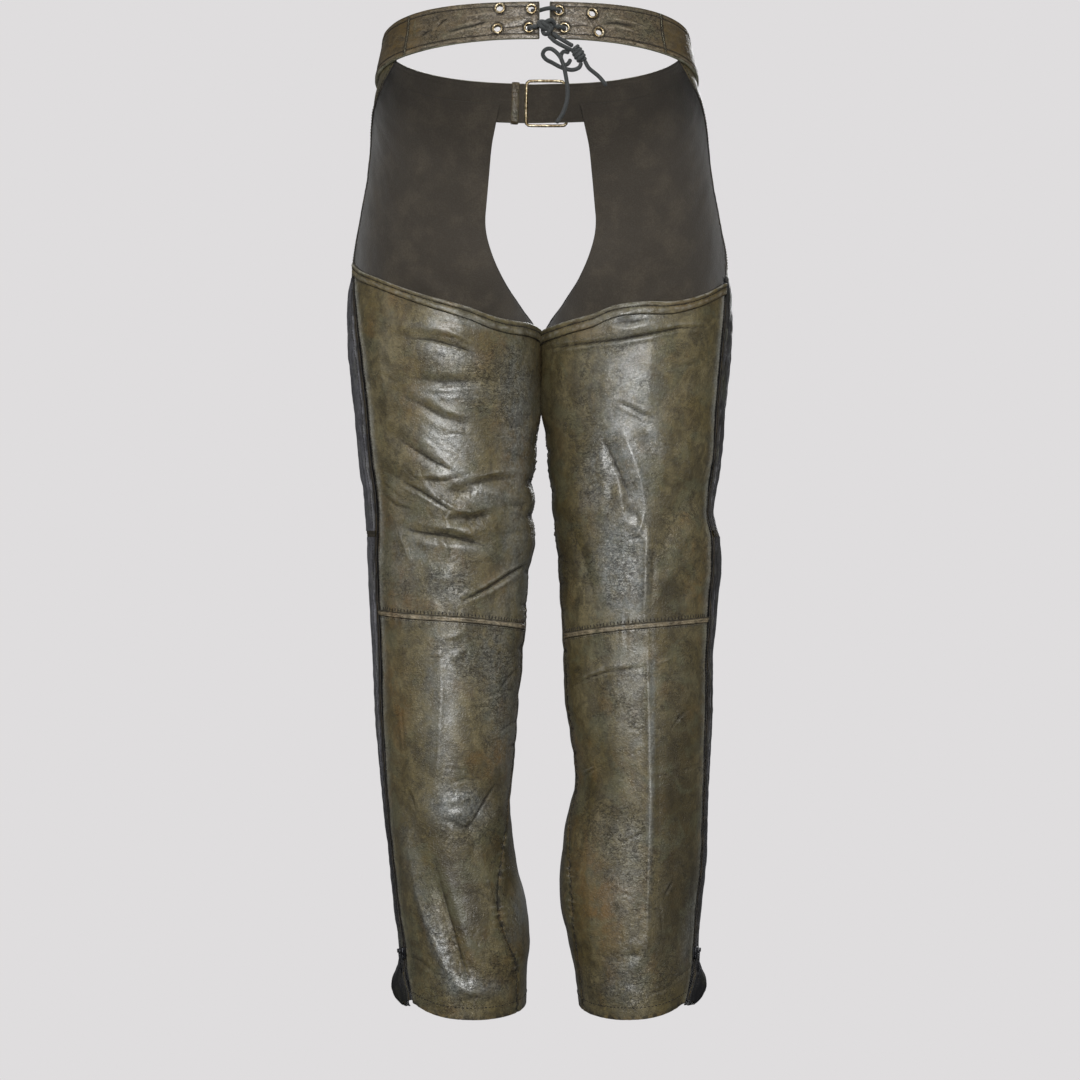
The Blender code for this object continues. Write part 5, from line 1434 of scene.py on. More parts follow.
@dataclass
class Sheet:
    """A sheet of leather: a grid of points with normals, from which a shell is made."""

    name: str
    points: Array
    normals: Array
    thickness: float
    marks: dict[str, Array] = field(default_factory=dict)

    def __post_init__(self) -> None:
        """Measure the sheet along its rows and columns."""
        across = np.linalg.norm(np.diff(self.points, axis=1), axis=-1)
        down = np.linalg.norm(np.diff(self.points, axis=0), axis=-1)
        self.across = np.concatenate(
            (np.zeros((len(across), 1)), np.cumsum(across, axis=1)), axis=1)
        self.down = np.concatenate((np.zeros((1, down.shape[1])), np.cumsum(down, axis=0)), axis=0)

    def from_edge(self, edge: Edge) -> Array:
        """Each point's distance from an edge of the sheet.

        Args:
            edge: the edge.

        Returns:
            A grid of distances.
        """
        if edge is Edge.START:
            return self.across
        if edge is Edge.END:
            return self.across[:, -1:] - self.across
        if edge is Edge.TOP:
            return self.down
        return self.down[-1:, :] - self.down

    def sampled(self, rows: Array, columns: Array) -> Pair:
        """Points and normals at rows and columns that may lie between the sheet's own.

        Args:
            rows: the rows, as a column of numbers.
            columns: the columns, as one row of numbers.

        Returns:
            The points and the normals.
        """
        row = np.clip(rows.astype(int), 0, self.points.shape[0] - 2)
        column = np.clip(columns.astype(int), 0, self.points.shape[1] - 2)
        down, over = (rows - row)[..., None], (columns - column)[..., None]
        values = []
        for grid in (self.points, self.normals):
            near = grid[row, column] * (1 - over) + grid[row, column + 1] * over
            far = grid[row + 1, column] * (1 - over) + grid[row + 1, column + 1] * over
            values.append(near * (1 - down) + far * down)
        return values[0], unit(values[1])

    def raised(self, heights: Array) -> "Sheet":
        """The sheet with its face moved out by a grid of heights."""
        return Sheet(self.name, self.points + self.normals * np.asarray(heights)[..., None],
                     self.normals, self.thickness, dict(self.marks))

    def line(self, edge: Edge, inset: float, lift: float = 0.0) -> Pair:
        """A line on the face, at a distance in from one edge.

        Args:
            edge: the edge to follow.
            inset: distance from it.
            lift: how far above the face the line runs.

        Returns:
            The line's points and their normals.
        """
        points, normals = self.points, self.normals
        lengths = self.from_edge(edge)
        if edge in (Edge.TOP, Edge.BOTTOM):
            points, normals = points.transpose(1, 0, 2), normals.transpose(1, 0, 2)
            lengths = lengths.T
        if edge in (Edge.END, Edge.BOTTOM):
            points, normals, lengths = points[:, ::-1], normals[:, ::-1], lengths[:, ::-1]
        after = np.clip((lengths < inset).sum(axis=1), 1, lengths.shape[1] - 1)
        rows = np.arange(len(lengths))
        start, end = lengths[rows, after - 1], lengths[rows, after]
        share = ((inset - start) / np.maximum(end - start, 1e-9))[:, None]
        place = points[rows, after - 1] * (1 - share) + points[rows, after] * share
        normal = unit(normals[rows, after - 1] * (1 - share) + normals[rows, after] * share)
        return place + normal * lift, normal

    def flat_size(self) -> Triple:
        """The sheet's greatest width and length and its area, laid flat.

        Returns:
            Its width, length and area.
        """
        a, b = self.points[:-1, :-1], self.points[:-1, 1:]
        c, d = self.points[1:, 1:], self.points[1:, :-1]
        area = 0.5 * (np.linalg.norm(np.cross(b - a, c - a), axis=-1)
                      + np.linalg.norm(np.cross(c - a, d - a), axis=-1)).sum()
        return float(self.across[:, -1].max()), float(self.down[-1].max()), float(area)

    def shell(self, face: Material, flesh: Material, rim: Material) -> Piece:
        """Make the closed wall: the face, its other side and a slightly rounded rim.

        Args:
            face: finish of the outer face.
            flesh: finish of the other face.
            rim: finish of the rim.

        Returns:
            The new piece.
        """
        rows, cols = self.points.shape[:2]
        count = rows * cols
        inner = self.points - self.normals * self.thickness
        number = np.arange(count).reshape(rows, cols)
        corners = (number[:-1, :-1], number[:-1, 1:], number[1:, 1:], number[1:, :-1])
        quads = np.stack([corner.ravel() for corner in corners], axis=-1)
        middle = (rows // 2, cols // 2)
        turn = np.cross(self.points[middle[0], middle[1] + 1] - self.points[middle],
                        self.points[middle[0] + 1, middle[1]] - self.points[middle])
        flip = np.dot(turn, self.normals[middle]) < 0
        if flip:
            quads = quads[:, ::-1]
        loop = np.concatenate(
            (number[0, :-1], number[:-1, -1], number[-1, :0:-1], number[:0:-1, 0]))
        flat = self.points.reshape(-1, 3)
        flat_inner = inner.reshape(-1, 3)
        following = np.roll(loop, -1)
        outward = np.cross(flat[following] - flat[np.roll(loop, 1)],
                           self.normals.reshape(-1, 3)[loop])
        if flip:
            outward = -outward
        rim_points = (flat[loop] + flat_inner[loop]) / 2 + unit(outward) * self.thickness * 0.22
        size = len(loop)
        middle_ring = 2 * count + np.arange(size)
        next_ring = np.roll(middle_ring, -1)
        rims = np.concatenate((
            np.stack((following, loop, middle_ring, next_ring), axis=-1),
            np.stack((next_ring, middle_ring, loop + count, following + count), axis=-1)))
        if flip:
            rims = rims[:, ::-1]
        faces = np.concatenate((quads, quads[:, ::-1] + count, rims))
        slots = np.concatenate((np.zeros(len(quads)), np.ones(len(quads)), np.full(len(rims), 2)))
        points = np.concatenate((flat, flat_inner, rim_points))
        piece = add_mesh(self.name, points, faces, (face, flesh, rim), slots)
        soften(piece)
        places = np.stack((self.across, self.down), axis=-1).reshape(-1, 2)
        set_uv(piece, np.concatenate((places, places, places[loop])))
        for name, values in self.marks.items():
            flat_values = np.asarray(values, float).ravel()
            set_marks(piece, {name: np.concatenate((flat_values, flat_values, flat_values[loop]))})
        return piece


def declare_sheet(sheet: Sheet) -> None:
    """Measure the size that a sheet was cut to; the size is not stated anywhere.

    Args:
        sheet: the sheet.
    """
    width, length, area = sheet.flat_size()
    length = max(length, LEAST_CUT)


# ------------------------------------------------------------------ rows of stitches and teeth
class TreeMaker(NodeMaker):
    """A Geometry Nodes tree under construction."""

    def __init__(self, name: str) -> None:
        """Start a tree with a geometry input and output.

        Args:
            name: the tree's name.
        """
        super().__init__(bpy.data.node_groups.new(name, "GeometryNodeTree"))
        for way in ("INPUT", "OUTPUT"):
            self.tree.interface.new_socket(name="Geometry", in_out=way,
                                           socket_type="NodeSocketGeometry")
        self.values: dict[str, float] = {}
        self.entry = self.tree.nodes.new("NodeGroupInput")
        self.exit = self.tree.nodes.new("NodeGroupOutput")

    def size(self, name: str, value: float) -> Socket:
        """Add a named size, and return its socket inside the tree.

        Args:
            name: the size's name.
            value: its value.

        Returns:
            Its socket in the tree.
        """
        socket = self.tree.interface.new_socket(name=name, in_out="INPUT",
                                                socket_type="NodeSocketFloat")
        socket.default_value = value
        self.values[socket.identifier] = value
        return self.entry.outputs[name]


@dataclass(frozen=True)
class RowOfPieces:
    """Small equal pieces set along lines: stitches, or the teeth of a zip."""

    name: str
    pitch: float
    length: float
    width: float
    height: float
    jitter: float = 0.0
    boxed: bool = False

    def tree(self, material: Material) -> TreeMaker:
        """Build the tree that sets the pieces along the lines.

        Args:
            material: the finish of each small piece.

        Returns:
            The maker, with the tree and its named sizes.
        """
        maker = TreeMaker(self.name + "_tree")
        pitch = maker.size("Pitch", self.pitch)
        length = maker.size("Length", self.length)
        width = maker.size("Width", self.width)
        height = maker.size("Height", self.height)
        jitter = maker.size("Jitter", self.jitter)
        curve = maker.first("GeometryNodeMeshToCurve", {"Mesh": maker.entry.outputs["Geometry"]})
        even = maker.first("GeometryNodeResampleCurve", {"Curve": curve, "Length": pitch},
                           mode="LENGTH")
        outwards = maker.first("GeometryNodeInputNamedAttribute", {"Name": "out"},
                               data_type="FLOAT_VECTOR")
        tangent = maker.first("GeometryNodeInputTangent")
        upright = maker.first("FunctionNodeAlignRotationToVector", {"Vector": outwards}, axis="Z")
        along = maker.first("FunctionNodeAlignRotationToVector",
                            {"Rotation": upright, "Vector": tangent}, axis="X", pivot_axis="Z")
        wobble = maker.node("FunctionNodeRandomValue",
                            {2: -1.0, 3: 1.0, "Seed": 7}, data_type="FLOAT").outputs[1]
        angle = maker.first("ShaderNodeMath", {0: wobble, 1: jitter}, operation="MULTIPLY")
        axis = maker.first("FunctionNodeAxisAngleToRotation",
                           {"Axis": (0.0, 0.0, 1.0), "Angle": angle})
        turned = maker.first("FunctionNodeRotateRotation", {"Rotation": along, "Rotate By": axis},
                             rotation_space="LOCAL")
        if self.boxed:
            shape = maker.first("GeometryNodeMeshCube", {"Size": (1.0, 1.0, 1.0)})
        else:
            shape = maker.first("GeometryNodeMeshUVSphere",
                                {"Segments": 5, "Rings": 3, "Radius": 0.5})
        sizes = maker.first("ShaderNodeCombineXYZ", {0: length, 1: width, 2: height})
        scaled = maker.first("GeometryNodeTransform", {"Geometry": shape, "Scale": sizes})
        copies = maker.first("GeometryNodeInstanceOnPoints",
                             {"Points": even, "Instance": scaled, "Rotation": turned})
        real = maker.first("GeometryNodeRealizeInstances", {"Geometry": copies})
        dressed = maker.first("GeometryNodeSetMaterial", {"Geometry": real, "Material": material})
        maker.tree.links.new(dressed, maker.exit.inputs[0])
        return maker

    def along(self, lines: Sequence[Pair], material: Material) -> Piece:
        """Set the pieces along lines of points with normals, as one plain mesh.

        Args:
            lines: the lines.
            material: its finish.

        Returns:
            The new object.
        """
        mesh = bpy.data.meshes.new(self.name)
        points = np.concatenate([line[0] for line in lines])
        normals = np.concatenate([line[1] for line in lines])
        edges, start = [], 0
        for line, _ in lines:
            edges += [(start + i, start + i + 1) for i in range(len(line) - 1)]
            start += len(line)
        mesh.from_pydata(points.tolist(), edges, [])
        attribute = mesh.attributes.new("out", "FLOAT_VECTOR", "POINT")
        attribute.data.foreach_set("vector", normals.astype(np.float32).ravel())
        piece = shown(self.name, mesh)
        modifier = piece.modifiers.new("pieces", "NODES")
        maker = self.tree(material)
        modifier.node_group = maker.tree
        for identifier, value in maker.values.items():
            modifier[identifier] = value
        baked(piece)
        if "out" in piece.data.attributes:
            piece.data.attributes.remove(piece.data.attributes["out"])
        if not self.boxed:
            piece.data.shade_smooth()
        return piece


def trimmed(line: Pair, start: float, end: float) -> Pair:
    """A line without a length at its start and at its end.

    Args:
        line: its points and normals.
        start: length to leave out at its start.
        end: length to leave out at its end.

    Returns:
        The shorter line.
    """
    points, normals = line
    lengths = lengths_along(points)
    keep = (lengths >= start) & (lengths <= lengths[-1] - end)
    return points[keep], normals[keep]


# ------------------------------------------------------------------ sewing

class Thread(Enum):
    """The kinds of stitch that the garment is sewn with."""

    RUNNING = "running"
    OVERCAST = "overcast"
    FINE = "fine"


STITCHES = {
    Thread.RUNNING: RowOfPieces("running_stitches", 0.0038, 0.0029, 0.0011, 0.0010, 0.10),
    Thread.OVERCAST: RowOfPieces("overcast_stitches", 0.0036, 0.0012, 0.0042, 0.0012, 0.22),
    Thread.FINE: RowOfPieces("fine_stitches", 0.0029, 0.0021, 0.0007, 0.0008, 0.12),
}


class Sewing:
    """Every line of stitches, gathered while the pieces are made and set at the end."""

    def __init__(self) -> None:
        """Start with no lines."""
        self.lines: dict[Thread, list[Pair]] = {thread: [] for thread in Thread}

    def add(self, thread: Thread, line: Pair, start: float = 0.004, end: float = 0.004) -> None:
        """Keep a line, less a length at its start and its end.

        Args:
            thread: the kind of stitch.
            line: its points and normals.
            start: bare length at its start.
            end: bare length at its end.
        """
        short = trimmed(line, start, end)
        if len(short[0]) > 2:
            self.lines[thread].append(short)

    def build(self, wardrobe: Wardrobe) -> None:
        """Set every stitch.

        Args:
            wardrobe: the finishes.
        """
        for thread, lines in self.lines.items():
            piece = STITCHES[thread].along(lines, wardrobe.thread)
            finish_piece(piece, ())


def finish_piece(piece: Piece, nodes: Sequence[str], body: str = GARMENT) -> None:
    """Say what a piece rides on and stands for, and log its number of faces.

    Args:
        piece: the finished piece.
        nodes: the solids that it stands for.
        body: the body that it moves with.
    """
    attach(piece, body)
    if nodes:
        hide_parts(*nodes)
    LOG.info("%s: %d faces", piece.name, len(piece.data.polygons))


# ------------------------------------------------------------------ the leather of the legs
@dataclass
class Leg:
    """One leg: four panels, the top band, both knee welts, the side strips and the tapes."""

    side: Side
    wardrobe: Wardrobe
    sewing: Sewing
    back_cell: float = 0.0020
    front_cell: float = 0.0034
    back_columns: int = 152
    front_columns: int = 80
    strip_columns: int = 12
    tape_width: float = 0.012
    tape_edge: float = 0.0015
    tape_thickness: float = 0.001
    tape_end_z: float = -0.962
    teeth_end_z: float = -0.950
    band_stitch: float = 5.0
    welt_thickness: float = 0.0008
    welt_sink: float = 0.0016
    strip_lift: float = 0.0006
    corner_z: float = -0.940
    corner_turn: float = 3.0
    thigh_press: float = 2.5
    press_z: float = -0.395
    press_fade: float = 0.025
    rumple: float = 0.55
    # Two nets of fine creases: the way they wander, their width and height, their depth, and
    # how much deeper they are where a panel is crinkled.
    nets: tuple[tuple[float, ...], ...] = (
        (1, 16.0, 7.0, 0.08, 0.42), (-1, 7.5, 5.5, 0.05, 0.26))
    fine_reach: float = 3.6
    broad_reach: float = 11.0
    roll_inset: float = 5.0
    roll_shine: Profile = Profile((-0.98, -0.7, -0.5, -0.3), (0.3, 0.5, 0.7, 1.0))

    def grid(self, name: str, edges: tuple[Callable, Callable], top: Callable, bottom: Callable,
             cell: float, count: int, flared: bool) -> tuple[Sheet, Array]:
        """A panel's plain face: the form between two edges and two heights.

        Args:
            name: the piece's name.
            edges: the angle of its first and last column at a height.
            top: height of its top edge at a share of its width.
            bottom: height of its bottom edge.
            cell: size of a grid cell down the panel.
            count: number of columns.
            flared: whether its loose corner stands out at the hem.

        Returns:
            The face and its angles.
        """
        u = np.linspace(0.0, 1.0, count + 1)[None, :]
        length = float(np.max(top(u) - bottom(u)))
        v = np.linspace(0.0, 1.0, round(length / cell) + 1)[:, None]
        z = top(u) + (bottom(u) - top(u)) * v
        angle = edges[0](z) + (edges[1](z) - edges[0](z)) * u
        points = FORM.point(self.side, angle, z)
        normals = FORM.normal(self.side, angle, z)
        if flared:
            points = points + normals * FORM.flare(self.side, angle, z)[..., None]
        return Sheet(name, points, normals, LEATHER.panel), angle

    def worked(self, sheet: Sheet, angle: Array, face: Face, seed: int,
               seams: dict[Edge, tuple[float, float]]) -> Sheet:
        """Raise and sink a panel's face, and mark where it is worn and where painted sheen,
        highlight and shade go.

        Args:
            sheet: the plain panel.
            angle: the angle round the leg of each of its points.
            face: its half of the leg.
            seed: start of its own noise.
            seams: for each sewn edge, the height of its puckers and the depth of its groove.

        Returns:
            The panel with its creases and marks.
        """
        x, y = CHART.read(sheet.points, face)
        lean = np.sin(np.radians(angle))
        lean = lean if face is Face.BACK else -lean
        height = creased(CREASE_ROWS[(self.side, face)], x, y) * np.clip(lean * 2.2, 0.0, 1.0)
        across, down = sheet.across * TO_MM, sheet.down * TO_MM
        grain = Grain(seed)
        crinkle = total(CRINKLE[face], x, y)
        height += self.rumple * grain.layered(across / 34.0, down / 26.0, 2)
        wander = grain(across / 15.0 + 40.0, down / 15.0) * 6.0
        for sign, wide, high, base, more in self.nets:
            web = np.abs(grain((across + sign * wander) / wide + 60, (down + sign * wander) / high))
            height -= (base + more * crinkle) * (1.0 - np.clip(web / 0.17, 0, 1)) ** 1.5
        seam, z = np.zeros(x.shape), sheet.points[..., 2]
        shared = Grain(90 + int(self.side.value))
        for edge, (pucker, groove) in seams.items():
            away = sheet.from_edge(edge) * TO_MM
            run = z * TO_MM if edge in (Edge.START, Edge.END) else x
            phase = run / 1.25 + 2.6 * shared(run / 9.0, run * 0.0 + 3.3)
            size = 0.55 + 0.9 * shared(run / 26.0, run * 0.0 + 5.7)
            if edge is Edge.END:
                size = size * smooth((SIZES.crotch_z - z) / 0.02)
            reach = 6.0 + 4.0 * shared(run / 9.0, run * 0.0 + 8.8)
            height += (pucker * size * (0.5 * np.sin(phase) - 0.1)
                       * np.exp(-away / np.maximum(reach, 3.0)))
            height -= groove * bell(away, 0.0, 1.6)
            seam = np.maximum(seam, np.exp(-away / 6.0))
        inner = np.exp(-(((180.0 - np.abs(angle)) / 20.0) ** 2))
        height += self.thigh_press * inner * smooth((z - self.press_z) / self.press_fade)
        inner = np.exp(-((np.maximum(170.0 - np.abs(angle), 0.0) / 14.0) ** 2))
        bites = sum(bite * inner * np.exp(-(np.abs((y - middle) / half_width) ** 1.5))
                    for middle, bite, half_width in BITE_ROWS[self.side])
        height += bites
        if face is Face.BACK:
            start = sheet.from_edge(Edge.START) * TO_MM
            height += 1.1 * bell(start, self.roll_inset, 3.4) - 0.5 * bell(start, 0.0, 1.4)
        result = sheet.raised(height * MM)
        cell = float(np.median(np.diff(sheet.down[:, 0]))) * TO_MM
        sharp = height - blurred(height, self.fine_reach / cell)
        broad = height - blurred(height, self.broad_reach / cell)
        # The relief colours the leather: ridges are paler, rubbed and with painted highlight, and
        # hollows and the notches where folds bite in are darker as painted shade.
        relief = sharp * 1.7 + broad * 0.34 + 0.5 * np.minimum(bites, 0.0)
        result.marks = wear_marks(x, y, face, relief / (1.0 + 0.65 * np.abs(relief)), seam)
        if face is Face.BACK:
            # Painted highlight along the back panel's rolled edge beside the zip, stronger towards
            # the top.
            rolled = bell(start, 5.5, 5.0) * self.roll_shine(z)
            result.marks["polish"] = np.clip(result.marks["polish"] + 0.9 * rolled, 0.0, 1.0)
            result.marks["relief"] = np.clip(result.marks["relief"] + 0.35 * rolled, -1.0, 1.0)
        return result

    def overlaid(self, name: str, base: Sequence[tuple[Sheet, Edge, float]],
                 lifts: Sequence[float], tones: Sequence[float], thickness: float, face: Face,
                 lumps: float = 0.15) -> Sheet:
        """A narrow sheet that runs along an edge of one sheet, or over the seam of two.

        Args:
            name: the piece's name.
            base: for each of its rows, the sheet, its edge and the distance in from it.
            lifts: height of each row over the sheet below it, in millimetres.
            tones: how pale (above 0: rubbed, with painted highlight) or dark (below 0: painted
                shade) each row is.
            thickness: of the new sheet.
            face: the half of the leg it lies on.
            lumps: how uneven it is.

        Returns:
            The new sheet, with its marks.
        """
        lines = [sheet.line(edge, inset * MM) for sheet, edge, inset in base]
        points = np.stack([line[0] for line in lines])
        normals = np.stack([line[1] for line in lines])
        rise = np.repeat(np.asarray(lifts, float)[:, None], points.shape[1], axis=1)
        plain = Sheet(name, points, normals, thickness)
        run, row = plain.across * TO_MM, np.arange(len(lifts))[:, None] * 0.35
        noise = Grain(len(name) + ord(name[-1])).layered(run / 7.0, row + 0.0 * run, 2)
        low = float(min(lifts))
        rise = low + (rise - low) * (1.0 + lumps * 2.0 * noise)
        result = plain.raised(rise * MM)
        x, y = CHART.read(points, face)
        relief = np.asarray(tones, float)[:, None] + 0.5 * noise
        result.marks = wear_marks(x, y, face, relief, np.full(x.shape, 0.35))
        return result

    def build(self) -> None:
        """Build the whole leg."""
        side, word = self.side, self.side.word
        seed = 11 if side is Side.LEFT else 31
        half = LEATHER.gap / 2
        knee = FORM.knees[side]
        back_edges = (lambda z: FORM.back_edge(side, z),
                      lambda z: FORM.inseams[side](z) - FORM.arc_angle(side, z, half))
        front_edges = (lambda z: FORM.front_edge_angle(side, z),
                       lambda z: FORM.front_inner(side, z))
        first, last = float(FORM.seat_edge(0.0)), float(FORM.front_edge(0.0))

        def front_top(u: Array) -> Array:
            """The front panels end behind the middle of the belt."""
            angle = first + (last - first) * u
            return FORM.belt_middle(FORM.point(side, angle, 0.0 * angle)[..., 1]) - 0.002

        def hem(u: Array) -> Array:
            """The front hem; the loose corner beside the zip is rounded."""
            return SIZES.hem_z + 0.013 * (1.0 - smooth(u / 0.13)) ** 2

        def corner(z: Array) -> Array:
            """How far, in degrees, the back panel's corner beside the zip is rounded off."""
            low = np.clip((self.corner_z - z) / (self.corner_z - SIZES.hem_z), 0.0, 1.0)
            return self.corner_turn * (1.0 - np.sqrt(1.0 - 0.98 * low**2))

        calf_edges = (lambda z: FORM.back_edge(side, z) + corner(z), back_edges[1])
        # Each panel: its edges, top and bottom, and the puckers and grooves at its edges.
        sewn = (2.4, 0.8)
        panels = (
            ("back_thigh", back_edges, FORM.tops[side], lambda u: knee(u) + half,
             {Edge.BOTTOM: (1.2, 0.8), Edge.END: sewn, Edge.START: (0.4, 0.0),
              Edge.TOP: (0.3, 0.2)}),
            ("back_calf", calf_edges, lambda u: knee(u) - half,
             lambda u: SIZES.hem_z + 0.012 * np.exp(-((u / 0.26) ** 1.3)),
             {Edge.TOP: (1.2, 1.4), Edge.END: sewn, Edge.START: (0.4, 0.0),
              Edge.BOTTOM: (0.6, 0.0)}),
            ("front_thigh", front_edges, front_top, lambda u: SIZES.front_knee_z + half + 0.0 * u,
             {Edge.BOTTOM: (0.9, 0.5), Edge.START: (0.2, 0.1), Edge.END: sewn}),
            ("front_shin", front_edges, lambda u: SIZES.front_knee_z - half + 0.0 * u, hem,
             {Edge.TOP: (0.9, 0.5), Edge.START: (0.2, 0.1), Edge.END: sewn,
              Edge.BOTTOM: (0.6, 0.0)}),
        )
        sheets = []
        for index, (node, edges, top, bottom, seams) in enumerate(panels):
            face, cell, columns = ((Face.BACK, self.back_cell, self.back_columns) if index < 2
                                   else (Face.FRONT, self.front_cell, self.front_columns))
            plain = self.grid(f"{node}_{word}_leather", edges, top, bottom, cell, columns,
                              face is Face.FRONT)
            sheets.append(self.worked(*plain, face, seed + index, seams))
            self.finish(sheets[-1], f"{node}_{word}", self.wardrobe.panel)
        thigh, calf, front, shin = sheets
        self.add_band(thigh)
        self.add_welt(f"back_knee_welt_{word}", thigh, calf, Face.BACK)
        self.add_welt(f"front_knee_welt_{word}", front, shin, Face.FRONT)
        self.add_strips(front, shin)
        self.add_tape("front", front, shin)
        self.add_tape("back", thigh, calf)
        self.add_teeth(calf, shin)
        self.sew(thigh, calf, front, shin)

    def finish(self, sheet: Sheet, node: str, face: Material) -> None:
        """Args:
            sheet: the sheet.
            node: the solid that it stands for.
            face: finish of its outer face.
        """
        piece = sheet.shell(face, self.wardrobe.flesh, self.wardrobe.edge)
        finish_piece(piece, (node,))
        declare_sheet(sheet)

    def add_band(self, thigh: Sheet) -> None:
        """The turned band along the back thigh's top edge.

        Args:
            thigh: the back thigh panel.
        """
        insets = (0.0, 0.8, 1.8, 3.0, 4.2, 5.0, 5.8, 7.0, 8.5, 10.0, 11.5, 12.6, 13.2)
        puff = (0.0, 0.7, 0.95, 0.8, 0.45, 0.1, 0.45, 0.8, 0.95, 0.95, 0.8, 0.45, 0.0)
        # Paler rows on the rolled edges as painted highlight, darker rows in the stitch groove and
        # under the band's lower edge as painted shade.
        tones = (0.9, 1.0, 0.5, 0.0, -0.5, -1.0, -0.3, 0.35, 0.6, 0.5, 0.25, -0.4, -1.0)
        lift = (LEATHER.gap + LEATHER.strip) * TO_MM
        band = self.overlaid(f"top_band_{self.side.word}_leather",
                             [(thigh, Edge.TOP, inset) for inset in insets],
                             [lift + rise for rise in puff], tones, LEATHER.strip, Face.BACK)
        self.finish(band, f"top_band_{self.side.word}", self.wardrobe.panel)
        self.sewing.add(Thread.RUNNING, thigh.line(Edge.TOP, self.band_stitch * MM, 0.0019),
                        0.004, 0.03)

    def add_welt(self, node: str, upper: Sheet, lower: Sheet, face: Face) -> None:
        """The raised welt over a knee seam.

        Args:
            node: the solid that it stands for.
            upper: the panel above the seam.
            lower: the panel below it.
            face: its half of the leg.
        """
        insets = (3.0, 2.5, 1.8, 1.0, 0.2)
        lifts = (0.4, 1.3, 1.9, 2.3, 2.5)
        # Darker rows at both sides as painted shade beside the raised welt, paler rows on its
        # rubbed crown with painted highlight.
        tones = (-1.0, -0.9, -0.2, 0.7, 0.9, 0.8, 0.5, -0.1, -0.9, -1.0)
        base = [(upper, Edge.BOTTOM, inset) for inset in insets]
        base += [(lower, Edge.TOP, inset) for inset in insets[::-1]]
        welt = self.overlaid(node + "_leather", base, lifts + lifts[::-1], tones,
                             self.welt_thickness, face, 0.1)
        count = welt.points.shape[1]
        if face is Face.FRONT:
            flat = np.array((2.2, 1.4, 0.9, 0.5, 0.3)) * MM
            over = (np.arange(count) <= self.strip_columns)[None, :]
            welt = welt.raised(np.concatenate((flat, flat[::-1]))[:, None] * over)
            welt.marks["relief"] = np.where(over, -1.0, welt.marks["relief"])
        ease = smooth((count - 1 - np.arange(count)) / 8.0)[None, :]
        welt = welt.raised(-self.welt_sink * (1.0 - ease) * np.ones((len(base), 1)))
        self.finish(welt, node, self.wardrobe.welt)

    def add_strips(self, front: Sheet, shin: Sheet) -> None:
        """The dark side strips along the front panels' zip edges.

        Args:
            front: the front thigh panel.
            shin: the panel below it.
        """
        inset = SIZES.welt_half_width + 0.0001
        cells = np.linspace(0.0, self.strip_columns, 23)[None, :]
        for name, panel in (("upper", front), ("lower", shin)):
            rows, last = np.arange(len(panel.points)), len(panel.points) - 1
            if panel is front:
                first = np.interp(-SIZES.zip_top_z, -panel.points[:, 0, 2], rows)
                last = np.interp(-inset, -panel.from_edge(Edge.BOTTOM)[:, 0], rows)
            else:
                first = np.interp(inset, panel.from_edge(Edge.TOP)[:, 0], rows)
            rows = np.linspace(first, last, round((last - first) * 1.2))[:, None]
            points, normals = panel.sampled(rows, cells)
            node = f"side_strip_{name}_{self.side.word}"
            strip = Sheet(node + "_leather", points, normals, LEATHER.strip)
            near = np.minimum(strip.across, strip.across[:, -1:] - strip.across) * TO_MM
            run = strip.down * TO_MM
            grain = Grain(5 + len(name))
            rise = 1.0 * smooth(near / 2.2) - 0.8 * bell(near, 3.2, 0.9)
            over = strip.across * TO_MM
            rise += 1.1 * grain(over / 3.5, run / 80.0) * smooth(near / 2.0)
            rise += 0.5 * grain(over / 9.0 + 9.0, run / 9.0) * smooth(near / 2.0)
            if panel is front:
                rise *= smooth((run + 1.0) / 12.0)
            lift = LEATHER.gap + LEATHER.strip + 0.0003
            if panel is front:
                lift = self.strip_lift + (lift - self.strip_lift) * smooth(run / 25.0)
            strip = strip.raised(rise * MM + lift)
            x, y = CHART.read(points, Face.FRONT)
            low = smooth((-0.918 - points[..., 2]) / 0.03)
            # The strip's colour follows its relief: the raised middle is paler as painted highlight
            # and the sunk edges darker as painted shade; it is darker towards the hem.
            relief = (rise - 0.75) * (0.9 - 0.4 * low) - 0.95 * low
            strip.marks = wear_marks(x, y, Face.FRONT, relief, np.exp(-near / 1.2))
            # The left strip is paler on the thigh, with painted sheen, and darker below; the right
            # strip is browner and darker all along.
            calf = smooth((-0.60 - points[..., 2]) / 0.20)
            left = self.side is Side.LEFT
            strip.marks["brown"] = ((0.1 - 0.8 * calf) if left else 1.1) - 1.8 * low
            strip.marks["polish"] = (0.55 if left else 0.0) * (1.0 - calf)
            self.finish(strip, node, self.wardrobe.strip)
            for edge in (Edge.START, Edge.END):
                self.sewing.add(Thread.FINE, strip.line(edge, 0.0032, 0.0002), 0.003, 0.003)

    def add_tape(self, half: str, upper: Sheet, lower: Sheet) -> None:
        """One tape of the side zip, inside the leg.

        Args:
            half: front or back.
            upper: the panel above the knee.
            lower: the panel below it.
        """
        depth = LEATHER.panel + 2 * LEATHER.gap + 0.0002
        rows, directions = [], []
        for inset in (-self.tape_edge, 0.002, 0.006, self.tape_width - self.tape_edge):
            line = [sheet.line(Edge.START, inset, -depth) for sheet in (upper, lower)]
            points, normals = (np.concatenate(part) for part in zip(*line))
            edge_z = np.concatenate([sheet.points[:, 0, 2] for sheet in (upper, lower)])
            keep = (edge_z <= SIZES.zip_top_z) & (edge_z >= self.tape_end_z)
            rows.append(points[keep])
            directions.append(normals[keep])
        tape = Sheet(f"zip_tape_{half}_{self.side.word}_cloth", np.stack(rows, axis=1),
                     np.stack(directions, axis=1), self.tape_thickness)
        piece = tape.shell(self.wardrobe.tape, self.wardrobe.tape, self.wardrobe.tape)
        finish_piece(piece, (f"zip_tape_{half}_{self.side.word}",))
        declare_sheet(tape)

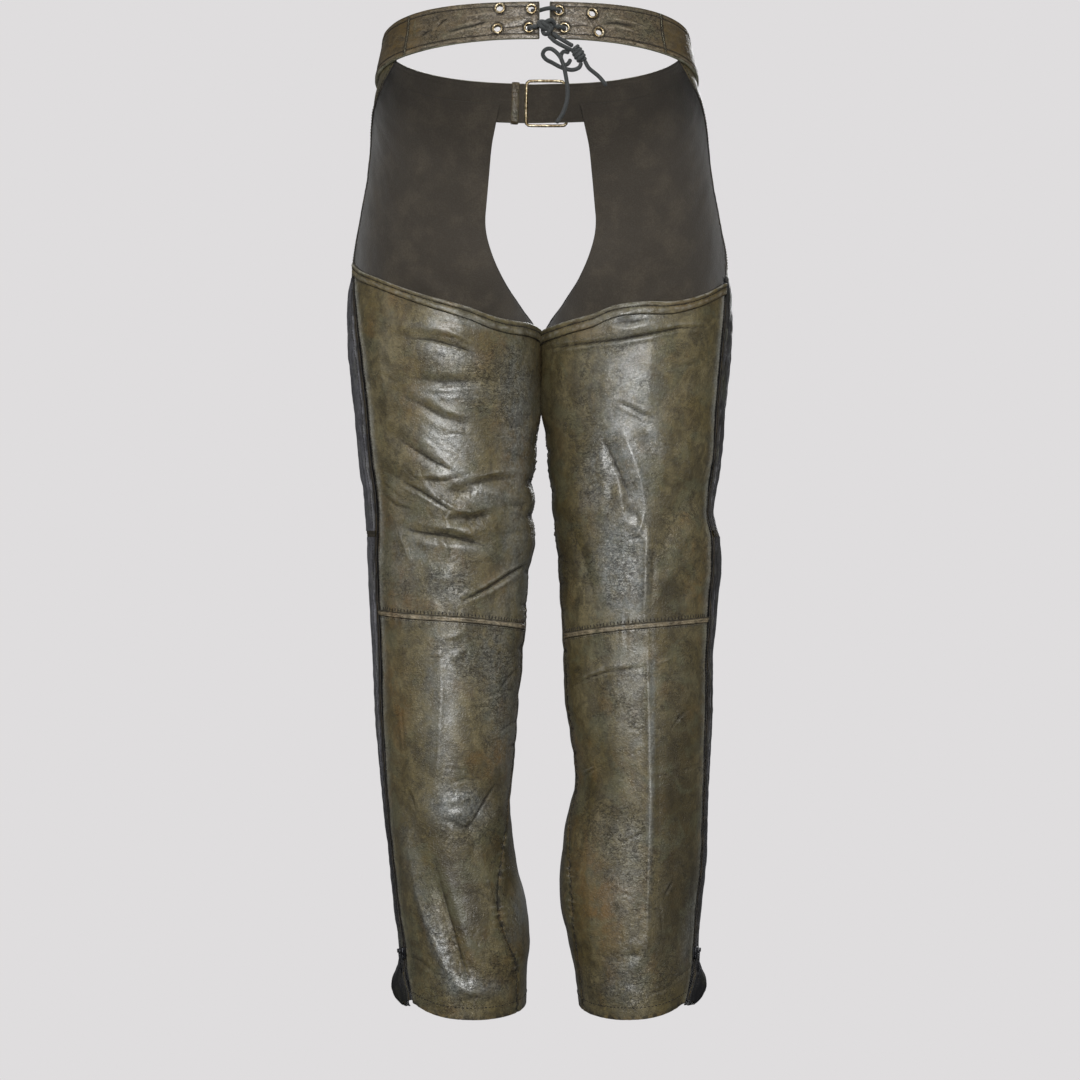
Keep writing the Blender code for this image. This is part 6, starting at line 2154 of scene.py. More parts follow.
    def add_teeth(self, calf: Sheet, shin: Sheet) -> None:
        """The zip's teeth: meshed down to the slider, and apart below it.

        Args:
            calf: the lower back panel.
            shin: the lower front panel.
        """
        teeth = RowOfPieces(f"zip_teeth_{self.side.word}", 0.0021, 0.0011, 0.0024, 0.0013, 0.0,
                            True)
        lines = []
        z = np.arange(SIZES.zip_top_z - 0.003, SIZES.slider_z + 0.004, -0.002)
        angle = FORM.zips[self.side](z)
        places, normals = FORM.point(self.side, angle, z), FORM.normal(self.side, angle, z)
        across = unit(np.cross(normals, np.gradient(places, axis=0)))
        for sign in (-1.0, 1.0):
            shift = int(sign > 0)
            row = places + across * 0.0009 * sign - normals * 0.0015
            lines.append((row[shift:] + (places[1] - places[0]) * 0.5 * shift, normals[shift:]))
        for panel in (calf, shin):
            line, direction = panel.line(Edge.START, -0.0012, -0.0016)
            keep = (line[:, 2] < SIZES.zip_open_z) & (line[:, 2] > self.teeth_end_z)
            lines.append((line[keep], direction[keep]))
        piece = teeth.along(lines, self.wardrobe.gunmetal)
        finish_piece(piece, ())

    def sew(self, thigh: Sheet, calf: Sheet, front: Sheet, shin: Sheet) -> None:
        """Lay the stitch lines of the leg's seams, edges and hems.

        Args:
            thigh: the upper back panel.
            calf: the lower back panel.
            front: the upper front panel.
            shin: the lower front panel.
        """
        add = self.sewing.add
        add(Thread.OVERCAST, thigh.line(Edge.BOTTOM, 0.0052, THREAD_LIFT))
        add(Thread.FINE, calf.line(Edge.TOP, 0.0045, THREAD_LIFT))
        add(Thread.RUNNING, front.line(Edge.BOTTOM, 0.0052, THREAD_LIFT), 0.03, 0.004)
        for panel in (thigh, calf):
            add(Thread.FINE, panel.line(Edge.END, 0.0030, THREAD_LIFT))
            add(Thread.FINE, panel.line(Edge.START, 0.0048, THREAD_LIFT))
        for panel, start in ((calf, 0.004), (shin, 0.03)):
            add(Thread.RUNNING, panel.line(Edge.BOTTOM, 0.012, THREAD_LIFT), start, 0.004)
        top = front.line(Edge.START, 0.0040, THREAD_LIFT)
        open_top = top[0][:, 2] > SIZES.zip_top_z + 0.003
        add(Thread.RUNNING, (top[0][open_top], top[1][open_top]), 0.02, 0.002)
        inner = front.line(Edge.END, 0.0040, THREAD_LIFT)
        open_front = inner[0][:, 2] > SIZES.crotch_z + 0.004
        add(Thread.RUNNING, (inner[0][open_front], inner[1][open_front]), 0.02, 0.002)


def wear_marks(x: Array, y: Array, face: Face, relief: Array, seam: Array) -> dict[str, Array]:
    """The values that the leather's finish reads, from the chart's patches and a relief: wear,
    painted sheen, and painted highlight and shade.

    Args:
        x: places across the chart.
        y: places down the chart.
        face: the back or front half.
        relief: how raised or hollow each point is.
        seam: nearness to a seam, from 0 to 1.

    Returns:
        Values for each point, by name.
    """
    return {
        "relief": np.clip(relief, -1.0, 1.0),
        "polish": np.clip(total(POLISH_AND_PAINTED_SHEEN[face], x, y), 0.0, 1.0),
        "brown": np.clip(total(BROWN_AND_PAINTED_SHADE[face], x, y), -1.0, 1.5),
        "cracked": np.clip(total(CRACKLE[face], x, y), 0.0, 1.0),
        "seam": seam,
    }


# ------------------------------------------------------------------ round pieces and frames
def smooth_route(stops: Sequence[Array], spacing: float, closed: bool = False) -> Array:
    """Points at an even spacing on a smooth curve through a route's own points.

    Args:
        stops: the route's own points.
        spacing: distance between new points.
        closed: whether its ends meet.

    Returns:
        The new points.
    """
    stops = np.asarray(stops, float)
    if closed:
        padded = np.concatenate((stops[-1:], stops, stops[:2]))
    else:
        padded = np.concatenate((2 * stops[:1] - stops[1:2], stops, 2 * stops[-1:] - stops[-2:-1]))
    t = (np.arange(12) / 12)[:, None]
    dense = [0.5 * (2 * b + (c - a) * t + (2 * a - 5 * b + 4 * c - d) * t**2
                    + (3 * b - a - 3 * c + d) * t**3)
             for a, b, c, d in zip(padded, padded[1:], padded[2:], padded[3:])]
    dense = np.concatenate([*dense, padded[-2:-1]])
    lengths = lengths_along(dense)
    even = np.linspace(0.0, lengths[-1], max(3, round(lengths[-1] / spacing)) + 1)
    return np.stack([np.interp(even, lengths, dense[:, axis]) for axis in range(3)], axis=1)


def tube(name: str, route: Array, radii: Array | float, material: Material,
         closed: bool = False, sides: int = 14) -> Piece:
    """A round cord or wire along a route, with rounded ends and a UV map in metres.

    Args:
        name: the piece's name.
        route: the points that it follows.
        radii: its radius, or one for each point.
        material: its finish.
        closed: whether its ends meet.
        sides: number of sides.

    Returns:
        The new object.
    """
    route = route[:-1] if closed else route
    count = len(route)
    radii = np.broadcast_to(np.asarray(radii, float), (count,)).copy()
    if closed:
        tangents = unit(np.roll(route, -1, axis=0) - np.roll(route, 1, axis=0))
    else:
        tangents = unit(np.gradient(route, axis=0))
        start = route[0] - tangents[0] * radii[0] * 0.5
        end = route[-1] + tangents[-1] * radii[-1] * 0.5
        route = np.concatenate((start[None], route, end[None]))
        tangents = np.concatenate((tangents[:1], tangents, tangents[-1:]))
        radii = np.concatenate((radii[:1] * 0.55, radii, radii[-1:] * 0.55))
        count += 2
    side = np.cross(tangents[0], (0.0, 0.0, 1.0) if abs(tangents[0][2]) < 0.9 else (1.0, 0.0, 0.0))
    sideways = []
    for tangent in tangents:
        side = unit(side - tangent * np.dot(side, tangent))
        sideways.append(side)
    sideways = np.asarray(sideways)
    upward = np.cross(tangents, sideways)
    turn = np.arange(sides) * 2 * math.pi / sides
    rings = (route[:, None] + radii[:, None, None] * (
        sideways[:, None] * np.cos(turn)[None, :, None]
        + upward[:, None] * np.sin(turn)[None, :, None])).reshape(-1, 3)
    faces = []
    for ring in range(count if closed else count - 1):
        after = (ring + 1) % count
        for i in range(sides):
            j = (i + 1) % sides
            faces.append((ring * sides + i, ring * sides + j, after * sides + j, after * sides + i))
    if not closed:
        faces += [tuple(range(sides - 1, -1, -1)),
                  tuple((count - 1) * sides + i for i in range(sides))]
    piece = add_mesh(name, rings, faces, (material,))
    soften(piece, 60.0)
    lengths = lengths_along(route)
    round_way = np.arange(sides) / sides * 2 * math.pi * float(radii.max())
    places = np.broadcast_arrays(lengths[:, None], round_way[None])
    set_uv(piece, np.stack(places, -1).reshape(-1, 2))
    return piece


def placed(piece: Piece, matrix: Matrix) -> Piece:
    """Move a piece's mesh to its place, with its object left at the origin."""
    piece.data.transform(matrix)
    return piece


def merged(name: str, parts: Sequence[Piece]) -> Piece:
    """Join parts of one piece into a single object.

    Args:
        name: the new object's name.
        parts: the parts, which are used up.

    Returns:
        The joined object.
    """
    first = parts[0]
    with bpy.context.temp_override(active_object=first, selected_editable_objects=list(parts)):
        bpy.ops.object.join()
    first.name = first.data.name = name
    return first


def rounded_block(name: str, size: Sequence[float], centre: Sequence[float], radius: float,
                  material: Material) -> Piece:
    """A block with rounded edges.

    Args:
        name: the new object's name.
        size: its three sides.
        centre: its middle.
        radius: radius of its edges.
        material: its finish.

    Returns:
        The new object.
    """
    shape = bmesh.new()
    bmesh.ops.create_cube(shape, size=1.0)
    bmesh.ops.scale(shape, vec=size, verts=shape.verts)
    bmesh.ops.bevel(shape, geom=shape.edges[:], offset=radius, segments=3, profile=0.5,
                    affect="EDGES")
    bmesh.ops.translate(shape, vec=centre, verts=shape.verts)
    piece = shown(name, mesh_from(name, shape, material))
    soften(piece, 40.0)
    return piece


# ------------------------------------------------------------------ zip sliders
@dataclass
class Slider:
    """A side zip's slider and its pull tab."""

    side: Side
    wardrobe: Wardrobe
    base: Triple = (0.0090, 0.0120, 0.0026)
    lift: float = 0.0021
    ear: Triple = (0.0014, 0.0040, 0.0032)
    ear_offset: float = 0.0031
    axis_up: float = 0.0030
    axis_height: float = 0.0065
    barrel_radius: float = 0.0011
    pull_length: float = 0.021
    pull_width: float = 0.0034
    pull_thickness: float = 0.0011
    chamfer: float = 0.0009
    fine_chamfer: float = 0.0005
    overlap: float = 0.0004
    hole_radius: float = 0.0009
    hole_inset: float = 0.003

    def place(self) -> Matrix:
        """The slider's frame: x along the girth, y up the leg and z outwards.

        Returns:
            The frame, with its origin on the leather.
        """
        joint = next(j for j in frame["joints"] if j["child"] == f"{self.side.word}_pull")
        heights = np.array((SIZES.slider_z, SIZES.slider_z + 0.01))
        angles = FORM.zips[self.side](heights)
        places = FORM.point(self.side, angles, heights)
        outwards = FORM.normal(self.side, angles, heights)[0]
        up = unit(places[1] - places[0])
        girth = Vector(joint["axis"]).normalized()
        if girth.dot(Vector(np.cross(up, outwards))) < 0:
            girth.negate()
        up = (Vector(up) - girth * girth.dot(Vector(up))).normalized()
        outwards = girth.cross(up)
        matrix = Matrix((girth, up, outwards)).transposed().to_4x4()
        pin = Vector(joint["pos_m"])
        matrix.translation = pin - matrix.to_3x3() @ Vector((0, self.axis_up, self.axis_height))
        return matrix

    def build(self) -> None:
        """Build the slider and its tab."""
        metal, word = self.wardrobe.gunmetal, self.side.word
        matrix = self.place()
        width, length, height = self.base
        body = rounded_block("base", (width, length * 0.62, height),
                             (0, length * 0.19, self.lift + height / 2), self.chamfer, metal)
        nose = rounded_block("nose", (width * 0.72, length * 0.5, height),
                             (0, -length * 0.25, self.lift + height / 2), self.chamfer, metal)
        under_z = self.lift / 2 - LEATHER.panel / 4 + self.overlap
        under = rounded_block("under", (0.0026, 0.0110, self.lift + LEATHER.panel / 2),
                              (0, 0, under_z), 0.0004, metal)
        parts = [body, nose, under]
        for sign in (-1.0, 1.0):
            middle = self.lift + height + self.ear[2] / 2 - self.overlap
            parts.append(rounded_block("ear", self.ear,
                                       (sign * self.ear_offset, self.axis_up, middle),
                                       self.fine_chamfer, metal))
        slider = placed(merged(f"zip_slider_{word}_metal", parts), matrix)
        finish_piece(slider, (f"zip_slider_{word}",))

        pin = matrix @ Matrix.Translation((0, self.axis_up, self.axis_height))
        half = self.pull_width / 2
        barrel = tube("barrel", np.array([(x, 0.0, 0.0) for x in np.linspace(-half, half, 6)]),
                      self.barrel_radius, metal, sides=16)
        plate = rounded_block("plate", (self.pull_width, self.pull_length, self.pull_thickness),
                              (0, -self.pull_length / 2 - self.overlap, 0),
                              self.fine_chamfer, metal)
        through = [(0, -self.pull_length + self.hole_inset, z) for z in (-0.002, 0, 0.002)]
        hole = tube("hole", np.array(through), self.hole_radius, metal)
        cut_holes(plate, [hole])
        tab = placed(merged(f"pull_tab_{word}_metal", [barrel, plate]), pin)
        finish_piece(tab, (f"pull_tab_{word}",), f"{word}_pull")


def cut_holes(piece: Piece, cutters: Sequence[Piece]) -> None:
    """Cut shapes out of a piece and remove them.

    Args:
        piece: the piece.
        cutters: the shapes to cut away.
    """
    for index, cutter in enumerate(cutters):
        cut = piece.modifiers.new(f"hole_{index}", "BOOLEAN")
        cut.operation = "DIFFERENCE"
        cut.solver = "EXACT"
        cut.object = cutter
    baked(piece)
    for cutter in cutters:
        bpy.data.objects.remove(cutter)


# ------------------------------------------------------------------ belt
EYELETS = (
    ("left_outer_top", Side.LEFT, 0.0396, 0.0118),
    ("left_outer_low", Side.LEFT, 0.0412, -0.0085),
    ("left_inner_top", Side.LEFT, 0.0092, 0.0106),
    ("left_inner_low", Side.LEFT, 0.0114, -0.008),
    ("right_inner_top", Side.RIGHT, 0.0172, 0.0092),
    ("right_inner_low", Side.RIGHT, 0.0222, -0.008),
    ("right_outer_top", Side.RIGHT, 0.0492, 0.0072),
    ("right_outer_low", Side.RIGHT, 0.0545, -0.0112),
)


@dataclass
class Belt:
    """The belt: two laced back pieces, two front pieces, eyelets, buckle and keeper."""

    wardrobe: Wardrobe
    sewing: Sewing
    back_ends: dict[Side, tuple[float, float]] = field(
        default_factory=lambda: {Side.LEFT: (0.0015, 0.128), Side.RIGHT: (0.0090, 0.116)})
    seam_turn: float = 0.12
    outer_x: float = 0.112
    outer_fade: float = 0.012
    pale_reach: float = 0.075
    stitch_inset: float = 4.4
    eyelet_ring: float = 6.2
    relief_gain: float = 2.6
    back_cell: float = 0.0011
    front_cell: float = 0.0017
    rows: int = 34
    eyelet_radius: float = 0.0055
    hole_radius: float = 0.0030
    belt_hole_radius: float = 0.0037
    heel_x: float = -0.0150
    nose_x: float = 0.0250
    buckle_half_height: float = 0.0235
    buckle_corner: float = 0.0055
    bar_radius: float = 0.0016
    prong_radius: float = 0.0013
    prong_root_x: float = 0.001
    strap_join_turn: float = 60.0
    strap_end_x: float = -0.082
    tip_length: float = 0.016
    climb_x: float = 0.017
    climb_length: float = 0.026
    keeper_x: float = -0.0265
    keeper_width: float = 0.008
    keeper_thickness: float = 0.0015
    keeper_room: Triple = (0.0008, 0.0007, 0.0006)
    turn_radius: float = 0.13
    route_step: float = 0.0012
    prong_room: float = 0.0004
    eyelet_rise: float = 0.0014
    eyelet_sides: int = 32

    @property
    def lift(self) -> float:
        """Height of the belt's outer face above the form."""
        return LEATHER.belt_lift + LEATHER.belt

    @property
    def strap_rise(self) -> float:
        """How far the strap stands off the belt beneath it."""
        return LEATHER.belt + 0.0012

    def worked(self, sheet: Sheet, face: Face, seed: int, holes: Sequence[Matrix] = ()) -> Sheet:
        """Wrinkle a plain belt piece and mark where it is worn, with painted shade in its hollows,
        along its stitch lines and round its eyelets, and a painted highlight along its lower edge.

        Args:
            sheet: the plain belt piece.
            face: the back or front half.
            seed: start of its own noise.
            holes: frames of its eyelets.

        Returns:
            The piece with its wrinkles and marks.
        """
        x, y = CHART.read(sheet.points, face)
        across, down = sheet.across * TO_MM, sheet.down * TO_MM
        near_top = sheet.from_edge(Edge.START) * TO_MM
        near_low = sheet.from_edge(Edge.END) * TO_MM
        near = np.minimum(near_top, near_low)
        height = creased(BELT_CREASE_ROWS[face], x, y)
        grain = Grain(seed)
        height += 0.22 * grain.layered(across / 6.0, down / 24.0, 3)
        height += 0.5 * (smooth(near / 3.0) - 1.0)
        height -= 0.45 * bell(near, self.stitch_inset, 0.8)
        height *= smooth(sheet.from_edge(Edge.TOP) / 0.002) * 0.5 + 0.5
        result = sheet.raised(height * MM)
        size = np.abs(sheet.points[..., 0])
        # Polish and painted sheen towards the centre back; the outer parts are browner.
        if face is Face.BACK:
            outer = smooth((size - self.outer_x) / self.outer_fade)
            pale = bell(size, 0.0, self.pale_reach)
        else:
            outer, pale = np.full(x.shape, 0.8), np.zeros(x.shape)
        # The relief colours the belt: wrinkle tops are paler, rubbed and with painted highlight,
        # and hollows are darker as painted shade; it is darker at its ends, with a painted
        # highlight along its lower edge and painted shade along its stitch lines and round its
        # eyelets.
        sharp = height - blurred(height, 2.5)
        ends = np.minimum(sheet.from_edge(Edge.TOP), sheet.from_edge(Edge.BOTTOM)) * TO_MM
        sharp -= 0.8 * bell(ends, 0.0, 1.7)
        sharp += 0.35 * bell(near_low, 0.0, 1.5)
        sharp -= 0.35 * bell(near, self.stitch_inset, 0.7)
        for matrix in holes:
            away = np.linalg.norm(sheet.points - np.array(matrix.translation), axis=-1) * TO_MM
            sharp -= 0.45 * bell(away, self.eyelet_ring, 0.9)
        result.marks = {
            "relief": np.clip(sharp * self.relief_gain, -1.0, 1.0), "polish": pale,
            "brown": outer * 1.1, "cracked": 0.7 * (1.0 - outer),
            "seam": np.exp(-near / 1.6),
        }
        return result

    def piece(self, name: str, sheet: Sheet, holes: Sequence[Matrix] = ()) -> None:
        """Make one belt piece, with its holes.

        Args:
            name: the solid that it stands for.
            sheet: its worked sheet.
            holes: frames of its eyelets.
        """
        piece = sheet.shell(self.wardrobe.belt, self.wardrobe.flesh, self.wardrobe.belt_edge)
        cutters = []
        route = np.array([(0.0, 0.0, z) for z in (-0.008, 0.0, 0.008)])
        for matrix in holes:
            cutters.append(placed(tube("cutter", route, self.belt_hole_radius,
                                       self.wardrobe.belt_edge, sides=24), matrix))
        if cutters:
            cut_holes(piece, cutters)
            soften(piece)
        finish_piece(piece, (name,))
        declare_sheet(sheet)
        for edge in (Edge.START, Edge.END):
            self.sewing.add(Thread.FINE, sheet.line(edge, 0.0044, THREAD_LIFT), 0.003, 0.003)

    def strip_of_belt(self, name: str, side: Side, start: float, end: float, cell: float) -> Sheet:
        """A plain piece of belt between two turns.

        Args:
            name: the solid that it stands for.
            side: left or right.
            start: the first turn.
            end: the last turn.
            cell: size of a grid cell along it.

        Returns:
            The plain sheet.
        """
        length = abs(math.radians(end - start)) * self.turn_radius
        turns = np.linspace(start, end, max(12, round(length / cell)))[:, None]
        share = np.linspace(0.0, 1.0, self.rows)[None, :]
        points, normals = FORM.belt_place(side, turns, share)
        return Sheet(name + "_leather", points + normals * self.lift, normals, LEATHER.belt)

    def eyelet_frame(self, side: Side, x: float, z: float) -> Matrix:
        """An eyelet's place on the belt's outer face, with z along its own axis.

        Args:
            side: left or right.
            x: distance from the centre plane.
            z: its height.

        Returns:
            The frame.
        """
        turn = FORM.turn_at_x(side, x, Face.BACK)
        middle = FORM.belt_place(side, turn, 0.5)[0]
        share = 0.5 - (z - middle[2]) / float(FORM.belt_height(turn))
        place, normal = FORM.belt_place(side, turn, share)
        matrix = Vector(normal).to_track_quat("Z", "Y").to_matrix().to_4x4()
        matrix.translation = Vector(place + normal * self.lift)
        return matrix

    def add_eyelet(self, name: str, matrix: Matrix) -> None:
        """A turned ring: a rolled flange outside and a barrel through the belt.

        Args:
            name: the eyelet's place on the belt.
            matrix: its frame.
        """
        inner, outer, lift = self.hole_radius, self.eyelet_radius, LEATHER.gap
        barrel = self.belt_hole_radius - LEATHER.gap
        roll = [((inner + outer) / 2 + (outer - inner) / 2 * math.cos(t),
                 lift + self.eyelet_rise * math.sin(t)) for t in np.linspace(0.0, math.pi, 11)]
        profile = [*roll, (inner, -LEATHER.belt), (barrel, -LEATHER.belt), (barrel, lift)]
        sides = self.eyelet_sides
        turns = np.arange(sides) * 2 * math.pi / sides
        points = [(radius * math.cos(t), radius * math.sin(t), height)
                  for t in turns for radius, height in profile]
        size = len(profile)
        faces = []
        for i in range(sides):
            here, there = i * size, (i + 1) % sides * size
            faces += [(here + k, there + k, there + (k + 1) % size, here + (k + 1) % size)
                      for k in range(size)]
        ring = add_mesh(f"eyelet_{name}_brass", points, faces, (self.wardrobe.brass,))
        ring = placed(ring, matrix)
        soften(ring, 45.0)
        finish_piece(ring, (f"eyelet_{name}",))

    def front_frame(self, x: float) -> tuple[Array, Array, Array]:
        """The belt's outer face at the front: its middle point, normal and up, at an x.

        Args:
            x: distance across the front.

        Returns:
            The point and the two directions.
        """
        side = Side.LEFT if x < 0 else Side.RIGHT
        turn = FORM.turn_at_x(side, max(abs(x), SIZES.centre_clearance), Face.FRONT)
        points, normals = FORM.belt_place(side, turn, np.array((0.5, 0.3)))
        points = points + normals * self.lift
        return points[0], normals[0], unit(points[1] - points[0])

    def strap_lift(self, x: float) -> float:
        """How far the strap stands off as it climbs over the buckle's heel bar."""
        return self.strap_rise * float(smooth((self.climb_x - x) / self.climb_length))

    def strap(self) -> Sheet:
        """The right front piece: belt at the side, then a strap with a rounded tip.

        Returns:
            The plain sheet.
        """
        back_end = self.back_ends[Side.RIGHT][1]
        start = FORM.turn_at_x(Side.RIGHT, back_end, Face.BACK) + self.seam_turn
        side = self.strip_of_belt("belt_front_right", Side.RIGHT, start, self.strap_join_turn,
                                  self.front_cell)
        share = np.linspace(1.0, -1.0, self.rows)
        points, normals = [side.points], [side.normals]
        first = abs(float(side.points[-1, self.rows // 2, 0]))
        for x in np.arange(first - self.back_cell, self.strap_end_x, -self.back_cell):
            point, normal, up = self.front_frame(float(x))
            tip = min(max((x - self.strap_end_x) / self.tip_length, 0.0), 1.0)
            half = SIZES.belt_height_side / 2 * math.sqrt(max(tip * (2.0 - tip), 0.12))
            row = point + normal * self.strap_lift(float(x)) + up * (half * share)[:, None]
            points.append(row[None])
            normals.append(np.broadcast_to(normal, (1, self.rows, 3)))
        return Sheet("belt_front_right_leather", np.concatenate(points), np.concatenate(normals),
                     LEATHER.belt)

    def add_buckle(self) -> None:
        """A plain frame with a prong."""
        heel, heel_normal, heel_up = self.front_frame(self.heel_x)
        nose, nose_normal, nose_up = self.front_frame(self.nose_x)
        heel = heel - heel_normal * LEATHER.belt / 2
        nose = nose + nose_normal * (self.bar_radius + 2 * LEATHER.gap)
        along = unit(nose - heel)
        ring = []
        for end, way, up in ((heel + heel_up * self.buckle_half_height, along, -heel_up),
                             (nose + nose_up * self.buckle_half_height, -along, -nose_up),
                             (nose - nose_up * self.buckle_half_height, -along, nose_up),
                             (heel - heel_up * self.buckle_half_height, along, heel_up)):
            corner = [end + up * self.buckle_corner, end + (up + way) * self.buckle_corner * 0.29,
                      end + way * self.buckle_corner]
            ring += corner if len(ring) % 6 == 0 else corner[::-1]
        route = smooth_route(ring, self.route_step, closed=True)
        buckle = tube("buckle_frame_brass", route, self.bar_radius, self.wardrobe.brass, True, 20)
        finish_piece(buckle, ("buckle_frame",))
        over = self.prong_radius + self.prong_room
        root, root_normal, _ = self.front_frame(self.prong_root_x)
        start = root + root_normal * (self.strap_lift(self.prong_root_x) + over)
        end = nose + nose_normal * (self.bar_radius + over) + along * 0.002
        route = smooth_route([start, (start + end) / 2 + nose_normal * 0.0012, end], 0.001)
        share = np.linspace(0, 1, len(route))
        radii = self.prong_radius * np.interp(share, (0, 0.7, 1), (1, 0.9, 0.6))
        prong = tube("buckle_prong_brass", route, radii, self.wardrobe.brass)
        finish_piece(prong, ("buckle_prong",))

    def add_keeper(self) -> None:
        """A leather loop round the belt and the strap's end."""
        centre, normal, up = self.front_frame(self.keeper_x)
        over, under, beyond = self.keeper_room
        high, low = self.strap_rise + over, -LEATHER.belt - under
        top = SIZES.belt_height_side / 2 + beyond
        corners = []
        for a, b in ((top, high), (top, low), (-top, low), (-top, high)):
            corners.append(centre + up * a + normal * b)
        sideways = unit(np.cross(up, normal)) * self.keeper_width
        middle = sum(corners) / 4
        points, route = [], []
        for corner, after in zip(corners, corners[1:] + corners[:1]):
            route += [corner + (after - corner) * s for s in (0.04, 0.5, 0.96)]
        for place in smooth_route(route, self.route_step, closed=True)[:-1]:
            points.append([place + sideways * (k / 8 - 0.5) for k in range(9)])
        shape = np.asarray(points)
        following = np.roll(shape, -1, axis=0) - np.roll(shape, 1, axis=0)
        outward = unit(np.cross(following, sideways))
        if np.sum(outward * (shape - middle)) < 0:
            outward = -outward
        across = np.abs(np.arange(9) / 8 - 0.5) * 2
        face = shape + outward * (self.keeper_thickness - 0.0004 * across[None, :, None] ** 4)
        count, width = shape.shape[:2]
        number = np.arange(count * width).reshape(count, width)
        after = np.roll(number, -1, axis=0)
        outer = np.stack((number[:, :-1], number[:, 1:], after[:, 1:], after[:, :-1]), -1)
        outer = outer.reshape(-1, 4)
        inner = outer[:, ::-1] + count * width
        rims = [np.stack((number[:, e], after[:, e], after[:, e] + count * width,
                          number[:, e] + count * width), -1)[:, ::way]
                for e, way in ((0, 1), (-1, -1))]
        faces = np.concatenate((outer, inner, *rims))
        points = np.concatenate((face.reshape(-1, 3), shape.reshape(-1, 3)))
        piece = add_mesh("belt_keeper_leather", points, faces, (self.wardrobe.belt,))
        solid = bmesh.new()
        solid.from_mesh(piece.data)
        bmesh.ops.recalc_face_normals(solid, faces=solid.faces)
        solid.to_mesh(piece.data)
        solid.free()
        soften(piece)
        worn = np.full(len(piece.data.vertices), 0.8)
        set_marks(piece, {"brown": worn, "cracked": worn * 0.5})
        finish_piece(piece, ("belt_keeper",))

    def build(self) -> None:
        """Build the belt."""
        for side in Side:
            end_x, seam_x = self.back_ends[side]
            name = f"belt_back_{side.word}"
            sheet = self.strip_of_belt(name, side, FORM.turn_at_x(side, end_x, Face.BACK),
                                       FORM.turn_at_x(side, seam_x, Face.BACK), self.back_cell)
            frames = {row[0]: self.eyelet_frame(*row[1:]) for row in EYELETS if row[1] is side}
            holes = list(frames.values())
            self.piece(name, self.worked(sheet, Face.BACK, 51 + len(name), holes), holes)
            for eyelet, matrix in frames.items():
                self.add_eyelet(eyelet, matrix)
        seam = FORM.turn_at_x(Side.LEFT, self.back_ends[Side.LEFT][1], Face.BACK) + self.seam_turn
        end = FORM.turn_at_x(Side.LEFT, -self.heel_x + self.bar_radius + LEATHER.gap, Face.FRONT)
        left = self.strip_of_belt("belt_front_left", Side.LEFT, seam, end, self.front_cell)
        self.piece("belt_front_left", self.worked(left, Face.FRONT, 71))
        self.piece("belt_front_right", self.worked(self.strap(), Face.FRONT, 72))
        self.add_buckle()
        self.add_keeper()


# ------------------------------------------------------------------ lace
# Routes beside the centre back: x, z and how far out from the belt's face, in millimetres.
LACE_ROUTES = {
    "cross_top": table("""17.2 9.2 -3; 17.2 9.2 2.4; 14.6 9.5 4.9; 10 10.4 4.4; 5.4 11 0.6;
        2.4 11.3 -3.4; -2.4 11 -7; -9 10.8 -7.2"""),
    "cross_low_left": table("""-11.4 -8 -3; -11.4 -8 2.6; -8.8 -7.8 5; -4 -7.4 5.2"""),
    "cross_low_right": table("""22.2 -8 -3; 22.2 -8 2.9; 19.4 -7.8 5.4; 14.5 -7.4 5.2"""),
    "stem_upper": table("""11.5 -13.9 5.2; 17 -18.2 5.2; 22 -21 4.6; 30 -25.2 3.8"""),
    "stem_lower": table("""7.7 -16.4 4.8; 13 -21.4 4.6; 19 -24.8 4.4; 24 -27.2 4.2;
        28.9 -29.4 3.7"""),
    "ring_loop": table("""26.4 -31 0.5; 22 -30.2 -0.1; 19.4 -33.4 -0.4; 19.8 -38.6 -0.2;
        22.6 -43 0.1; 26 -42 0.2; 28.2 -38.4 0.5"""),
    "long_tail": table("""38.6 -42.1 3.4; 36.6 -46.2 3.6; 31 -48.4 3; 25 -47.4 0.8;
        18 -44.6 -1.4; 11 -40.8 -1.6; 4.6 -37.6 -0.6; 1.6 -33.2 1.4; 4.4 -29.2 3.4;
        9.6 -28.8 4.6; 15 -32.6 5.2; 19.6 -39 5.4; 22.6 -48.8 5.4; 25 -62 5; 25.6 -71 4.6;
        24.6 -80 4.2; 21 -90.4 3.8; 15.4 -99.2 3.6"""),
    "short_tail": table("""42.5 -40.1 3; 46 -46 2.6; 51 -50 2.2; 56.6 -54.4 1.8; 62.6 -61.4 1.4"""),
}


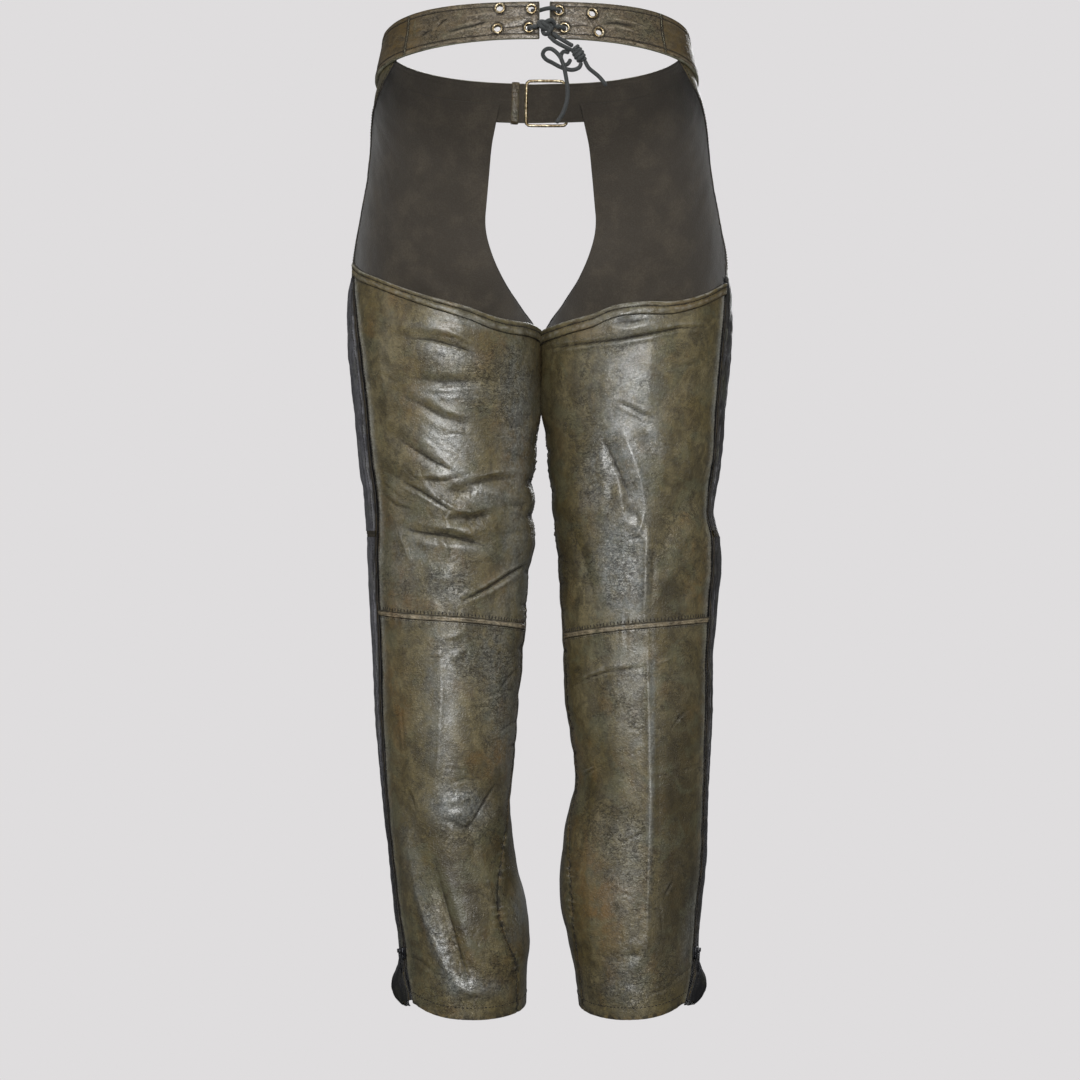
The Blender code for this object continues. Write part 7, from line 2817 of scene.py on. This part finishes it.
@dataclass
class Lace:
    """The lace: crossings, two knots, a ring and two free tails."""

    wardrobe: Wardrobe
    spacing: float = 0.0016
    main_knot: Triple = (5.2, -7.2, 5.2)
    main_half: Triple = (10.2, 9.6, 4.8)
    second_knot: Triple = (36.2, -33.2, 3.6)
    second_half: Triple = (6.0, 9.4, 4.6)
    second_tilt: float = 30.0

    def place(self, x: float, z: float, out: float) -> Array:
        """A place by the centre back, from millimetres.

        Args:
            x: millimetres across.
            z: millimetres up.
            out: millimetres out from the belt's face.

        Returns:
            The point in metres.
        """
        side = Side.LEFT if x < 0 else Side.RIGHT
        turn = FORM.turn_at_x(side, max(abs(x) * MM, SIZES.centre_clearance), Face.BACK)
        points, normals = FORM.belt_place(side, turn, 0.5)
        depth = float((points + normals * (LEATHER.belt_lift + LEATHER.belt))[1])
        return np.array((x * MM, depth - out * MM, z * MM))

    def strand(self, name: str, route: Array, closed: bool = False) -> Piece:
        """One length of lace."""
        return tube(name, route, SIZES.lace_radius, self.wardrobe.cord, closed)

    def wound_knot(self) -> Piece:
        """The main knot: a strand wound through itself three times, and a loop inside it.

        Returns:
            The knot as one piece.
        """
        centre = self.place(*self.main_knot)
        reach = np.array(self.main_half) * MM - SIZES.lace_radius
        t = np.linspace(0.0, 2 * math.pi, 97)
        x = (np.sin(t) + 2 * np.sin(2 * t)) / 3.0
        z = (np.cos(t) - 2 * np.cos(2 * t)) / 3.0
        out = -np.sin(3 * t)
        outer = centre + np.stack((x * reach[0], -out * reach[2], z * reach[1]), axis=1)
        small = centre + np.stack((
            0.46 * reach[0] * np.cos(t), 0.35 * reach[2] * np.sin(2 * t) - 0.0004,
            0.40 * reach[1] * np.sin(t)), axis=1)
        bar = np.linspace(-1.0, 1.0, 13)[:, None]
        wrap = centre + bar * np.array((0.62 * reach[0], 0.0, -0.50 * reach[1]))
        wrap[:, 1] -= reach[2] * (1.0 - bar[:, 0] ** 2)
        parts = [self.strand("wound", outer, True), self.strand("inside", small, True),
                 self.strand("over", wrap)]
        return merged("lace_knot_main_cord", parts)

    def wrapped_knot(self) -> Piece:
        """The second knot: a strand wrapped round the others along a slanting axis.

        Returns:
            The knot as one piece.
        """
        centre = self.place(*self.second_knot)
        reach = np.array(self.second_half) * MM - SIZES.lace_radius
        turns = 4.0
        t = np.linspace(0.0, 1.0, 121)
        swell = 0.72 + 0.28 * np.sin(math.pi * t)
        x = reach[0] * np.cos(2 * math.pi * turns * t) * swell
        out = reach[2] * np.sin(2 * math.pi * turns * t) * swell
        along = reach[1] * (1.0 - 2.0 * t) * 0.94
        tilt = math.radians(self.second_tilt)
        places = np.stack((x * math.cos(tilt) - along * math.sin(tilt), -out,
                           x * math.sin(tilt) + along * math.cos(tilt)), axis=1)
        core = np.stack((np.linspace(-1, 1, 9) * reach[1] * math.sin(tilt), np.zeros(9),
                         np.linspace(1, -1, 9) * reach[1] * math.cos(tilt)), axis=1)
        parts = [self.strand("wrap", centre + places), self.strand("core", centre + core)]
        return merged("lace_knot_second_cord", parts)

    def build(self) -> None:
        """Build the lace."""
        pieces = {}
        for name, route in LACE_ROUTES.items():
            stops = [self.place(*stop) for stop in route]
            line = smooth_route(stops, self.spacing)
            piece = self.strand(f"lace_{name}_cord", line)
            finish_piece(piece, (f"lace_{name}",))
            pieces[name] = (piece, line)
        knots = [self.wound_knot(), self.wrapped_knot()]
        for knot, node in zip(knots, ("lace_knot_main", "lace_knot_second")):
            finish_piece(knot, (node,))
        others = [piece for name, (piece, _) in pieces.items() if not name.endswith("tail")]
        for name, partners in (("long_tail", [*others, *knots]), ("short_tail", [])):
            piece, line = pieces[name]
            length = float(np.linalg.norm(np.diff(line, axis=0), axis=1).sum())


# ------------------------------------------------------------------ stage
@dataclass(frozen=True)
class Studio:
    """A plain pale floor and surroundings, soft lights and the camera."""

    pale: Triple = srgb(223, 221, 222)
    floor_z: float = -1.12
    floor_radius: float = 12.0
    sky_radius: float = 30.0
    world_colour: tuple[float, ...] = (0.95, 0.97, 1.0, 1.0)
    world_strength: float = 0.15
    camera_place: Triple = (-0.001, -2.1, -0.5013)
    lens: float = 68.63

    def pale_material(self) -> Material:
        """An even pale surface.

        Returns:
            The material.
        """
        material = bpy.data.materials.new("studio_pale")
        material.use_nodes = True
        nodes = material.node_tree.nodes
        nodes.clear()
        glow = nodes.new("ShaderNodeEmission")
        glow.inputs[0].default_value = (*self.pale, 1.0)
        out = nodes.new("ShaderNodeOutputMaterial")
        material.node_tree.links.new(glow.outputs[0], out.inputs[0])
        return material

    def hide_from_light(self, thing: Piece) -> None:
        """The surroundings are seen, but they neither light the garment nor shade it."""
        for way in ("diffuse", "glossy", "shadow", "transmission"):
            setattr(thing, f"visible_{way}", False)

    def area(self, name: str, place: Triple, target: Triple,
             size: tuple[float, float], power: float, colour: Triple) -> None:
        """Add a soft rectangular light that faces a point.

        Args:
            name: the new object's name.
            place: where it stands.
            target: the point that it faces.
            size: its width and height.
            power: its power in watts.
            colour: colour of its light.
        """
        data = bpy.data.lights.new(name, "AREA")
        data.shape = "RECTANGLE"
        data.size, data.size_y = size
        data.energy = power
        data.color = colour
        light = shown(name, data)
        light.location = place
        light.rotation_euler = (Vector(target) - Vector(place)).to_track_quat("-Z", "Y").to_euler()

    def build(self) -> None:
        """Set the stage."""
        scene = bpy.context.scene
        pale = self.pale_material()
        floor, sky = bmesh.new(), bmesh.new()
        bmesh.ops.create_circle(floor, cap_ends=True, segments=64, radius=self.floor_radius)
        bmesh.ops.translate(floor, vec=(0, 0, self.floor_z), verts=floor.verts)
        bmesh.ops.create_uvsphere(sky, u_segments=48, v_segments=24, radius=self.sky_radius)
        bmesh.ops.reverse_faces(sky, faces=sky.faces)
        for name, shape in (("floor", floor), ("surroundings", sky)):
            thing = shown(name, mesh_from(name, shape, pale))
            self.hide_from_light(thing)
        world = bpy.data.worlds.new("soft_room")
        world.use_nodes = True
        background = world.node_tree.nodes["Background"]
        background.inputs[0].default_value = self.world_colour
        background.inputs[1].default_value = self.world_strength
        scene.world = world
        white = (0.985, 0.995, 1.0)
        self.area("key", (0.03, -2.7, 0.15), (0.0, 0.0, -0.45), (0.70, 1.8), 88.0, white)
        self.area("left", (-2.4, -1.3, 0.2), (0.0, 0.0, -0.5), (0.8, 1.8), 13.0, white)
        self.area("right", (2.4, -1.3, 0.2), (0.0, 0.0, -0.5), (0.8, 1.8), 7.0, white)
        self.area("front", (0.4, 2.6, 0.6), (0.0, 0.0, -0.45), (1.6, 1.6), 60.0, white)
        self.area("top", (0.0, -0.6, 2.4), (0.0, 0.0, -0.4), (1.6, 1.6), 22.0, white)
        data = bpy.data.cameras.new("camera")
        data.lens = self.lens
        data.sensor_width = 36.0
        camera = shown("camera", data)
        camera.location = self.camera_place
        camera.rotation_euler = (math.radians(90.0), 0.0, 0.0)
        scene.camera = camera
        scene.view_settings.view_transform = "Standard"


def main() -> None:
    """Build the whole garment and its stage."""
    logging.basicConfig(level=logging.INFO, format="%(name)s: %(message)s")
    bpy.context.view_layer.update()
    Studio().build()
    wardrobe, sewing = Wardrobe(), Sewing()
    Lace(wardrobe).build()
    Belt(wardrobe, sewing).build()
    for side in Side:
        Leg(side, wardrobe, sewing).build()
        Slider(side, wardrobe).build()
    sewing.build(wardrobe)
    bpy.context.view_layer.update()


if __name__ == "__main__":
    main()
